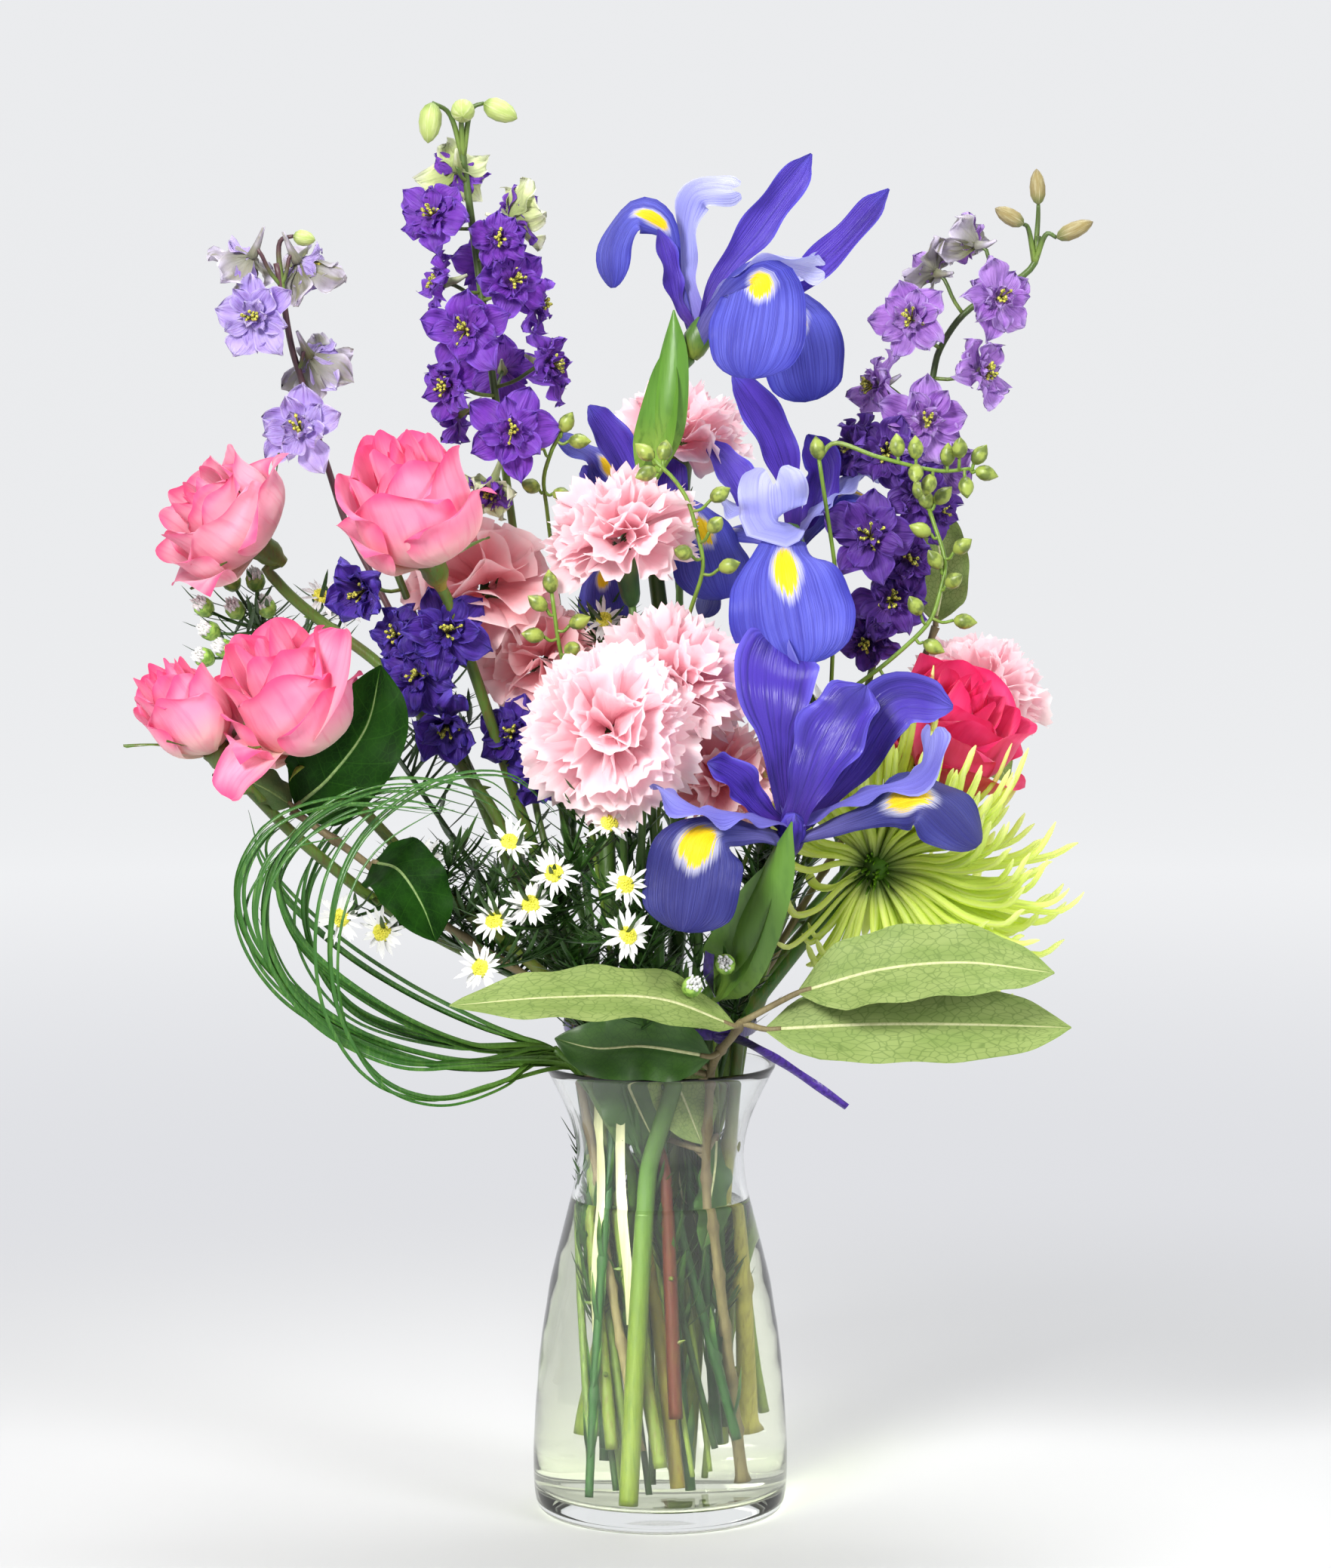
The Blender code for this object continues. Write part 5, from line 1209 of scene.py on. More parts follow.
@dataclass(frozen=True)
class Rose:
    """A rose: a furled heart, rings of cupped petals, loose petals, sepals, hip and stem."""

    head: Head
    petal: Material
    green: Material
    slot: str
    openness: float = 1.0
    rings: Sequence[Ring] = ROSE_RINGS
    loose: Sequence[tuple[float, Point, Sequence[Point]]] = ()
    sepals: int = 5
    sepal_length: float = 27.0
    sepal_width: float = 7.5
    sepal_lift: tuple[float, float] = (-0.25, 1.0)
    thorn_gap: int = 9
    thorn_length: float = 3.2
    stem_radius: float = 2.9
    fineness: int = 17

    def _petal(self, surface: Surface, turn: float, ring: Ring, draw: np.random.Generator) -> None:
        """Adds one cupped petal of a ring.

        Args:
            surface: What it is added to.
            turn: Where it stands round the flower, in radians.
            ring: The ring that it belongs to.
            draw: Random numbers.
        """
        seed = float(draw.uniform())
        up = np.linspace(0, 1, self.fineness)[:, None]
        across = np.linspace(-1, 1, self.fineness)[None]
        reach = self.head.radius * ring.reach
        rise = self.head.depth * ring.height * draw.uniform(0.93, 1.05)
        curl = ring.roll * self.openness * draw.uniform(0.5, 1.4)
        sides = np.abs(across) ** 2.2
        lip = np.clip((up - 0.66) / 0.34, 0, 1)
        roll = curl * (0.5 + 0.5 * sides + 0.3 * np.sin(4 * across + 9 * seed))
        flare = 2 * ring.flare * self.openness * np.clip(up - 0.5, 0, 1)
        lean = 1 + 0.10 * across + 0.05 * np.sin(3 * across + 7 * seed) * up
        distance = reach * (outline(ROSE_SIDE, up) + flare) * lean + roll * lip**1.7
        point = 0.035 * rise * np.exp(-((across / 0.25) ** 2)) * up**8
        height = rise * up * (1 - 0.17 * sides * up**2) + point
        height = height - 0.75 * roll * lip**3 + 0.8 * np.sin(5 * across + 20 * seed) * up**4
        angle = turn + ring.span * outline(ROSE_SPAN, up) * across
        grid = np.stack([distance * np.cos(angle), distance * np.sin(angle), height - 1.0], -1)
        surface.add_grid(grid @ self.head.turn().T + self.head.base, up[:, 0], across[0], seed)

    def build(self) -> None:
        """Makes the bloom and its stem."""
        draw = random_of(self.head.name)
        surface = Surface()
        for row, ring in enumerate(self.rings):
            for place in range(ring.count):
                turn = place * math.tau / ring.count + 0.9 * row + draw.uniform(-0.18, 0.18)
                self._petal(surface, turn, ring, draw)
        for width, face, route in self.loose:
            widths = [(share, width * wide) for share, wide in LOOSE_WIDTHS]
            grid, share, across = blade(route, widths, face, rows=20, columns=13, cup=0.5, ruffle=1.6,
                                        waves=1.6, phase=draw.uniform(0, 6))
            surface.add_grid(grid, share, across, draw.uniform())
        surface.piece(f"{self.head.name}_petals", self.slot, [self.petal], [self.head.name])
        self._build_stem(draw)

    def _build_stem(self, draw: np.random.Generator) -> None:
        """Makes the stem with its hip, its sepals and a few thorns.

        Args:
            draw: Random numbers.
        """
        surface = Surface()
        node = f"{self.head.name}_stem"
        path = Stem(node, self.stem_radius, self.head.point(-13.0)).add(surface)
        surface.add_turned(HIP_PROFILE, 14, self.head.base, self.head.turn(), 0.4)
        for place in range(self.sepals):
            length = self.sepal_length * draw.uniform(0.8, 1.15)
            sepal = Petal(length, self.sepal_width, SEPAL_WIDTHS, rows=12, columns=5, cup=-0.3,
                          bend=draw.uniform(-9, 6), ruffle=0.8, waves=2.0)
            turn = place * math.tau / self.sepals + 0.4
            grid = sepal.spun(draw.uniform(*self.sepal_lift), turn, draw.uniform(0, 6))
            sepal.place(surface, grid, self.head.point(-1.6), self.head.turn(), draw.uniform())
        for row in range(10, len(path) - 6, self.thorn_gap):
            root = path[row]
            out = unit((*draw.normal(size=2), 0.15))
            thorn = [root, root + out * self.stem_radius, root + out * (self.stem_radius + self.thorn_length)]
            surface.add_tube(thorn, (1.8, 1.2, 0.15), 6, 0.3)
        surface.piece(f"{node}_green", "stem_green", [self.green], [node])


CALYX_PROFILE = ((-25.0, 2.0), (-23.5, 3.4), (-20.0, 4.4), (-12.0, 5.0), (-4.0, 5.9), (1.5, 6.6),
                 (2.0, 5.6), (1.0, 0.1))
CALYX_TOOTH = Petal(9.0, 6.4, ((0.0, 1.0), (0.5, 0.62), (1.0, 0.05)), rows=5, columns=5, cup=0.4, bend=-1.5)
CALYX_MOUTH = 5.2
JOINT_LEAF_WIDTHS = ((0, 3.4), (0.5, 3.2), (1, 0.2))


@dataclass(frozen=True)
class Carnation:
    """A carnation: a dome of ruffled fans with pinked edges, in a long calyx on its stem."""

    head: Head
    petal: Material
    green: Material
    count: int = 34
    teeth: int = 11
    fringe: float = 3.0
    fullness: float = 1.0
    dome_angle: float = 108.0
    fan_rows: int = 9
    stem_radius: float = 2.0
    joint_gap: float = 58.0

    def _fan(self, surface: Surface, direction: Array, spin: float, length: float, half: float,
             wave: float, curl: float, seed: float) -> None:
        """Adds one fan.

        Args:
            surface: What it is added to.
            direction: The way it points, in the flower's own axes.
            spin: A turn about its own length.
            length: Its length.
            half: Half the angle that it spreads over.
            wave: Height of its ruffles.
            curl: How far its edge bends down.
            seed: A number of its own.
        """
        up = np.linspace(0, 1, self.fan_rows)[:, None]
        across = np.linspace(-1, 1, 4 * self.teeth + 1)[None]
        level = unit(np.cross((0.0, 0.0, 1.0), direction) + NUDGE)
        over = np.cross(direction, level)
        side = math.cos(spin) * level + math.sin(spin) * over
        normal = np.cross(direction, side)
        angle = across * half * (0.2 + 0.8 * np.clip(up / 0.5, 0, 1))
        tooth = np.abs((across * self.teeth + self.teeth) % 2 - 1)
        deep = 1 + 0.6 * np.sin(across * 5.3 + 17 * seed)
        reach = length * (0.12 + 0.88 * up) + (0.5 - tooth) * self.fringe * deep * (up**14)
        reach = reach * (1 + 0.06 * np.sin(3.1 * across + 11 * seed) * up)
        swing = np.sin(across * math.pi * 1.9 + 6.3 * seed + 1.4 * up)
        off = wave * up**1.5 * swing + 0.28 * wave * up**3 * np.sin(across * 13 + 31 * seed)
        outward, sideways = reach * np.cos(angle), reach * np.sin(angle)
        grid = direction * outward[..., None] + side * sideways[..., None] + normal * off[..., None]
        down = unit(direction * (1, 1, 0) + NUDGE) - (0, 0, 0.8)
        grid = grid + down * (curl * up**3)[..., None]
        grid = grid + np.array((0.0, 0.0, 5.0 + 2.0 * direction[2]))
        surface.add_grid(grid @ self.head.turn().T + self.head.base, up[:, 0], across[0], seed)

    def build(self) -> None:
        """Makes the bloom and its stem."""
        draw = random_of(self.head.name)
        surface = Surface()
        for place in range(self.count):
            share = (place + 0.5) / self.count
            tilt = math.acos(1 - share * (1 - math.cos(math.radians(self.dome_angle))))
            turn = place * GOLDEN_ANGLE + draw.uniform(-0.25, 0.25)
            out = math.sin(tilt)
            direction = out * level_way(turn) + (0.0, 0.0, math.cos(tilt))
            full = self.head.radius * out**0.7 + self.head.depth * 0.88 * (1 - out**0.7)
            length = full * draw.uniform(0.86, 1.04) * (0.93 if tilt > 1.75 else 1.0)
            spin = draw.uniform(-1, 1) * (1.3 - 0.7 * out)
            self._fan(surface, direction, spin, length, draw.uniform(0.66, 0.98) * self.fullness,
                      draw.uniform(3.2, 6.4), draw.uniform(-1.0, 4.0) * out, draw.uniform())
        surface.piece(f"{self.head.name}_petals", "carnation_petal", [self.petal], [self.head.name])
        self._build_stem(draw)

    def _build_stem(self, draw: np.random.Generator) -> None:
        """Makes the stem with its joints, its calyx and the calyx's teeth.

        Args:
            draw: Random numbers.
        """
        surface = Surface()
        node = f"{self.head.name}_stem"
        seed = float(draw.uniform())
        stem = Stem(node, self.stem_radius, self.head.point(-24.0), joints=self.joint_gap)
        path = stem.add(surface, seed=seed)
        surface.add_turned(CALYX_PROFILE, 14, self.head.base, self.head.turn(), 0.4)
        for turn in np.arange(5) * math.tau / 5:
            grid = CALYX_TOOTH.spun(1.25, turn) + CALYX_MOUTH * level_way(turn) + (0.0, 0.0, 0.5)
            CALYX_TOOTH.place(surface, grid, self.head.base, self.head.turn(), 0.5)
        past_joint = (runs(path) / self.joint_gap + seed) % 1.0 > 0.5
        for row in np.flatnonzero(np.diff(past_joint)):
            root = path[row]
            if root[2] > path[-1][2] - 12:
                continue
            out = unit((*draw.normal(size=2), 0.0))
            reach = 15 if root[2] > MOUTH_HEIGHT else 4
            for way in (-out, out):
                route = [root, root + way * 3 + (0, 0, 12), root + way * reach + (0, 0, 26)]
                face = (-way[0], -way[1], 0.4)
                grid, share, across = blade(route, JOINT_LEAF_WIDTHS, face, rows=8, columns=5, cup=0.4)
                surface.add_grid(grid, share, across, 0.4)
        surface.piece(f"{node}_green", "stem_green", [self.green], [node])


class IrisPetal(IntEnum):
    """The three kinds of petal of an iris, in the order of their finishes."""

    FALL = 0
    STANDARD = 1
    STYLE = 2


IRIS_GREEN = 3
IRIS_WIDTHS = {
    IrisPetal.FALL: ((0.0, 8), (0.30, 14), (0.46, 21), (0.56, 34), (0.66, 43), (0.78, 47), (0.89, 42),
                     (0.97, 26), (1.0, 7)),
    IrisPetal.STANDARD: ((0.0, 6), (0.3, 11), (0.62, 20), (0.85, 17), (0.95, 9), (1.0, 1.5)),
    IrisPetal.STYLE: ((0.0, 6), (0.35, 11), (0.6, 16), (0.8, 20), (0.93, 17), (1.0, 9)),
}
IRIS_ROOT = {IrisPetal.FALL: 5.0, IrisPetal.STANDARD: 9.0, IrisPetal.STYLE: 13.0}
IRIS_CUP = {IrisPetal.FALL: -0.16, IrisPetal.STANDARD: 0.36, IrisPetal.STYLE: -0.34}
IRIS_RUFFLE = {IrisPetal.FALL: 2.6, IrisPetal.STANDARD: 2.2, IrisPetal.STYLE: 3.4}
IRIS_NOTCH = {IrisPetal.FALL: 0.0, IrisPetal.STANDARD: 0.0, IrisPetal.STYLE: 5.0}
THROAT_PROFILE = ((-0.5, 4.2), (3.0, 5.8), (8.0, 6.4), (13.0, 5.6), (17.0, 4.4), (19.0, 0.1))


@dataclass(frozen=True)
class IrisBlade:
    """One petal of an iris: its kind, its size, the way it faces and its route from the throat.

    A petal whose finish is that of another kind says so with shown.
    """

    kind: IrisPetal
    size: float
    face: Point
    route: Sequence[Point]
    shown: IrisPetal | None = None


@dataclass(frozen=True)
class Iris:
    """An iris: falls with a yellow blotch, standards, frilled style arms, and its stem."""

    head: Head
    blades: Sequence[IrisBlade]
    finishes: Sequence[Material]
    green: Material
    leaf: Material
    sheath: Sequence[Point] = ()
    sheath_width: float = 15.0
    sheath_face: Point = (-0.3, -0.9, 0.1)
    stem_radius: float = 4.2
    throat_finish: int = IRIS_GREEN

    def build(self) -> None:
        """Makes the bloom and its stem."""
        draw = random_of(self.head.name)
        surface = Surface()
        for petal in self.blades:
            kind, size = petal.kind, petal.size
            route = [self.head.point(IRIS_ROOT[kind]), *petal.route]
            widths = [(share, size * width) for share, width in IRIS_WIDTHS[kind]]
            grid, share, across = blade(
                route, widths, petal.face, rows=34, columns=19, cup=IRIS_CUP[kind],
                ruffle=IRIS_RUFFLE[kind] * size, waves=3.4, phase=draw.uniform(0, 6),
                notch=IRIS_NOTCH[kind] * size,
            )
            finish = kind if petal.shown is None else petal.shown
            surface.add_grid(grid, share, across, draw.uniform(), finish)
        surface.add_turned(THROAT_PROFILE, 12, self.head.base, self.head.turn(), 0.5, self.throat_finish)
        finishes = [*self.finishes, self.green]
        surface.piece(f"{self.head.name}_petals", "iris_petal", finishes, [self.head.name])
        self._build_stem()

    def _build_stem(self) -> None:
        """Makes the stem with its sheath leaf."""
        surface = Surface()
        node = f"{self.head.name}_stem"
        path = Stem(node, self.stem_radius, self.head.point(-1.0), 14).add(surface)
        if self.sheath:
            start = nearest(path, self.sheath[0])
            width = self.sheath_width
            widths = ((0, 9), (0.35, width), (0.7, 0.75 * width), (1, 0.8))
            for side, length in ((1.0, 1.0), (-1.0, 0.8)):
                face = np.array(self.sheath_face) * side
                route = [start] + [start + (np.array(point) - start) * length for point in self.sheath[1:]]
                grid, share, across = blade(route, widths, tuple(face), rows=16, columns=9, cup=-0.55)
                surface.add_grid(grid, share, across, 0.5, 1)
        surface.piece(f"{node}_green", "stem_green", [self.green, self.leaf], [node])


HEART_FINISH = 1
CORE_PROFILE = ((0.0, 4.0), (2.0, 6.0), (5.0, 7.0), (8.0, 6.0), (11.0, 4.0), (13.0, 0.1))


@dataclass(frozen=True)
class Chrysanthemum:
    """A chrysanthemum of long hooked quills round a dark green heart."""

    head: Head
    quill: Material
    green: Material
    dark: Material
    rings: Sequence[tuple[int, float, float]] = (
        (18, -0.42, 66.0), (26, -0.12, 78.0), (30, 0.14, 84.0), (30, 0.40, 87.0), (27, 0.64, 87.0),
        (22, 0.88, 84.0), (17, 1.10, 80.0), (10, 1.34, 76.0),
    )
    strays: int = 12
    stem_radius: float = 3.0
    joint_gap: float = 70.0
    heart: Point = (-0.16, -0.95, -0.10)
    heart_opening: float = 0.16
    young: int = 30

    def _opened(self, way: Array) -> Array:
        """Turns a quill that would cover the heart aside, so that it runs out from it.

        Args:
            way: The way the quill would leave the heart.

        Returns:
            The way it leaves it.
        """
        heart = unit(self.heart)
        forward = float(way @ heart)
        if forward <= self.heart_opening:
            return way
        held = self.heart_opening + 0.3 * (forward - self.heart_opening)
        return unit(way - forward * heart) * math.sqrt(1.0 - held ** 2) + heart * held

    def _young_quills(self, surface: Surface, draw: np.random.Generator) -> None:
        """Adds the short green quills that curl inwards in the heart.

        Args:
            surface: What they are added to.
            draw: Random numbers.
        """
        heart = unit(self.heart)
        for _ in range(self.young):
            out = unit(draw.normal(size=3))
            out = unit(out - (out @ heart) * heart)
            open_by = draw.uniform(0.1, 1.0)
            root = self.head.point(4.0) + out * 3.5 * open_by
            length = draw.uniform(6.0, 12.0)
            way = unit(heart + out * 1.5 * open_by)
            route = [root, root + way * length * 0.6, root + way * length + heart * 2.0 - out * 1.5]
            radii = np.interp(np.linspace(0, 1, 8), (0, 0.5, 1), (1.0, 1.3, 0.4))
            surface.add_tube(smooth(route, 8), radii, 6, draw.uniform(), HEART_FINISH, flat=0.6)

    def _quill(self, surface: Surface, along: Array, length: float, draw: np.random.Generator) -> None:
        """Adds one quill, which sags and then curves up at its tip.

        Args:
            surface: What it is added to.
            along: The way it leaves the heart, in the flower's own axes.
            length: Its length.
            draw: Random numbers.
        """
        way = self._opened(along @ self.head.turn().T)
        length = length * (0.90 + 0.16 * way[0] + 0.38 * min(way[1], 0.0))
        side = unit(np.cross(way, (0.0, 0.0, 1.0)) + NUDGE) * draw.normal()
        sag = np.array((0.0, 0.0, -1.0)) * draw.uniform(3.0, 10.0)
        lift = np.array((0.0, 0.0, 1.0)) * draw.uniform(0.5, 4.0)
        root = self.head.point(4.0) + way * 3
        route = [
            root,
            root + way * length * 0.3 + sag * 0.2,
            root + way * length * 0.65 + sag + side * 2.5,
            root + way * length * 0.9 + sag * 0.7 + side * 4.5,
            root + way * length + lift + side * 5.0,
            root + way * length * 1.03 + lift * 2.0 + side * 5.0,
        ]
        radii = np.interp(np.linspace(0, 1, 18), (0, 0.15, 0.6, 0.88, 1), (1.1, 2.2, 3.3, 2.3, 0.6))
        radii = radii * draw.uniform(0.8, 1.15)
        surface.add_tube(smooth(route, 18), radii, 6, draw.uniform(), flat=0.5)

    def build(self) -> None:
        """Makes the bloom and its stem."""
        draw = random_of(self.head.name)
        surface = Surface()
        turn_to = self.head.turn()
        for ring, (count, rise, reach) in enumerate(self.rings):
            for place in range(count):
                turn = (place + 0.5 * (ring % 2)) * math.tau / count + draw.uniform(-0.1, 0.1)
                lift = rise + draw.uniform(-0.14, 0.14)
                along = level_way(turn) * math.cos(lift) + (0.0, 0.0, math.sin(lift))
                self._quill(surface, along, reach * draw.uniform(0.76, 1.04), draw)
        for _ in range(self.strays):
            hang = unit(np.array((-0.45, -0.55, -0.75)) + draw.normal(size=3) * (0.3, 0.3, 0.1))
            self._quill(surface, hang @ turn_to, draw.uniform(48, 74), draw)
        surface.add_turned(CORE_PROFILE, 16, self.head.base, turn_to, 0.5, HEART_FINISH)
        self._young_quills(surface, draw)
        surface.piece(f"{self.head.name}_quills", "lime_quill", [self.quill, self.dark], [self.head.name])
        stem = Surface()
        node = f"{self.head.name}_stem"
        Stem(node, self.stem_radius, self.head.point(0.5), joints=self.joint_gap).add(stem)
        stem.piece(f"{node}_green", "stem_green", [self.green], [node])


class Opening(Enum):
    """How a larkspur floret looks: open, half closed, or open in the deeper colour."""

    OPEN = "open"
    CLOSED = "closed"
    DEEP = "deep"


class SpikePart(IntEnum):
    """The finishes of a larkspur spike, in their order."""

    PETAL = 0
    STEM = 1
    STAMEN = 2
    BUD = 3
    BACK = 4
    DEEP = 5


@dataclass(frozen=True)
class Floret:
    """A larkspur floret: where it is, the way it faces, its radius and how it looks."""

    centre: Point
    axis: Point
    radius: float
    opening: Opening = Opening.OPEN


BUD_PROFILE = ((0.0, 0.2), (0.3, 0.62), (0.9, 0.95), (1.5, 1.0), (2.1, 0.78), (2.6, 0.4), (3.0, 0.04))


def add_bud(surface: Surface, root: Array, centre: Array, size: float, finish: int, stalk: int) -> None:
    """Adds an oval bud with a pointed tip on a fine stalk.

    Args:
        surface: What it is added to.
        root: Where the stalk leaves its stem.
        centre: The bud's middle.
        size: The bud's radius.
        finish: The bud's finish.
        stalk: The stalk's finish.
    """
    along = unit(centre - root)
    foot = centre - along * size * 1.4
    middle = (root + foot) / 2 + (0, 0, -1.5)
    surface.add_tube(smooth([root, middle, foot], 7), 0.75, 6, 0.5, stalk)
    shaped = [(size * height, size * radius) for height, radius in BUD_PROFILE]
    surface.add_turned(shaped, 10, foot, facing(along), 0.5, finish)


@dataclass(frozen=True)
class TipBud:
    """A bud at a spike's tip: the bend of its stalk and its two ends, from the tip, and its radius."""

    bend: Point
    foot: Point
    end: Point
    radius: float


TIP_BUD_PROFILE = ((0.0, 0.15), (0.08, 0.6), (0.25, 0.95), (0.5, 1.0), (0.75, 0.8), (0.92, 0.4),
                   (1.0, 0.03))
LOBE_WIDTHS = ((0.0, 0.18), (0.3, 0.62), (0.58, 1.0), (0.78, 0.86), (0.92, 0.46), (1.0, 0.06))


@dataclass(frozen=True)
class Larkspur:
    """A spike of ruffled double florets, with buds at its tip."""

    name: str
    radius: float
    top: Point
    florets: Sequence[Floret]
    finishes: Sequence[Material]
    buds: Sequence[TipBud] = ()
    stamens: int = 11
    shut_by: float = 0.5

    def build(self) -> None:
        """Makes the spike."""
        draw = random_of(self.name)
        surface = Surface()
        path = Stem(self.name, self.radius, np.array(self.top)).add(surface, SpikePart.STEM)
        for floret in self.florets:
            self._floret(surface, path, floret, draw)
        for bud in self.buds:
            self._tip_bud(surface, path, bud)
        surface.piece(f"{self.name}_spike", "larkspur_petal", self.finishes, [self.name])

    def _tip_bud(self, surface: Surface, path: Array, bud: TipBud) -> None:
        """Adds a large oval bud that hangs from an arching stalk.

        Args:
            surface: What it is added to.
            path: The spike's stem.
            bud: The bud.
        """
        bend, foot, end = (path[-1] + point for point in (bud.bend, bud.foot, bud.end))
        stalk = smooth([path[-4], bend, foot], 12)
        surface.add_tube(stalk, np.linspace(1.5, 0.9, 12), 7, 0.4, SpikePart.STEM)
        length = np.linalg.norm(end - foot)
        shaped = [(length * height, bud.radius * wide) for height, wide in TIP_BUD_PROFILE]
        surface.add_turned(shaped, 14, foot, facing(end - foot), 0.5, SpikePart.BUD)

    def _floret(self, surface: Surface, path: Array, floret: Floret, draw: np.random.Generator) -> None:
        """Adds one floret with its spur, its stalk and its stamens.

        Args:
            surface: What it is added to.
            path: The spike's stem.
            floret: The floret.
            draw: Random numbers.
        """
        axis = unit(floret.axis)
        centre, radius = np.array(floret.centre, float), floret.radius
        turn_to = facing(axis, draw.uniform(0, 1.2))
        seed = float(draw.uniform())
        closed = floret.opening is Opening.CLOSED
        shut = self.shut_by if closed else 0.0
        front = SpikePart.DEEP if floret.opening is Opening.DEEP else SpikePart.PETAL
        layers = ((5, 1.16, 0.84, -0.25 + shut, 0.35 + shut), (5, 0.90, 0.60, 0.0 + shut, 0.6 + shut),
                  (6, 0.58, 0.36, 0.45, 1.05))
        for layer, (count, long, wide, low, high) in enumerate(layers):
            for place in range(count):
                length = radius * long * draw.uniform(0.86, 1.06)
                width = radius * wide * draw.uniform(0.85, 1.15)
                petal = Petal(length, width, LOBE_WIDTHS, rows=13, columns=11, cup=draw.uniform(-0.3, 0.5),
                              bend=draw.uniform(-3.5, 3.0) * long, ruffle=2.8 * long, waves=3.4,
                              crumple=1.5 * long)
                turn = (place + 0.45 * layer) * math.tau / count + draw.uniform(-0.2, 0.2)
                grid = petal.spun(draw.uniform(low, high), turn, draw.uniform(0, 6))
                finish = SpikePart.BACK if closed and layer == 0 else front
                petal.place(surface, grid, centre - axis, turn_to, draw.uniform(), finish)
        for _ in range(self.stamens):
            lean = unit(axis + draw.normal(size=3) * 0.34)
            tip = centre + lean * radius * draw.uniform(0.32, 0.46)
            stamen = [centre, tip - lean, tip, tip + lean * 0.9]
            surface.add_tube(stamen, (0.35, 0.4, 0.95, 0.3), 5, seed, SpikePart.STAMEN)
        back = centre - axis
        stop = centre - axis * 6
        root = nearest(path[:-2], stop - (0, 0, 6.0))
        stalk = smooth([root, (root + stop) / 2 + (0, 0, -1.5), stop, back], 8)
        surface.add_tube(stalk, 0.95, 6, seed, SpikePart.STEM)
        spur = smooth([back, stop + (0, 0, 2), centre - axis * 12 + (0, 0, 6)], 7)
        surface.add_tube(spur, np.linspace(2.6, 0.7, 7), 7, seed, SpikePart.BACK)


class SprayPart(IntEnum):
    """The finishes of a bud spray, in their order."""

    STALK = 0
    BUD = 1


@dataclass(frozen=True)
class BudSpray:
    """A fine stem with oval buds on side stalks."""

    name: str
    top: Point
    buds: Sequence[Point]
    finishes: Sequence[Material]
    branches: Sequence[Sequence[Point]] = ()
    radius: float = 1.1
    bud_radius: float = 3.5

    def build(self) -> None:
        """Makes the spray."""
        surface = Surface()
        path = Stem(self.name, self.radius, np.array(self.top), 8).add(surface)
        lines = [path]
        for branch in self.branches:
            line = smooth([nearest(path, branch[0]), *branch[1:]], 24)
            surface.add_tube(line, np.linspace(1.1, 0.8, 24), 8, 0.5)
            lines.append(line)
        fine = np.vstack(lines)
        onward = unit(path[-1] - path[-3])
        pairs = [(nearest(fine, np.array(bud) - (0, 0, 5.0)), np.array(bud)) for bud in self.buds]
        for root, centre in [*pairs, (path[-1] - onward * 2, path[-1] + onward * 5)]:
            add_bud(surface, root, centre, self.bud_radius, SprayPart.BUD, SprayPart.STALK)
        surface.piece(f"{self.name}_spray", "stem_green", self.finishes, [self.name])


class AsterPart(IntEnum):
    """The finishes of an aster spray, in their order."""

    RAY = 0
    DOME = 1
    GREEN = 2
    CUP = 3


CLOSED_CUP_PROFILE = ((-7.0, 0.8), (-6.0, 3.0), (-3.0, 4.4), (0.5, 4.3), (2.0, 3.4), (2.1, 0.1))
DAISY_CUP_PROFILE = ((-4.5, 0.8), (-3.5, 2.6), (-1.5, 4.0), (0.6, 4.5), (0.7, 0.1))
DOME_PROFILE = ((0.0, 4.2), (1.2, 4.3), (2.4, 3.5), (3.2, 2.0), (3.5, 0.1))
RAY_WIDTHS = ((0.0, 0.5), (0.4, 0.95), (0.8, 1.0), (0.95, 0.7), (1.0, 0.2))
NEEDLE_WIDTHS = ((0, 0.9), (0.4, 2.3), (0.75, 1.7), (1, 0.1))


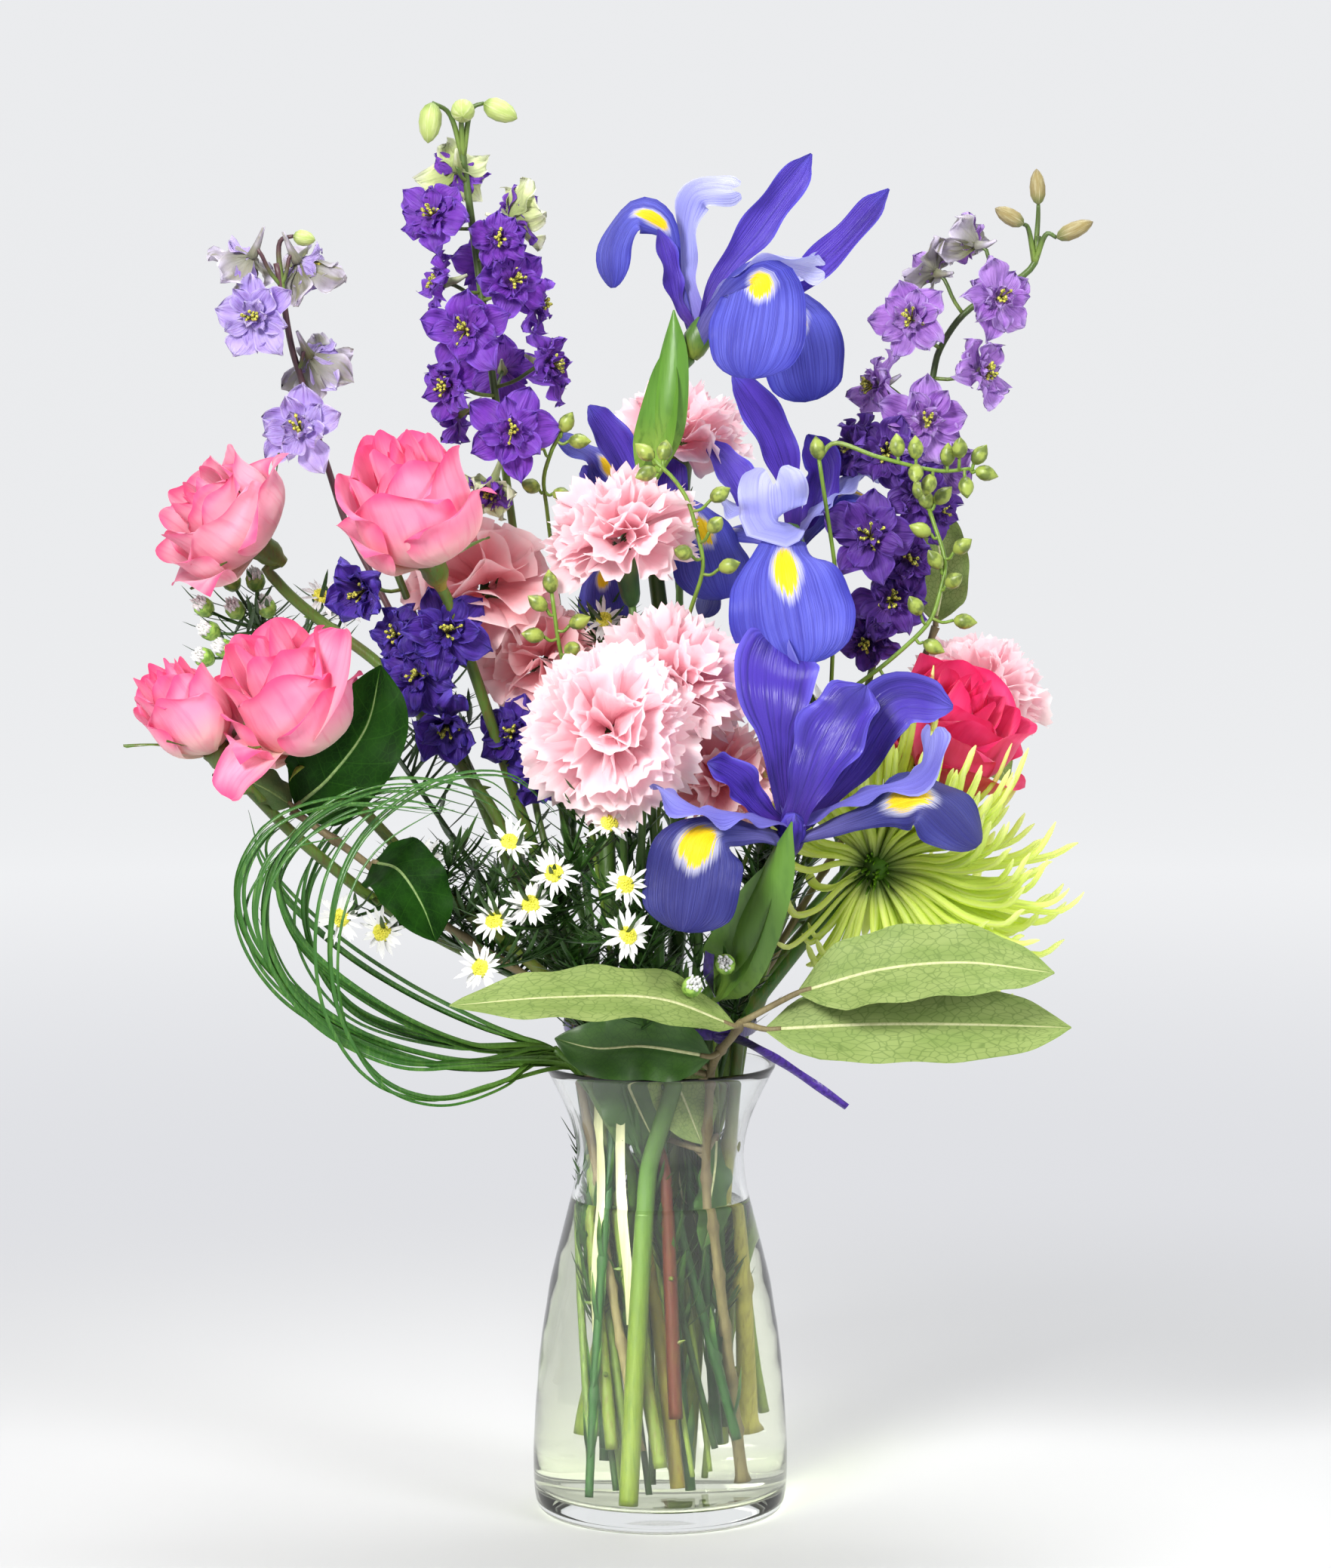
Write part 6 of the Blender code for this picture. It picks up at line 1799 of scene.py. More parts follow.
@dataclass(frozen=True)
class AsterSpray:
    """A spray of small white daisies with fine leaves all the way along its stem."""

    name: str
    top: Point
    heads: Sequence[Point]
    finishes: Sequence[Material]
    needles: int = 300
    closed: Sequence[Point] = ()
    drowned: int = 110
    twigs: int = 12
    ray_tips: int = 22
    dome_florets: int = 46
    stem_radius: float = 1.4

    def build(self) -> None:
        """Makes the spray."""
        draw = random_of(self.name)
        surface = Surface()
        path = Stem(self.name, self.stem_radius, np.array(self.top), 8).add(surface, AsterPart.GREEN)
        lines = [path[path[:, 2] > MOUTH_HEIGHT]]
        for row, place in enumerate([*self.heads, *self.closed]):
            centre = np.array(place, float)
            root = nearest(path[:-2], centre - (0, 0, 8.0 + 4.0 * row))
            axis = unit(unit(centre - root) * 0.6 + (0, -0.7, 0.35))
            line = smooth([root, (root + centre) / 2 + (0, 0, -2), centre - axis * 3, centre], 12)
            surface.add_tube(line, np.linspace(1.0, 0.6, 12), 6, 0.4, AsterPart.GREEN)
            lines.append(line[1:-2])
            add_head = self._daisy if row < len(self.heads) else self._closed_head
            add_head(surface, centre, axis, draw)
        self._twigs(surface, lines, draw)
        self._foliage(surface, lines, draw, self.needles, (10.0, 24.0), (0.15, 0.9))
        drowned = path[(path[:, 2] > DROWNED[0]) & (path[:, 2] < DROWNED[1])]
        self._foliage(surface, [drowned], draw, self.drowned, (7.0, 14.0), (0.9, 2.2))
        surface.piece(f"{self.name}_spray", "aster", self.finishes, [self.name])

    def _closed_head(self, surface: Surface, centre: Array, axis: Array, draw: np.random.Generator) -> None:
        """Adds one closed head: a green cup with the white tips of its rays.

        Args:
            surface: What it is added to.
            centre: Where it is.
            axis: The way it faces.
            draw: Random numbers.
        """
        turn_to = facing(axis)
        surface.add_turned(CLOSED_CUP_PROFILE, 12, centre, turn_to, 0.5, AsterPart.CUP)
        for spot in packed_spots(self.ray_tips, 3.2, 1.0) @ turn_to.T + centre:
            tip = spot + unit(axis + draw.normal(size=3) * 0.12) * draw.uniform(2.5, 5.0)
            ray = [spot, (spot + tip) / 2, tip]
            surface.add_tube(ray, (0.7, 0.8, 0.3), 5, draw.uniform(), AsterPart.RAY)

    def _daisy(self, surface: Surface, centre: Array, axis: Array, draw: np.random.Generator) -> None:
        """Adds one daisy: narrow rays, a yellow dome of tiny florets and green scales behind.

        Args:
            surface: What it is added to.
            centre: Where it is.
            axis: The way it faces.
            draw: Random numbers.
        """
        turn_to = facing(axis)
        count = int(draw.integers(17, 23))
        for place in range(count):
            ray = Petal(draw.uniform(8.5, 13.0), draw.uniform(1.5, 2.4), RAY_WIDTHS, rows=6, columns=3,
                        cup=0.4, bend=draw.uniform(-3.0, 1.4))
            lift = draw.uniform(-0.1, 0.45)
            grid = ray.spun(lift, place * math.tau / count + draw.uniform(-0.13, 0.13))
            ray.place(surface, grid, centre + axis * 0.8, turn_to, draw.uniform(), AsterPart.RAY)
        surface.add_turned(DOME_PROFILE, 12, centre, turn_to, 0.5, AsterPart.DOME)
        for spot in packed_spots(self.dome_florets, 4.0, 3.2, 0.16) @ turn_to.T + centre:
            floret = [spot, spot + axis * 0.7, spot + axis * 1.1]
            surface.add_tube(floret, (0.5, 0.55, 0.2), 5, draw.uniform(), AsterPart.DOME)
        surface.add_turned(DAISY_CUP_PROFILE, 12, centre, turn_to, 0.5, AsterPart.GREEN)

    def _twigs(self, surface: Surface, lines: list[Array], draw: np.random.Generator) -> None:
        """Adds side twigs to the spray's stem.

        Args:
            surface: What they are added to.
            lines: The stem and its stalks, which the twigs join.
            draw: Random numbers.
        """
        stem = lines[0]
        for _ in range(self.twigs):
            root = stem[draw.integers(0, max(1, len(stem) * 3 // 4))]
            turn = draw.uniform(0, math.tau)
            out = np.array((math.cos(turn), 0.8 * math.sin(turn), 0.0)) * draw.uniform(14, 34)
            rise = draw.uniform(18, 52)
            line = smooth([root, root + out * 0.5 + (0, 0, rise * 0.4), root + out + (0, 0, rise)], 12)
            surface.add_tube(line, np.linspace(0.8, 0.4, 12), 5, 0.4, AsterPart.GREEN)
            lines.append(line)

    def _foliage(self, surface: Surface, lines: Sequence[Array], draw: np.random.Generator, count: int,
                 lengths: tuple[float, float], rises: tuple[float, float]) -> None:
        """Adds fine leaves, each a narrow blade that curves up from its stem.

        Args:
            surface: What they are added to.
            lines: The stems that they grow from.
            draw: Random numbers.
            count: How many there are.
            lengths: Their least and greatest length.
            rises: The least and greatest slope that they rise at.
        """
        spots = np.vstack(lines)
        for _ in range(count):
            root = spots[draw.integers(len(spots))]
            out = level_way(draw.uniform(0, math.tau))
            length = draw.uniform(*lengths)
            rise = draw.uniform(*rises)
            route = [root, root + out * length * 0.5 + (0, 0, length * 0.45 * rise),
                     root + out * length * 0.9 + (0, 0, length * rise)]
            face = (-out[0] * 0.7, -out[1] * 0.7, 0.7)
            grid, share, across = blade(route, NEEDLE_WIDTHS, face, rows=6, columns=3, cup=0.35)
            surface.add_grid(grid, share, across, draw.uniform(), AsterPart.GREEN)


class LeafPart(IntEnum):
    """The finishes of a leafy branch, in their order."""

    TOP = 0
    UNDER = 1
    WOOD = 2
    RIB = 3


TOP_SHOWN = (LeafPart.TOP, LeafPart.UNDER)
UNDER_SHOWN = (LeafPart.UNDER, LeafPart.TOP)


@dataclass(frozen=True)
class Leaf:
    """One leaf of a branch: its width, the way it faces, its route, and which side it shows."""

    width: float
    face: Point
    route: Sequence[Point]
    sides: tuple[LeafPart, LeafPart] = TOP_SHOWN


LEAF_WIDTHS = ((0.0, 0.08), (0.04, 0.32), (0.12, 0.68), (0.30, 0.97), (0.48, 1.0), (0.66, 0.92),
               (0.82, 0.68), (0.93, 0.34), (1.0, 0.02))
LEAF_HALF_THICKNESS = 0.3
LEAF_FOLD = 0.5


@dataclass(frozen=True)
class Branch:
    """A leafy branch: its woody stem and broad leaves with a wavy edge."""

    name: str
    top: Point
    radius: float
    leaves: Sequence[Leaf]
    finishes: Sequence[Material]
    slot: str = "leaf_pale"
    joint_gap: float = 24.0

    def build(self) -> None:
        """Makes the branch."""
        draw = random_of(self.name)
        surface = Surface()
        stem = Stem(self.name, self.radius, np.array(self.top), 8, joints=self.joint_gap)
        path = stem.add(surface, LeafPart.WOOD)
        for leaf in self.leaves:
            first = np.array(leaf.route[0], float)
            onward = np.array(leaf.route[1]) * 0.15 + first * 0.85
            stalk = smooth([nearest(path, first), first, onward], 8)
            surface.add_tube(stalk, np.linspace(1.5, 1.1, 8), 8, 0.4, LeafPart.WOOD)
            widths = [(share, leaf.width * width) for share, width in LEAF_WIDTHS]
            grid, share, across = blade(leaf.route, widths, leaf.face, rows=36, columns=17, cup=0.14,
                                        ruffle=1.6, waves=4.0, phase=draw.uniform(0, 6))
            normal = unit(np.cross(np.gradient(grid, axis=1), np.gradient(grid, axis=0)))
            fold = LEAF_FOLD * np.exp(-((across / 0.06) ** 2))[None, :, None]
            thick = LEAF_HALF_THICKNESS * (1 - across[None, :, None] ** 8)
            seed = float(draw.uniform())
            surface.add_grid(grid + normal * (thick - fold), share, across, seed, leaf.sides[0])
            surface.add_grid(grid - normal * (thick + fold), share, across, seed, leaf.sides[1])
            middle = len(across) // 2
            rib = grid[:, middle] - normal[:, middle] * LEAF_FOLD
            surface.add_tube(rib, np.linspace(1.1, 0.25, len(rib)), 6, seed, LeafPart.RIB)
        surface.piece(f"{self.name}_branch", self.slot, self.finishes, [self.name])


class GrassPart(IntEnum):
    """The finishes of the tuft of grass, in their order."""

    BLADE = 0
    STEM = 1
    STRIP = 2


STRIP_WIDTHS = ((0, 3.4), (0.5, 4.4), (1, 3.0))


@dataclass(frozen=True)
class Grass:
    """A tuft of long narrow blades that arch round in loops, and the pale strips at its foot."""

    top: Point
    loops: Sequence[Sequence[Point]]
    strips: Sequence[Sequence[Point]]
    finishes: Sequence[Material]
    width: float = 1.9
    foot_width: float = 2.6
    tip_width: float = 0.2
    radius: float = 2.6
    fan: int = 5
    spread: float = 5.0

    def build(self) -> None:
        """Makes the tuft."""
        draw = random_of("grass")
        surface = Surface()
        path = Stem("grass", self.radius, np.array(self.top), 8).add(surface, GrassPart.STEM)
        for loop in self.loops:
            for twin in range(self.fan):
                start = path[-1 - int(draw.integers(0, 4))]
                shift = draw.normal(size=3) * (self.spread if twin else 0.4)
                points = np.array(loop, float) + shift * np.linspace(0.2, 1, len(loop))[:, None]
                if twin:
                    points = points[:len(points) - int(draw.integers(0, 3))]
                route = smooth([path[-8], start, *points], 90)
                face = unit(np.array((0.0, -1.0, 0.5)) + draw.normal(size=3) * 0.3)
                width = self.width * draw.uniform(0.75, 1.1)
                widths = ((0, self.foot_width), (0.3, width), (0.75, width * 0.9), (1, self.tip_width))
                grid, share, across = blade(route, widths, tuple(face), rows=100, columns=5, cup=0.45)
                surface.add_grid(grid, share, across, draw.uniform(), GrassPart.BLADE)
        for strip in self.strips:
            grid, share, across = blade(strip, STRIP_WIDTHS, (0.1, -1.0, 0.0), rows=30, columns=5, cup=0.3)
            surface.add_grid(grid, share, across, 0.5, GrassPart.STRIP)
        surface.piece("grass_blades", "grass_green", self.finishes, ["grass"])


@dataclass(frozen=True)
class Ribbon:
    """A narrow ribbon tied round the stems, with a knot and two tails."""

    satin: Material
    centre: Point = (0.0, -8.0, 222.0)
    radius: float = 43.0
    knot: Point = (28.0, -43.0, 222.0)
    tails: Sequence[Sequence[Point]] = (
        ((28, -44, 222), (44, -70, 218), (62, -88, 209), (80, -94, 197)),
        ((28, -44, 222), (25, -60, 236), (21, -72, 252), (22, -76, 265)),
    )
    width: float = 5.0
    flatness: float = 0.12
    knot_turns: Sequence[float] = (0.3, -0.5, 1.1)
    knot_radius: float = 4.6
    knot_depth: float = 3.4

    def build(self) -> None:
        """Makes the band, the knot and the tails."""
        surface = Surface()
        angle = np.linspace(0, math.tau, 97)
        round_it = [self.radius * np.cos(angle), self.radius * np.sin(angle), 0.8 * np.sin(3 * angle)]
        ring = np.stack(round_it, 1) + self.centre
        surface.add_tube(ring, self.width / 2, 8, 0.3, flat=self.flatness, side=(0.0, 0.0, 1.0))
        widths = ((0, 3.0), (0.15, self.width), (1, self.width * 0.85))
        for tail in self.tails:
            grid, share, across = blade(tail, widths, (0.0, -0.6, 0.8), rows=30, columns=5, cup=0.3,
                                        ruffle=0.3)
            surface.add_grid(grid, share, across, 0.6)
        spin = np.linspace(0, math.tau, 25)
        flat = self.knot_depth * np.sin(spin)
        for tilt in self.knot_turns:
            loop = [self.knot_radius * np.cos(spin), flat * math.cos(tilt), 1.2 * flat * math.sin(tilt)]
            surface.add_tube(np.stack(loop, 1) + self.knot, 1.5, 6, 0.4, flat=0.6)
        surface.piece("ribbon_satin", "ribbon", [self.satin], ["ribbon"])


def rose_petal_finish(name: str, root: Colour, body: Colour, rim: Colour) -> Material:
    """The finish of a rose's petals, with veins of the rim's colour.

    Args:
        name: The finish's name.
        root: The colour at a petal's root.
        body: The colour of its middle.
        rim: The colour of its rim.

    Returns:
        The material.
    """
    return PetalFinish(
        name, root, body, rim, rim, root_reach=0.72, rim_start=0.80, side_start=0.62, veins=7.0, depth=0.3,
        mottle=0.32, roughness=0.55, glow=0.32, sheen=0.2, variety=0.26, relief=0.4,
    ).make()


def build_roses() -> None:
    """Makes the five roses."""
    green = StemFinish("rose_stem", tint(110, 128, 50), tint(84, 112, 40), tint(96, 60, 36)).make()
    red = StemFinish("rose_red_stem", tint(86, 32, 18), tint(92, 108, 40), tint(96, 78, 30),
                     turn_at=0.5).make()
    olive = StemFinish("rose_olive_stem", tint(146, 134, 52), tint(84, 112, 40), tint(116, 70, 34)).make()
    pink = rose_petal_finish("rose_pink", tint(252, 240, 214), tint(254, 170, 202), tint(238, 84, 142))
    soft = rose_petal_finish("rose_soft_pink", tint(252, 244, 226), tint(253, 200, 216), tint(236, 92, 146))
    hot = rose_petal_finish("rose_hot_pink", tint(250, 150, 180), tint(244, 76, 138), tint(228, 34, 100))
    side_petal = (30.0, (-0.55, -0.8, 0.1),
                  ((-157, -70, 352), (-147, -84, 368), (-140, -88, 386), (-136, -84, 402)))
    low_petal = (22.0, (-0.1, -0.7, 0.7),
                 ((-163, -74, 350), (-172, -88, 346), (-180, -92, 338), (-184, -92, 330)))
    blooms = (
        (("rose_1", (-178, -12, 436), (-0.74, -0.38, 0.55), 29, 42), soft, green, "rose_petal",
         {"openness": 1.1, "sepal_length": 38.0, "sepal_lift": (0.25, 0.85)}),
        (("rose_2", (-100, -42, 430), (-0.30, -0.40, 0.87), 28, 57), pink, olive, "rose_petal",
         {"openness": 0.9}),
        (("rose_3", (-150, -62, 350), (-0.40, -0.40, 0.82), 28, 56), pink, red, "rose_petal",
         {"openness": 0.9, "loose": (side_petal, low_petal)}),
        (("rose_4", (-192, -72, 350), (-0.55, -0.30, 0.78), 19, 42), pink, green, "rose_petal",
         {"openness": 0.45, "rings": ROSE_RINGS[:-1], "sepal_length": 36.0, "sepal_lift": (-0.3, 0.9)}),
        (("rose_5", (121, -12, 338), (0.42, -0.45, 0.79), 31, 46), hot, green, "hot_pink_petal",
         {"openness": 1.1}),
    )
    for head, petal, stem, slot, fields in blooms:
        Rose(Head(*head), petal, stem, slot, **fields).build()


def carnation_finish(name: str, colours: Sequence[Colour], glow: float, reach: float, rim_start: float,
                     veins: float) -> Material:
    """The finish of a carnation's petals, deeper pink at each fan's root inside the bloom: partly the petal's
    own colour and partly painted shade.

    Args:
        name: The finish's name.
        colours: The colours of a petal's root, middle, rim and veins.
        glow: The share of the light that goes through it.
        reach: How far the root's deeper colour, partly painted shade, reaches.
        rim_start: Where the rim's colour starts.
        veins: How close the veins stand.

    Returns:
        The material.
    """
    return PetalFinish(name, *colours, root_reach=reach, rim_start=rim_start, veins=veins, depth=0.25,
                       roughness=0.6, glow=glow, sheen=0.3).make()


def build_carnations(green: Material) -> None:
    """Makes the eight carnations, two of them smooth and loose.

    Args:
        green: The finish of their stems.
    """
    # The first colour of each set is the fans' deeper root pink, partly painted shade.
    pale = carnation_finish("carnation_pink", (
        tint(246, 166, 182), tint(254, 216, 224), tint(255, 240, 242), tint(250, 192, 204),
    ), 0.42, 0.7, 0.8, 8.0)
    salmon = carnation_finish("carnation_salmon", (
        tint(246, 142, 156), tint(255, 198, 204), tint(255, 230, 230), tint(248, 166, 176),
    ), 0.36, 0.8, 0.75, 6.0)
    plain: dict[str, float] = {}
    blooms = (
        (("carnation_1", (-16, -34, 434), (-0.15, -0.20, 0.97), 33, 29), pale, plain),
        (("carnation_2", (-21, -88, 357), (-0.05, -0.94, 0.33), 37, 30), pale, {"count": 42}),
        (("carnation_3", (4, -58, 374), (0.22, -0.55, 0.80), 34, 28), pale, plain),
        (("carnation_4", (-78, 2, 412), (-0.30, -0.50, 0.81), 33, 32), salmon,
         {"count": 17, "teeth": 7, "fringe": 0.8, "fullness": 1.35}),
        (("carnation_5", (-52, 16, 378), (-0.10, -0.40, 0.91), 29, 26), salmon,
         {"count": 22, "teeth": 8, "fringe": 1.4, "fullness": 1.2}),
        (("carnation_6", (9, 55, 476), (0.00, -0.10, 0.99), 32, 25), pale, plain),
        (("carnation_7", (142, 34, 362), (0.50, -0.15, 0.85), 31, 26), pale, plain),
        (("carnation_8", (24, -42, 330), (0.10, -0.62, 0.78), 27, 22), salmon, {"count": 28}),
    )
    for head, petal, fields in blooms:
        Carnation(Head(*head), petal, green, **fields).build()


def iris_blades(rows: Sequence[tuple[IrisPetal, float, Point, Sequence[Point]]]) -> list[IrisBlade]:
    """The petals of an iris from their rows."""
    return [IrisBlade(*row) for row in rows]


def iris_fall(name: str, reach: float, slimness: float, middle: float, shade: float) -> Material:
    """The finish of an iris's falls, with a blotch of its own size and place.

    Args:
        name: The finish's name.
        reach: Half the blotch's length as a share of the petal's.
        slimness: How narrow the blotch is.
        middle: Where the blotch stands along the petal.
        shade: What share of the usual light colour the petal has; below one it darkens the whole petal with
            painted shade.

    Returns:
        The material.
    """
    # Painted shade: shade darkens the body, rim and veins of the one set of fall colours.
    body, rim, vein = (tuple(level * shade for level in colour) for colour in
                       (tint(96, 100, 214), tint(58, 60, 176), tint(52, 46, 158)))
    return FallFinish(name, tint(128, 122, 208), body, rim, vein, blotch_middle=middle, blotch_reach=reach,
                      blotch_slimness=slimness).make()


def build_irises(green: Material) -> None:
    """Makes the four irises.

    Args:
        green: The finish of their stems.
    """
    fall, standard, style = IrisPetal.FALL, IrisPetal.STANDARD, IrisPetal.STYLE
    upright = PetalFinish(
        "iris_standard", tint(82, 40, 136), tint(80, 52, 172), tint(96, 88, 212), tint(42, 20, 112),
        root_reach=0.5, rim_start=0.88, side_start=0.8, veins=13.0, depth=0.6, mottle=0.6, roughness=0.42,
        sheen=0.04, relief=0.8,
    ).make()
    arm = PetalFinish(
        "iris_style", tint(118, 104, 196), tint(158, 160, 232), tint(206, 210, 248), tint(112, 110, 206),
        root_reach=0.5, rim_start=0.7, veins=16.0, depth=0.45, mottle=0.4, glow=0.3, sheen=0.08, relief=0.6,
    ).make()
    # A darker copy of the style arms' colours for iris_3: painted shade.
    shaded_arm = PetalFinish(
        "iris_style_shaded", tint(96, 78, 180), tint(106, 102, 204), tint(150, 152, 228), tint(74, 64, 172),
        root_reach=0.5, rim_start=0.75, veins=16.0, depth=0.5, mottle=0.5, sheen=0.05, relief=0.8,
    ).make()
    glossy = PetalFinish(
        "iris_standard_deep", tint(66, 30, 118), tint(66, 42, 158), tint(112, 104, 222), tint(26, 12, 88),
        root_reach=0.5, rim_start=0.86, side_start=0.72, veins=10.0, depth=0.7, mottle=0.8, roughness=0.3,
        sheen=0.0, relief=1.0,
    ).make()
    sheath = StemFinish("iris_sheath", tint(136, 178, 72), tint(90, 138, 46), tint(54, 98, 28),
                        turn_at=0.3, fibres=420.0).make()
    dark_sheath = StemFinish("iris_dark_sheath", tint(116, 152, 56), tint(86, 126, 44), tint(58, 98, 30),
                             turn_at=0.3, fibres=420.0).make()
    # The last number is each iris's painted shade on its falls, deepest on iris_3.
    first = (iris_fall("iris_fall_round", 0.085, 2.6, 0.58, 0.86), upright, arm)
    second = (iris_fall("iris_fall_tear", 0.13, 3.6, 0.58, 0.94), upright, arm)
    third = (iris_fall("iris_fall_shaded", 0.12, 2.2, 0.60, 0.36), glossy, shaded_arm)
    fourth = (iris_fall("iris_fall_deep", 0.10, 3.0, 0.58, 0.8), upright, arm)
    Iris(Head("iris_1", (13, 0, 520), (0.45, -0.10, 0.89), 44, 60), iris_blades((
        (fall, 0.90, (-0.1, -0.9, 0.4), ((25, -24, 541), (43, -44, 552), (38, -60, 509))),
        (fall, 0.86, (0.2, -0.85, 0.4), ((34, 12, 536), (58, 16, 540), (68, 16, 500))),
        (fall, 0.44, (-0.6, -0.7, 0.4), ((7, 8, 556), (2, 8, 577), (-11, 7, 583), (-21, 6, 569),
                                        (-21, 5, 550))),
        (standard, 0.85, (0.5, -0.8, 0.1), ((23, 3, 549), (43, 2, 578), (67, 0, 609))),
        (standard, 0.75, (-0.3, -0.9, 0.2), ((52, 13, 545), (79, 12, 568), (102, 10, 594))),
        (standard, 0.60, (0.6, -0.7, 0.1), ((7, 2, 544), (3, 2, 562), (-1, 4, 576))),
        (style, 0.95, (0.0, 0.6, 0.8), ((29, -19, 548), (52, -36, 560), (72, -40, 557))),
        (style, 0.80, (-0.3, 0.3, 0.9), ((37, 6, 547), (60, 8, 554), (70, 10, 566))),
        (style, 0.85, (-0.5, -0.8, 0.3), ((11, 12, 560), (15, 13, 592), (36, 10, 594))),
    )), first, green, sheath, ((0, -3, 462), (1, -9, 492), (5, -9, 520), (6, -6, 540)),
         sheath_width=19.0).build()
    Iris(Head("iris_2", (59, -4, 428), (-0.10, -0.30, 0.95), 48, 50), iris_blades((
        (fall, 1.18, (0.0, -0.9, 0.4), ((56, -32, 440), (54, -58, 431), (61, -72, 386))),
        (fall, 0.75, (0.3, -0.2, 0.9), ((71, 11, 448), (84, 16, 460), (114, 20, 440))),
        (fall, 0.85, (-0.5, -0.2, 0.8), ((45, 14, 440), (29, 20, 441), (18, 21, 403))),
        (standard, 0.95, (0.3, -0.9, 0.2), ((58, -6, 455), (50, -10, 483), (32, -14, 512))),
        (standard, 0.95, (-0.5, -0.8, 0.2), ((70, 9, 452), (75, 12, 470), (66, 13, 485))),
        (standard, 0.90, (0.4, -0.8, 0.2), ((43, 16, 450), (32, 26, 468), (22, 34, 482))),
        (style, 1.60, (0.0, -0.7, 0.7), ((56, -26, 446), (51, -44, 448), (49, -46, 471))),
        (style, 0.90, (-0.3, -0.2, 0.9), ((73, 8, 455), (86, 10, 467), (99, 12, 469))),
        (style, 0.90, (0.4, -0.2, 0.9), ((47, 10, 447), (37, 14, 452), (26, 16, 458))),
    )), second, green, sheath).build()
    Iris(Head("iris_3", (55, -85, 307), (0.15, -0.45, 0.88), 50, 60), iris_blades((
        (fall, 0.98, (-0.3, -0.8, 0.5), ((36, -108, 318), (18, -123, 317), (9, -129, 277))),
        (fall, 0.85, (0.5, -0.6, 0.6), ((83, -100, 322), (112, -108, 332), (135, -113, 312))),
        (fall, 0.78, (0.0, 0.9, 0.3), ((51, -89, 345), (49, -86, 378), (52, -62, 398)), standard),
        (standard, 1.60, (-0.4, -0.9, 0.2), ((64, -95, 336), (76, -95, 360), (88, -88, 378))),
        (standard, 1.30, (-0.2, -0.9, 0.3), ((80, -82, 339), (102, -78, 370), (126, -77, 368))),
        (standard, 0.90, (0.3, -0.8, 0.5), ((42, -92, 326), (31, -97, 339), (20, -103, 346))),
        (style, 1.05, (0.2, -0.2, 0.9), ((34, -108, 325), (17, -120, 328), (-2, -126, 339))),
        (style, 0.95, (-0.3, -0.3, 0.9), ((86, -98, 333), (111, -104, 343), (116, -102, 362))),
        (style, 1.10, (0.0, 0.8, 0.6), ((54, -78, 345), (51, -72, 378), (48, -60, 397))),
    )), third, green, dark_sheath, ((24, -66, 228), (33, -88, 262), (46, -97, 292), (56, -103, 321)),
         sheath_width=25.0, sheath_face=(-0.4, -0.8, 0.3), throat_finish=standard).build()
    Iris(Head("iris_4", (-3, 22, 430), (-0.20, 0.00, 0.98), 44, 50), iris_blades((
        (fall, 0.60, (-0.4, -0.3, 0.9), ((-15, 28, 455), (-26, 31, 474), (-48, 28, 486))),
        (fall, 0.80, (0.3, -0.8, 0.5), ((6, 13, 452), (14, 6, 452), (29, -4, 412))),
        (fall, 0.55, (-0.3, -0.7, 0.6), ((-15, 13, 434), (-25, 7, 424), (-23, 2, 398))),
        (standard, 0.85, (0.3, -0.9, 0.2), ((-10, 20, 458), (-19, 18, 478), (-32, 16, 498))),
        (standard, 0.80, (0.0, -0.9, 0.2), ((3, 32, 451), (5, 37, 464), (6, 40, 474))),
        (standard, 0.80, (0.3, -0.6, 0.5), ((-19, 42, 447), (-30, 50, 460), (-35, 54, 471))),
    )), fourth, green, sheath).build()


def larkspur_finish(name: str, root: Colour, body: Colour, rim: Colour, vein: Colour) -> Material:
    """The finish of one spike's petals.

    Args:
        name: The finish's name.
        root: The colour at a petal's root.
        body: The colour of its middle.
        rim: The colour of its rim.
        vein: The colour of its veins.

    Returns:
        The material.
    """
    return PetalFinish(
        name, root, body, rim, vein, root_reach=0.4, rim_start=0.72, side_start=0.75, veins=7.0, depth=0.6,
        mottle=0.6, glow=0.3, sheen=0.05, variety=0.3, relief=1.0,
    ).make()


def florets(rows: Sequence[tuple]) -> list[Floret]:
    """The florets of a spike from their rows."""
    return [Floret(*row) for row in rows]


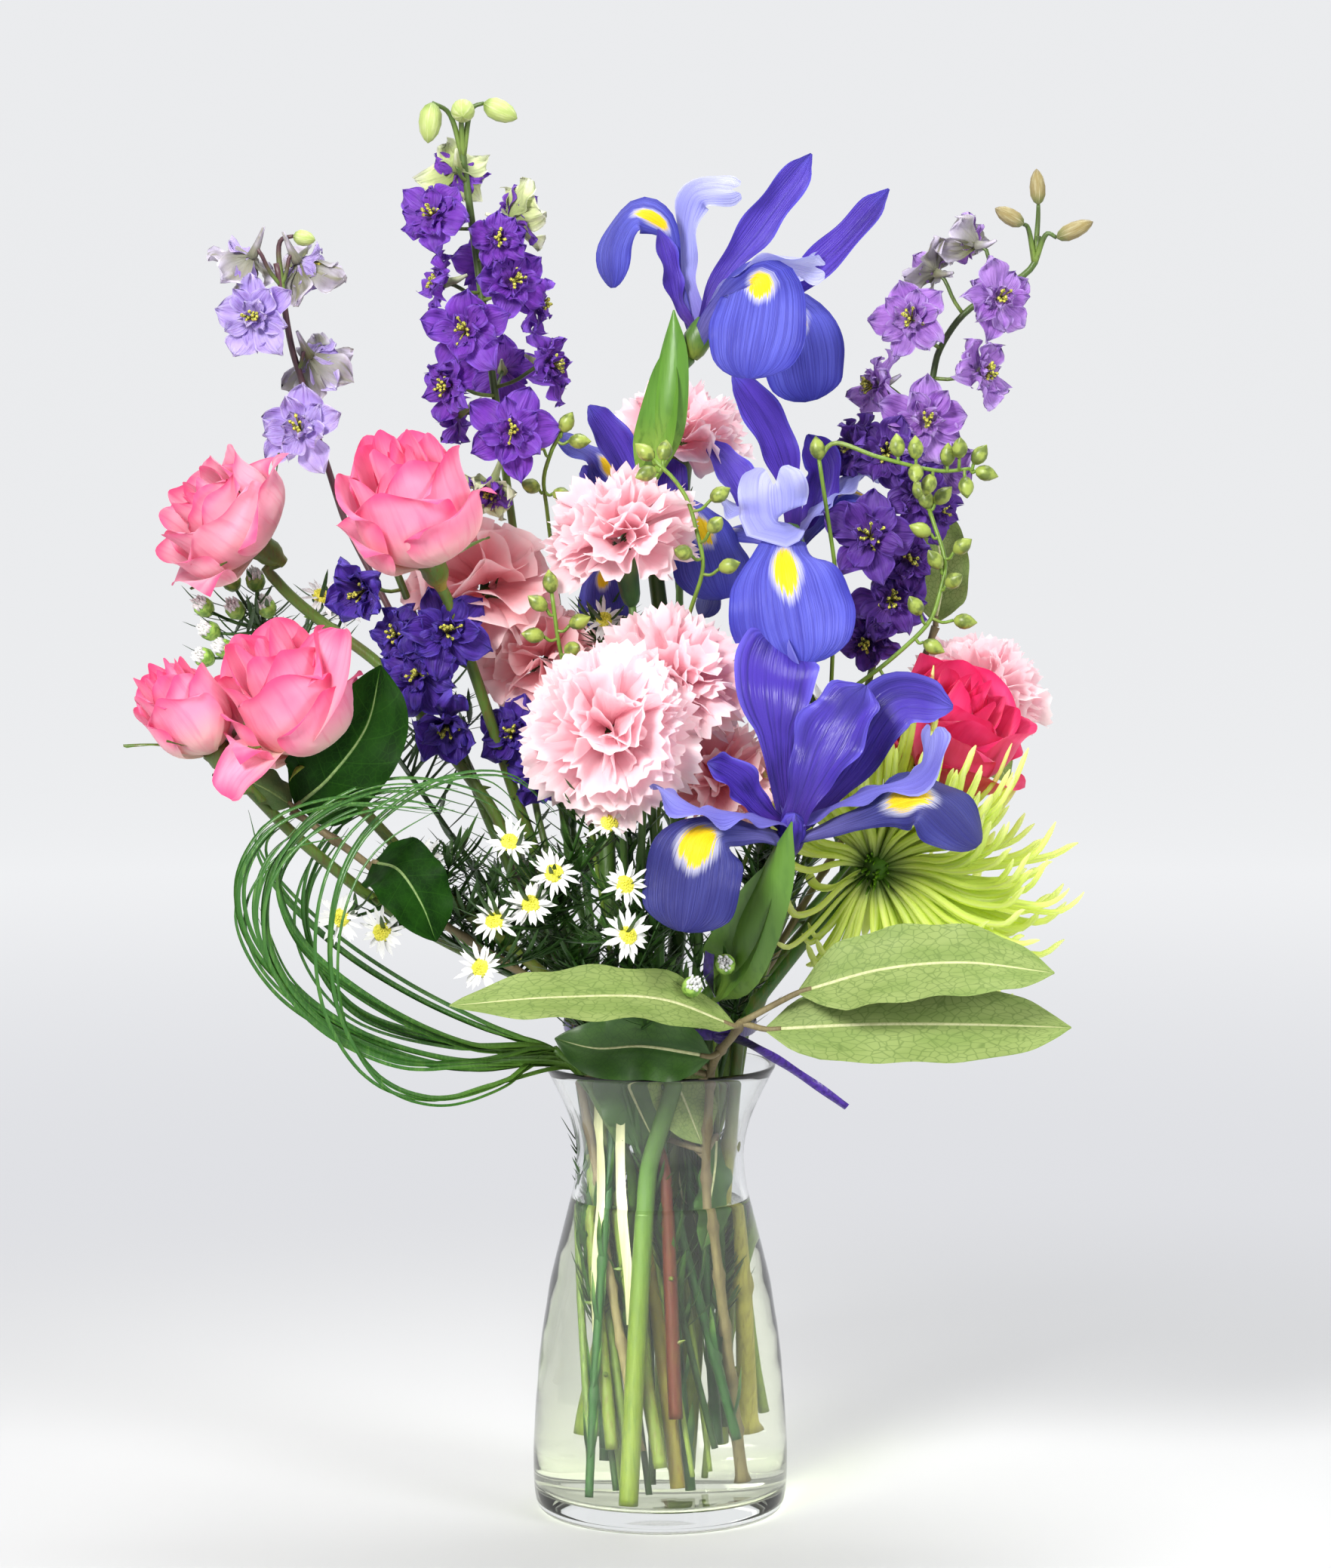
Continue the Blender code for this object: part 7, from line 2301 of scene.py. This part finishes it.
def build_larkspurs() -> None:
    """Makes the five larkspur spikes."""
    closed, deeper = Opening.CLOSED, Opening.DEEP
    lavender = larkspur_finish("larkspur_lavender", tint(240, 232, 246), tint(180, 156, 228),
                               tint(226, 216, 250), tint(138, 96, 190))
    purple = larkspur_finish("larkspur_purple", tint(158, 108, 196), tint(124, 58, 184), tint(140, 96, 216),
                             tint(78, 28, 134))
    violet = larkspur_finish("larkspur_violet", tint(224, 204, 236), tint(172, 116, 210),
                             tint(206, 180, 238), tint(112, 54, 160))
    dusk = larkspur_finish("larkspur_dusk", tint(150, 100, 184), tint(92, 48, 146), tint(124, 88, 196),
                           tint(54, 20, 100))
    deep = larkspur_finish("larkspur_deep", tint(84, 52, 150), tint(76, 40, 150), tint(96, 76, 200),
                           tint(36, 14, 90))
    back = PetalFinish(
        "larkspur_back", tint(104, 110, 50), tint(188, 172, 212), tint(230, 222, 242), tint(112, 112, 60),
        root_reach=1.5, rim_start=0.8, side_start=0.5, veins=3.0, depth=0.9, mottle=0.6, relief=0.8,
    ).make()
    lime_back = PetalFinish(
        "larkspur_lime_back", tint(130, 152, 62), tint(206, 216, 150), tint(236, 238, 214),
        tint(134, 150, 80), root_reach=0.8, rim_start=0.7, side_start=0.6, veins=4.0, depth=0.7, mottle=0.4,
        relief=0.7,
    ).make()
    stem = StemFinish("larkspur_stem", tint(110, 134, 56), tint(76, 100, 42), tint(60, 50, 40)).make()
    dark_stem = StemFinish("larkspur_dark_stem", tint(100, 124, 56), tint(84, 56, 60),
                           tint(56, 40, 50)).make()
    stamen = PlainFinish("larkspur_stamen", tint(214, 208, 84), tint(70, 84, 36), scale=1500.0).make()
    bud = PetalFinish(
        "larkspur_bud", tint(120, 146, 58), tint(186, 204, 118), tint(150, 172, 80), tint(228, 232, 180),
        root_reach=0.3, rim_start=0.8, side_start=0.95, veins=5.0, depth=0.6, glow=0.15,
    ).make()
    olive_bud = PetalFinish(
        "larkspur_olive_bud", tint(110, 124, 60), tint(156, 140, 88), tint(120, 104, 70), tint(206, 200, 160),
        root_reach=0.4, rim_start=0.8, side_start=0.95, veins=5.0, depth=0.6, glow=0.15,
    ).make()
    Larkspur("larkspur_1", 1.7, (-173, 30, 562), florets((
        ((-184, 26, 564), (-0.5, 0.5, -0.6), 19, closed), ((-181, 12, 537), (-0.2, -0.95, 0.1), 18),
        ((-163, 32, 562), (0.5, 0.5, -0.6), 21, closed), ((-158, 34, 520), (0.4, 0.7, -0.4), 21, closed),
        ((-161, 12, 487), (-0.2, -0.95, 0.2), 19),
    )), (lavender, dark_stem, stamen, bud, back), (
        TipBud((2, 0, 10), (8, -2, 12), (18, -4, 10), 3.6),
    )).build()
    Larkspur("larkspur_2", 1.9, (-90, 28, 620), florets((
        ((-91, 26, 603), (0.0, 0.8, -0.2), 18, closed), ((-101, 10, 582), (-0.4, -0.8, 0.3), 17),
        ((-68, 26, 582), (0.7, 0.3, 0.3), 18, closed), ((-66, 13, 553), (0.4, -0.9, 0.2), 17),
        ((-98, 20, 553), (-0.9, -0.2, 0.2), 15), ((-86, -2, 531), (-0.2, -0.95, 0.2), 19),
        ((-56, 26, 543), (0.9, -0.2, 0.1), 16), ((-50, 22, 516), (0.9, -0.4, 0.1), 16),
        ((-94, 6, 507), (-0.6, -0.8, 0.0), 16), ((-92, 22, 494), (-0.9, 0.1, -0.1), 14),
        ((-66, -2, 486), (0.1, -0.98, 0.1), 19), ((-78, 46, 562), (-0.2, 0.9, 0.2), 17),
        ((-72, 52, 514), (0.0, 0.95, 0.1), 17), ((-76, 18, 462), (-0.3, -0.5, -0.5), 16, closed),
        ((-72, 10, 572), (0.1, -0.9, 0.2), 13),
    )), (purple, stem, stamen, bud, lime_back), (
        TipBud((-5, -3, 9), (-12, -6, 13), (-14, -6, -5), 5.2),
        TipBud((1, -5, 8), (2, -9, 11), (2, -17, 6), 5.4),
        TipBud((6, -2, 11), (11, -3, 13), (26, -4, 6), 5.0),
    )).build()
    Larkspur("larkspur_3", 1.7, (170, 28, 574), florets((
        ((142, 28, 570), (-0.6, 0.5, 0.3), 17, closed), ((151, 10, 545), (0.3, -0.9, 0.2), 17),
        ((124, 32, 558), (-0.6, 0.5, 0.5), 17, closed), ((112, 6, 536), (-0.3, -0.9, 0.2), 18),
        ((97, 20, 507), (-0.9, -0.3, 0.1), 16), ((144, 16, 513), (0.7, -0.6, 0.1), 16),
        ((118, 2, 491), (0.0, -0.97, 0.2), 19), ((87, 14, 480), (-0.8, -0.5, 0.0), 16, deeper),
        ((128, 38, 470), (0.4, 0.8, 0.0), 16), ((93, -14, 440), (-0.2, -0.9, 0.3), 20, deeper),
        ((124, 20, 452), (0.7, -0.6, 0.0), 16, deeper), ((103, 2, 411), (0.1, -0.9, 0.1), 19, deeper),
        ((101, 2, 477), (-0.1, -0.95, 0.2), 17, deeper), ((115, -2, 459), (0.3, -0.9, 0.1), 15, deeper),
        ((110, -4, 430), (0.3, -0.9, -0.1), 14, deeper), ((93, 0, 393), (-0.3, -0.9, -0.3), 13, deeper),
    )), (violet, stem, stamen, olive_bud, back, dusk), (
        TipBud((0, 0, 8), (0, -1, 14), (-1, -1, 30), 3.6),
        TipBud((-5, -3, 4), (-7, -5, 5), (-20, -8, 12), 3.8),
        TipBud((4, -4, 1), (8, -5, -1), (24, -8, 6), 3.8),
    )).build()
    Larkspur("larkspur_4", 2.0, (-119, -3, 428), florets((
        ((-94, -32, 398), (0.2, -0.95, 0.2), 19), ((-131, -14, 416), (-0.5, -0.7, -0.2), 17, closed),
        ((-106, -30, 380), (-0.4, -0.9, 0.1), 19), ((-94, -26, 358), (0.1, -0.7, -0.6), 18, closed),
        ((-116, -20, 396), (-0.7, -0.7, 0.2), 15),
    )), (deep, stem, stamen, bud, deep)).build()
    Larkspur("larkspur_5", 1.8, (-62, 4, 368), florets((
        ((-66, -10, 352), (-0.2, -0.9, 0.2), 16), ((-54, -8, 334), (0.3, -0.9, 0.0), 15),
    )), (deep, stem, stamen, bud, deep)).build()


def build_bud_sprays() -> None:
    """Makes the five bud sprays."""
    bud = PlainFinish("spray_bud", tint(150, 166, 74), tint(96, 112, 46), scale=200.0, roughness=0.4).make()
    stalk = StemFinish("spray_stalk", tint(120, 140, 60), tint(110, 140, 48), tint(80, 104, 36)).make()
    sprays = (
        ("buds_1", (-3, -42, 474), ((-6, -46, 468), (2, -38, 478), (26, -50, 459), (24, -56, 446),
                                    (10, -56, 434), (30, -52, 428)), ()),
        ("buds_2", (-44, 4, 486), ((-36, 2, 482), (-55, 6, 482), (-58, 12, 462), (-44, 10, 458)), ()),
        ("buds_3", (-47, -52, 416), ((-53, -54, 412), (-55, -54, 398), (-35, -54, 404), (-38, -56, 392)), ()),
        ("buds_4", (70, -22, 474), ((140, -32, 476), (143, -30, 468), (134, -34, 462), (126, -32, 476),
                                    (118, -28, 463), (104, -30, 480), (112, -31, 479), (112, -33, 468),
                                    (131, -36, 479)),
         (((70, -22, 473), (76, -24, 481), (96, -30, 475), (123, -30, 469), (136, -30, 470)),)),
        ("buds_5", (119, -16, 452), ((115, -14, 460), (125, -16, 458), (133, -26, 436), (134, -30, 403),
                                     (112, -34, 410), (120, -34, 392), (104, -40, 376), (115, -20, 443),
                                     (121, -26, 430), (129, -30, 421)), ()),
    )
    for name, top, buds, branches in sprays:
        BudSpray(name, top, buds, (stalk, bud), branches).build()


def build_aster_sprays() -> None:
    """Makes the five aster sprays."""
    rays = PetalFinish(
        "aster_ray", tint(226, 232, 214), tint(250, 250, 248), tint(255, 255, 255), tint(226, 228, 226),
        root_reach=0.3, rim_start=0.9, veins=3.0, depth=0.3, roughness=0.55, sheen=0.1, variety=0.1,
    ).make()
    dome = PlainFinish("aster_dome", tint(240, 232, 84), tint(206, 204, 56)).make()
    leaf = StemFinish("aster_leaf", tint(34, 66, 18), tint(46, 84, 24), tint(20, 46, 12)).make()
    cup = PlainFinish("aster_cup", tint(150, 186, 84), tint(104, 146, 54), scale=400.0, roughness=0.5).make()
    asters = (
        ("asters_1", (-46, -74, 292), (
            (-64, -95, 311), (-45, -106, 299), (-55, -99, 285), (-15, -116, 295), (-14, -119, 274),
            (-70, -100, 278), (-76, -99, 258), (-22, -104, 320)), 980),
        ("asters_2", (-122, -46, 296), ((-120, -70, 270), (-138, -68, 276), (-104, -60, 300)), 620),
        ("asters_3", (-184, 6, 404), ((-152, 8, 412), (-142, 12, 406)), 260),
        ("asters_4", (-26, 2, 396), ((-25, -5, 402), (-44, 2, 380), (-30, 16, 404)), 620),
        ("asters_5", (70, -36, 354), ((70, -42, 366), (80, -34, 362)), 620),
    )
    shut = {"asters_3": ((-204, -5, 409), (-202, 0, 398), (-192, 0, 421), (-181, 2, 421), (-190, -3, 408),
                         (-196, 2, 390), (-176, -2, 409), (-205, 2, 386)),
            "asters_1": ((-30, -100, 331), (14, -96, 250)), "asters_5": ((28, -92, 259),)}
    for name, top, heads, needles in asters:
        AsterSpray(name, top, heads, (rays, dome, leaf, cup), needles, shut.get(name, ())).build()


def build_leaves() -> None:
    """Makes the three leafy branches."""
    dark = LeafFinish(
        "leaf_dark", tint(22, 58, 8), tint(10, 38, 4), tint(52, 96, 26), tint(36, 78, 16),
        side_veins=7.0, net_depth=0.25, roughness=0.55, specular=0.08,
    ).make()
    dark_under = LeafFinish(
        "leaf_dark_under", tint(96, 124, 74), tint(82, 112, 64), tint(150, 164, 110), tint(66, 92, 52),
        side_veins=7.0, net_depth=0.4, roughness=0.5, specular=0.4,
    ).make()
    pale_top = LeafFinish(
        "leaf_pale_top", tint(66, 104, 40), tint(50, 86, 32), tint(120, 144, 76), tint(42, 74, 28),
        side_veins=8.0, net_depth=0.4, roughness=0.4, specular=0.5,
    ).make()
    pale = LeafFinish(
        "leaf_pale_under", tint(146, 164, 96), tint(130, 152, 82), tint(200, 204, 146), tint(100, 124, 62),
        side_veins=6.0, net_depth=0.7, roughness=0.6, specular=0.25,
    ).make()
    wood = StemFinish("branch_bark", tint(132, 120, 84), tint(120, 108, 74), tint(88, 70, 50),
                      turn_at=0.4, roughness=0.6).make()
    rib_dark = PlainFinish("leaf_rib_dark", tint(120, 144, 84), tint(100, 126, 70), scale=600.0).make()
    rib_pale = PlainFinish("leaf_rib_pale", tint(204, 206, 156), tint(186, 190, 136), scale=600.0).make()
    under = UNDER_SHOWN
    Branch("leaves_1", (-160, -58, 322), 2.0, (
        Leaf(40, (0.2, -0.95, 0.2), ((-158, -58, 324), (-142, -76, 338), (-126, -78, 360), (-120, -74, 386))),
        Leaf(32, (0.3, -0.9, 0.2), ((-124, -64, 300), (-112, -82, 298), (-102, -88, 284), (-96, -88, 268))),
        Leaf(20, (-0.2, -0.6, 0.8), ((-160, -58, 324), (-172, -60, 332), (-184, -62, 337), (-194, -64, 338)),
             under),
    ), (dark, dark_under, wood, rib_dark), "leaf_dark").build()
    Branch("leaves_2", (35, -80, 232), 2.2, (
        Leaf(29, (0.0, -0.7, 0.7), ((32, -84, 231), (0, -101, 245), (-45, -111, 247), (-89, -116, 244)),
             under),
        Leaf(37, (0.0, -0.8, 0.6), ((60, -86, 246), (95, -95, 257), (130, -96, 260), (169, -92, 255)), under),
        Leaf(38, (0.0, -0.9, 0.5), ((46, -80, 229), (88, -86, 232), (132, -86, 232), (178, -74, 229)), under),
        Leaf(27, (0.1, -0.95, 0.2), ((2, -37, 216), (6, -34, 203), (12, -31, 188), (18, -28, 171)), under),
        Leaf(30, (-0.2, -0.95, 0.1), ((-20, -37, 213), (-14, -32, 198), (-8, -29, 184), (0, -26, 167))),
        Leaf(30, (0.2, -0.9, 0.2), ((22, -58, 214), (-8, -61, 219), (-28, -60, 218), (-46, -58, 222))),
        Leaf(22, (0.1, -0.95, 0.1), ((15, 9, 178), (16, 9, 160), (18, 8, 136), (21, 8, 106))),
        Leaf(17, (-0.3, -0.9, 0.1), ((5, 4, 174), (8, 4, 154), (12, 3, 128), (15, 3, 100))),
        Leaf(15, (0.4, -0.9, 0.1), ((25, -10, 172), (24, -13, 156), (21, -15, 138), (16, -16, 120))),
        Leaf(14, (-0.4, -0.9, 0.1), ((-7, -8, 172), (-5, -10, 156), (-1, -12, 140), (5, -13, 124))),
    ), (pale_top, pale, wood, rib_pale)).build()
    Branch("leaves_3", (125, 32, 398), 1.8, (
        Leaf(26, (-0.2, -0.9, 0.2), ((125, 32, 400), (128, 37, 418), (126, 40, 438), (120, 42, 456)), under),
        Leaf(24, (0.5, -0.8, 0.3), ((118, 32, 356), (134, 34, 352), (150, 38, 340), (160, 40, 326)), under),
    ), (pale_top, pale, wood, rib_pale)).build()


def build_grass(green: Material) -> None:
    """Makes the tuft of grass.

    Args:
        green: The finish of its foot.
    """
    finish = StemFinish("grass_blade", tint(96, 130, 50), tint(48, 96, 32), tint(96, 140, 60),
                        turn_at=0.2, roughness=0.35).make()
    cream = StemFinish("strip_cream", tint(206, 206, 156), tint(218, 217, 182), tint(184, 186, 130),
                       turn_at=0.3, roughness=0.5).make()
    strips = (((-27, -24, 190), (-26, -27, 150), (-27, -28, 115), (-26, -27, 86)),
              ((-17, -27, 196), (-17, -30, 150), (-13, -31, 110), (-12, -30, 90)))
    Grass((-47, -36, 214), (
        ((-83, -60, 220), (-126, -75, 243), (-156, -80, 271), (-164, -80, 298), (-149, -79, 322),
         (-116, -78, 337), (-75, -76, 330), (-54, -74, 312)),
        ((-86, -62, 212), (-139, -82, 231), (-175, -92, 265), (-181, -94, 292), (-167, -93, 316),
         (-138, -88, 326), (-95, -82, 322)),
        ((-83, -52, 208), (-124, -58, 219), (-161, -60, 243), (-177, -58, 275), (-170, -55, 302),
         (-143, -52, 320)),
        ((-69, -66, 204), (-97, -86, 200), (-121, -100, 212), (-138, -106, 243), (-139, -106, 286),
         (-126, -100, 316), (-95, -94, 338), (-65, -88, 340), (-46, -84, 324)),
        ((-90, -48, 218), (-135, -47, 233), (-155, -46, 264), (-154, -44, 290), (-138, -42, 316),
         (-111, -41, 332)),
        ((-77, -38, 224), (-112, -34, 240), (-146, -30, 262), (-172, -28, 289), (-178, -28, 308),
         (-165, -30, 320)),
        ((-77, -72, 214), (-112, -92, 217), (-148, -104, 239), (-166, -110, 270), (-164, -110, 300),
         (-147, -108, 322), (-118, -102, 334), (-86, -98, 334)),
    ), strips, (finish, green, cream)).build()


def build_chrysanthemum() -> None:
    """Makes the chrysanthemum."""
    green = StemFinish("chrysanthemum_stem", tint(168, 160, 74), tint(52, 96, 22), tint(104, 92, 40),
                       turn_at=0.5).make()
    lime = PetalFinish(
        "lime_quill", tint(96, 150, 22), tint(240, 250, 140), tint(250, 254, 200), tint(226, 246, 120),
        root_reach=0.26, rim_start=0.6, veins=2.0, depth=0.3, mottle=0.15, roughness=0.42, glow=0.62,
        sheen=0.1,
    ).make()
    heart = PetalFinish(
        "chrysanthemum_heart", tint(20, 44, 4), tint(52, 92, 8), tint(110, 156, 30), tint(34, 66, 8),
        root_reach=0.5, rim_start=0.7, veins=2.0, depth=0.3, glow=0.1, sheen=0.0,
    ).make()
    head = Head("chrysanthemum", (91, -43, 293), (0.80, -0.16, 0.58), 72, 30)
    Chrysanthemum(head, lime, green, heart).build()


def main() -> None:
    """Builds the studio and every piece of the bouquet, and reports each."""
    logging.basicConfig(level=logging.INFO, format="%(message)s", stream=sys.stdout)
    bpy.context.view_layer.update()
    Studio().build()
    vase = Vase()
    vase.build()
    Water(vase).build()
    satin = PlainFinish("ribbon_satin", tint(64, 34, 130), tint(44, 20, 100), scale=500.0, roughness=0.35,
                        sheen=0.3).make()
    Ribbon(satin).build()
    build_roses()
    carnation_green = StemFinish("carnation_stem", tint(38, 82, 34), tint(90, 128, 58), tint(30, 66, 30),
                                 turn_at=0.6).make()
    build_carnations(carnation_green)
    iris_green = StemFinish("iris_stem", tint(108, 126, 36), tint(72, 106, 36), tint(56, 88, 28),
                            turn_at=0.3).make()
    build_irises(iris_green)
    build_chrysanthemum()
    build_larkspurs()
    build_bud_sprays()
    build_aster_sprays()
    build_leaves()
    build_grass(iris_green)


if __name__ == "__main__":
    main()
